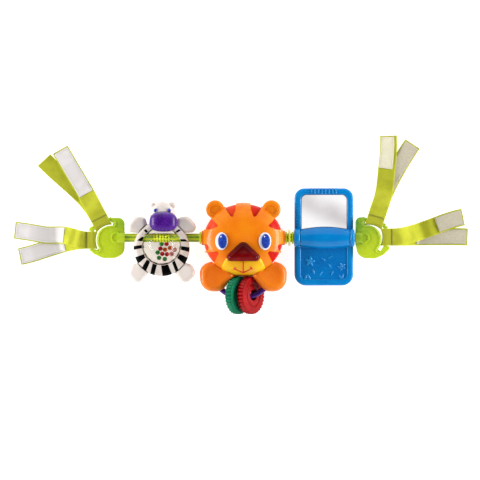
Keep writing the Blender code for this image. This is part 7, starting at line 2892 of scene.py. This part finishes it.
    def mirror(self, shop: Workshop, blue: Finish, raised: Finish, film: Finish) -> None:
        """The mirror flap with its two knuckles and grip ribs, and the mirror in its pocket.

        Args:
            shop: the workshop.
            blue, raised, film: the finishes of the flap, its ridges and the mirror.
        """
        bottom = self.barrel_end - self.flap_tuck
        outline = box_line((self.left, bottom), (self.right, self.mirror_top), self.top_corner,
                           self.mirror_corner)
        tools = [(self.barrel(self.seam), Cut.OFF)]
        for start, end in (self.left_knuckle, self.right_knuckle):
            arm = block((max(start, self.left) + GAP, 0, self.back + GAP),
                        (min(end, self.right) - GAP, self.barrel_middle, self.front - GAP))
            tools.append((arm, Cut.ON))
            tools.append((self.knuckle(start, end), Cut.ON))
        floor = self.front - self.pocket_depth
        sill = bottom + self.sill
        opening = box_line((self.left + self.left_rail, sill),
                           (self.right - self.right_rail, self.mirror_top - self.top_rail), self.top_corner,
                           self.inner_corner)
        tools.append((self.bore(), Cut.OFF))
        shape = carved(self.rimmed(outline, opening, floor), tools)
        shop.put("mirror_flap", shape, (blue,), ("mirror_frame",))
        shop.put("grip_ridges", self.ridges(), (raised,), body=shop.body_of["mirror_frame"])
        low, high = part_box("mirror_plate")
        glass = box_line((low.x, sill + GAP), (high.x, high.y), 0, self.inner_corner, 12)
        plate = carved(prism(glass, low.z, high.z), [(self.barrel(2 * self.seam), Cut.OFF)])
        shop.put("mirror_film", plate, (film,), ("mirror_plate",))

    def ridges(self) -> Shape:
        """Ribs across the top rail and fine cross ridges along both side rails.

        Returns:
            The ridges.
        """
        shapes = []
        middle = (self.left + self.right) / 2
        low = self.mirror_top - self.top_rail + self.rib_inset
        high = self.mirror_top + self.rib_proud - self.ridge_radius
        run = high - self.rib_run - low
        for index in range(self.rib_count):
            x = middle + (index - (self.rib_count - 1) / 2) * self.rib_pitch
            path = [Vector((x, low + run * step / 4, self.front - self.rib_sink)) for step in range(5)]
            path += [Vector((x, high - back * MM, self.front - down * MM)) for back, down in self.rib_bend]
            path.append(Vector((x, high, self.back + self.rib_foot)))
            shapes.append(rope([path], self.ridge_radius))
        for index in range(self.ridge_count):
            y = self.ridge_first + index * self.ridge_pitch
            for x, way in ((self.left + self.ridge_inset, 1), (self.right - self.ridge_inset, -1)):
                path = [Vector((x + way * inward * MM, y, self.front - down * MM))
                        for inward, down in self.ridge_line]
                shapes.append(rope([path], self.ridge_radius))
        return joined(shapes)


# All together

class Palette:
    """Every finish of the toy, made once."""

    def __init__(self, clips: Sequence[Place]) -> None:
        """Makes the finishes.

        Args:
            clips: the end clips' middles.
        """
        self.orange = self.moulded("orange_plastic", (241, 134, 24), (236, 117, 22), 0.22, 0.14, 0.05)
        self.deep_orange = self.moulded("paw_plastic", (244, 128, 32), (236, 114, 30), 0.24, 0.15, 0.05)
        # Painted light: the lens is painted a lighter coral on the lit left and red on the right.
        self.lens = LensPlastic("coral_lens", paint(224, 70, 34), paint(198, 7, 6)).make()
        self.white = self.moulded("white_plastic", (236, 238, 246), (214, 216, 230), 0.22, 0.2)
        self.iris = self.moulded("iris_paint", (44, 78, 178), (30, 48, 140), 0.2, 0.2, drift=1.6 * MM)
        # Painted light on the nose: dark top, bright lower rim.
        self.maroon = GemPlastic("maroon_lens", paint(118, 10, 14), paint(78, 7, 11), paint(176, 30, 32),
                                 -8 * MM, -26 * MM).make()
        self.yellow = self.moulded("yellow_plastic", (242, 190, 22), (230, 164, 20), 0.3, 0.08, 0.05)
        self.red = self.moulded("red_plastic", (172, 11, 20), (140, 8, 15), 0.38, 0.0, 0.0, 0.1)
        self.mouth = self.moulded("mouth_paint", (226, 40, 36), (206, 30, 30), 0.35, 0.2)
        self.green = self.moulded("green_plastic", (0, 116, 80), (0, 88, 64), 0.4, 0.0, 0.0, 0.1)
        self.purple = self.moulded("purple_plastic", (82, 32, 140), (56, 16, 100), 0.24, 0.15)
        self.zebra = self.moulded("zebra_plastic", (219, 209, 202), (208, 195, 185), 0.34, 0.08, 0.06)
        # Painted light: a lighter copy of the zebra white for the back shell's limbs, which render darker in
        # shade.
        self.lightened_limb = self.moulded("limb_plastic", (231, 221, 214), (220, 208, 198), 0.34, 0.08, 0.06)
        self.stripe = self.moulded("stripe_paint", (4, 4, 5), (9, 8, 10), 0.5, 0.0, 0.0, 0.05)
        self.blue_dot = self.moulded("blue_paint", (24, 58, 160), (16, 40, 128), 0.2, 0.6)
        self.clear = ClearPlastic("clear_plastic", (0.96, 0.94, 0.91)).make()
        # Painted shade: the ball's back half is a darker copy of the clear plastic.
        self.shaded_clear = ClearPlastic("clear_back_plastic", (0.72, 0.68, 0.64)).make()
        self.blue = self.moulded("blue_plastic", (0, 131, 203), (0, 118, 192), 0.14, 0.15, 0.0, 0.3)
        self.panel_blue = self.moulded("panel_blue", (0, 120, 192), (0, 108, 182), 0.24, 0.08, 0.0, 0.12)
        # Painted highlight: a lighter copy of the blue for the raised relief and ridges.
        self.raised_blue = self.moulded("raised_blue", (8, 144, 214), (0, 126, 200), 0.2, 0.2, 0.0, 0.35)
        # Painted reflection: bright film with a dim grey band across it.
        self.film = MirrorFilm("mirror_film", paint(246, 244, 245), paint(200, 194, 195),
                               (89 * MM, 31 * MM)).make()
        self.steel = Metal("steel", (0.62, 0.62, 0.64), 0.3, 3 * MM, 0.03 * MM).make()
        self.board = Moulded("circuit_board", (0.02, 0.2, 0.07), (0.01, 0.13, 0.05), 0.4, 0.2).make()
        self.rubber = Moulded("grey_rubber", (0.3, 0.3, 0.3), (0.22, 0.22, 0.22), 0.75, 0.0).make()
        self.black = Moulded("black_plastic", (0.02, 0.02, 0.02), (0.03, 0.03, 0.03), 0.45, 0.1).make()
        # Painted light and shade on the bar: yellow ridges and deep green grooves.
        self.bar = BarPlastic("lime_plastic", paint(226, 238, 52), paint(94, 160, 52)).make()
        lime = paint(190, 212, 48)
        self.clips = [
            ClipPlastic("left_clip_plastic", lime, paint(148, 190, 48), clips[0]).make(),
            ClipPlastic("right_clip_plastic", lime, paint(20, 126, 58), clips[1], -15 * MM, 28 * MM).make()]
        self.cloth = {
            "webbing": Woven("lime_webbing", paint(190, 192, 50), paint(158, 160, 42),
                             paint(206, 212, 46)).make(),
            "patch": Woven("white_patch", paint(232, 227, 226), paint(216, 210, 209), paint(238, 235, 234),
                           0.34, 0.3, 8.2, 0.04 * MM, 0.15).make(),
            "tape": FastenerTape("hook_tape", paint(214, 206, 184), paint(182, 172, 148)).make(),
            "cream": FastenerTape("cream_tape", paint(240, 236, 208), paint(218, 210, 180)).make(),
            "thread": Thread("thread", paint(140, 142, 44), paint(104, 106, 34)).make(),
            "pale_thread": Thread("pale_thread", paint(220, 214, 196), paint(190, 184, 164)).make()}
        self.beads = {
            "green": self.moulded("green_bead", (84, 206, 96), (52, 172, 70), 0.14, 0.2),
            "red": self.moulded("red_bead", (252, 62, 68), (232, 36, 48), 0.14, 0.2),
            "amber": self.moulded("amber_bead", (255, 146, 64), (246, 104, 44), 0.14, 0.2),
            "rose": self.moulded("rose_bead", (252, 182, 188), (242, 118, 136), 0.14, 0.2)}
        self.inside = {"orange": self.orange, "steel": self.steel, "black": self.black, "board": self.board,
                       "rubber": self.rubber}

    @staticmethod
    def moulded(name: str, colour: Paint, shade: Paint, *form: float, **more: float) -> Finish:
        """A moulded plastic from the screen values of its two paints."""
        return Moulded(name, paint(*colour), paint(*shade), *form, **more).make()


def straps() -> tuple[tuple[WebbingStrap, WebbingStrap], tuple[WebbingStrap, WebbingStrap]]:
    """The four straps as they lie, the left pair and the right pair.

    Returns:
        The left pair and the right pair.
    """
    left = (-145.5 * MM, -2.4 * MM)
    right = (136.1 * MM, -1.9 * MM)

    def tips(*places: Place) -> tuple:
        """Places given in millimetres, in metres."""
        return tuple((x * MM, y * MM) for x, y in places)

    left_upper = WebbingStrap(
        "left_upper_strap", left, 117.4, -0.6 * MM, tips((-202.3, 97.4), (-220.2, 86.1)),
        ((-0.50, 0.87), (-0.68, 0.74)), tips((3.8, 3.8), (1.2, 1.2)), 0.0,
        (Sewn("left_upper_front_patch", "front", Layer.PATCH, 55.6 * MM, 1),
         Sewn("left_upper_front_pad", "front", Layer.PAD, 45 * MM, -1),
         Sewn("left_upper_rear_pad", "rear", Layer.PAD, 38 * MM, -1)))
    left_lower = WebbingStrap(
        "left_lower_strap", left, 180.0, -0.2 * MM, tips((-252.6, 8.4), (-247.2, -20.8)),
        ((-0.99, 0.10), (-0.98, -0.19)), tips((3.3, 1.2), (1.2, 1.2)), 26 * MM,
        (Sewn("left_lower_front_patch", "front", Layer.PATCH, 54 * MM, 1),
         Sewn("left_lower_rear_patch", "rear", Layer.PATCH, 50 * MM, 1),
         Sewn("left_lower_front_pad", "front", Layer.PAD, 24 * MM, -1),
         Sewn("left_lower_rear_pad", "rear", Layer.PAD, 50 * MM, -1)), -3.4 * MM, (0.02, 0.32, 2.0 * MM))
    right_upper = WebbingStrap(
        "right_upper_strap", right, 73.2, 2.7 * MM, tips((160.4, 112.9), (187.2, 103.8)),
        ((-0.04, 1.0), (0.55, 0.84)), tips((2.6, 0.0), (0.0, 0.0)), 16 * MM,
        (Sewn("right_upper_front_pad", "front", Layer.PAD, 35 * MM, 1, 1.2 * MM),
         Sewn("right_upper_rear_pad", "rear", Layer.PAD, 55 * MM, 1)), -1.6 * MM, (0.16, 0.60, 0.9 * MM))
    right_lower = WebbingStrap(
        "right_lower_strap", right, 0.0, -2.7 * MM, tips((243.0, 23.0), (248.1, 0.9)),
        ((0.98, 0.20), (1.0, -0.04)), tips((2.6, 2.6), (0.0, 0.0)), 0.0,
        (Sewn("right_lower_front_pad", "front", Layer.PAD, 28.5 * MM, 1),
         Sewn("right_lower_rear_pad", "rear", Layer.PAD, 56 * MM, 1)), 0.0, (0.24, 0.62, 1.0 * MM))
    return (left_upper, left_lower), (right_upper, right_lower)


def end_clips(left_straps: tuple, right_straps: tuple) -> tuple[EndClip, EndClip]:
    """Both end clips.

    Args:
        left_straps, right_straps: each clip's pair of straps.

    Returns:
        The left and the right clip.
    """
    left = EndClip(
        "left_end_clip", Side.LEFT, (-145.5 * MM, -2.4 * MM), -130.5 * MM,
        ((0.60, 0.98), (0.60, -0.58), (0.20, -0.80), (-0.36, -0.80), (-0.74, -0.62), (-1.00, -0.40),
         (-0.97, 0.53), (-0.10, 0.98)),
        (0.28, 0.40, 0.50, 0.50, 0.40, 0.12, 0.12, 0.20), (83.0, 215.0), left_straps)
    right = EndClip(
        "right_end_clip", Side.RIGHT, (136.1 * MM, -1.9 * MM), 123.35 * MM,
        ((-0.51, 0.98), (-0.51, -0.20), (-0.42, -0.62), (-0.18, -0.82), (0.36, -0.84), (0.72, -0.68),
         (1.00, -0.42), (0.93, 0.56), (-0.12, 0.99)),
        (0.24, 0.40, 0.30, 0.40, 0.50, 0.40, 0.14, 0.14, 0.20), (-41.0, 97.0), right_straps)
    return left, right


def main() -> None:
    """Builds the whole toy in order."""
    logging.basicConfig(level=logging.INFO, format="%(message)s")
    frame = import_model()
    Studio().build()
    shop = Workshop(frame)
    left_straps, right_straps = straps()
    clips = end_clips(left_straps, right_straps)
    palette = Palette([clip.centre for clip in clips])
    ToyBar().build(shop, palette.bar)
    for clip, finish in zip(clips, palette.clips):
        clip.build(shop, finish)
    for strap in (*left_straps, *right_straps):
        strap.build(shop, palette.cloth)
    zebra = ZebraRattle()
    zebra.ring(shop, palette.zebra, palette.stripe)
    # The limbs get the lighter copy of the zebra white, painted light.
    zebra.shell(shop, palette.lightened_limb)
    zebra.rattle_ball(shop, palette.clear, palette.shaded_clear, palette.beads)
    zebra.head(shop, palette.zebra, palette.purple, palette.blue_dot)
    tiger = TigerHead()
    tiger.face(shop, palette.orange, palette.lens)
    tiger.eyes(shop, palette.white, palette.iris)
    tiger.nose(shop, palette.maroon)
    tiger.muzzle(shop, palette.yellow, palette.mouth)
    tiger.paws(shop, palette.deep_orange)
    tiger.back(shop, palette.inside)
    RingLoop().build(shop, {"purple": palette.purple, "green": palette.green, "red": palette.red})
    phone = FlipPhone()
    phone.cover(shop, palette.blue, palette.panel_blue, palette.raised_blue)
    phone.mirror(shop, palette.blue, palette.raised_blue, palette.film)
    bpy.context.view_layer.update()


if __name__ == "__main__":
    main()
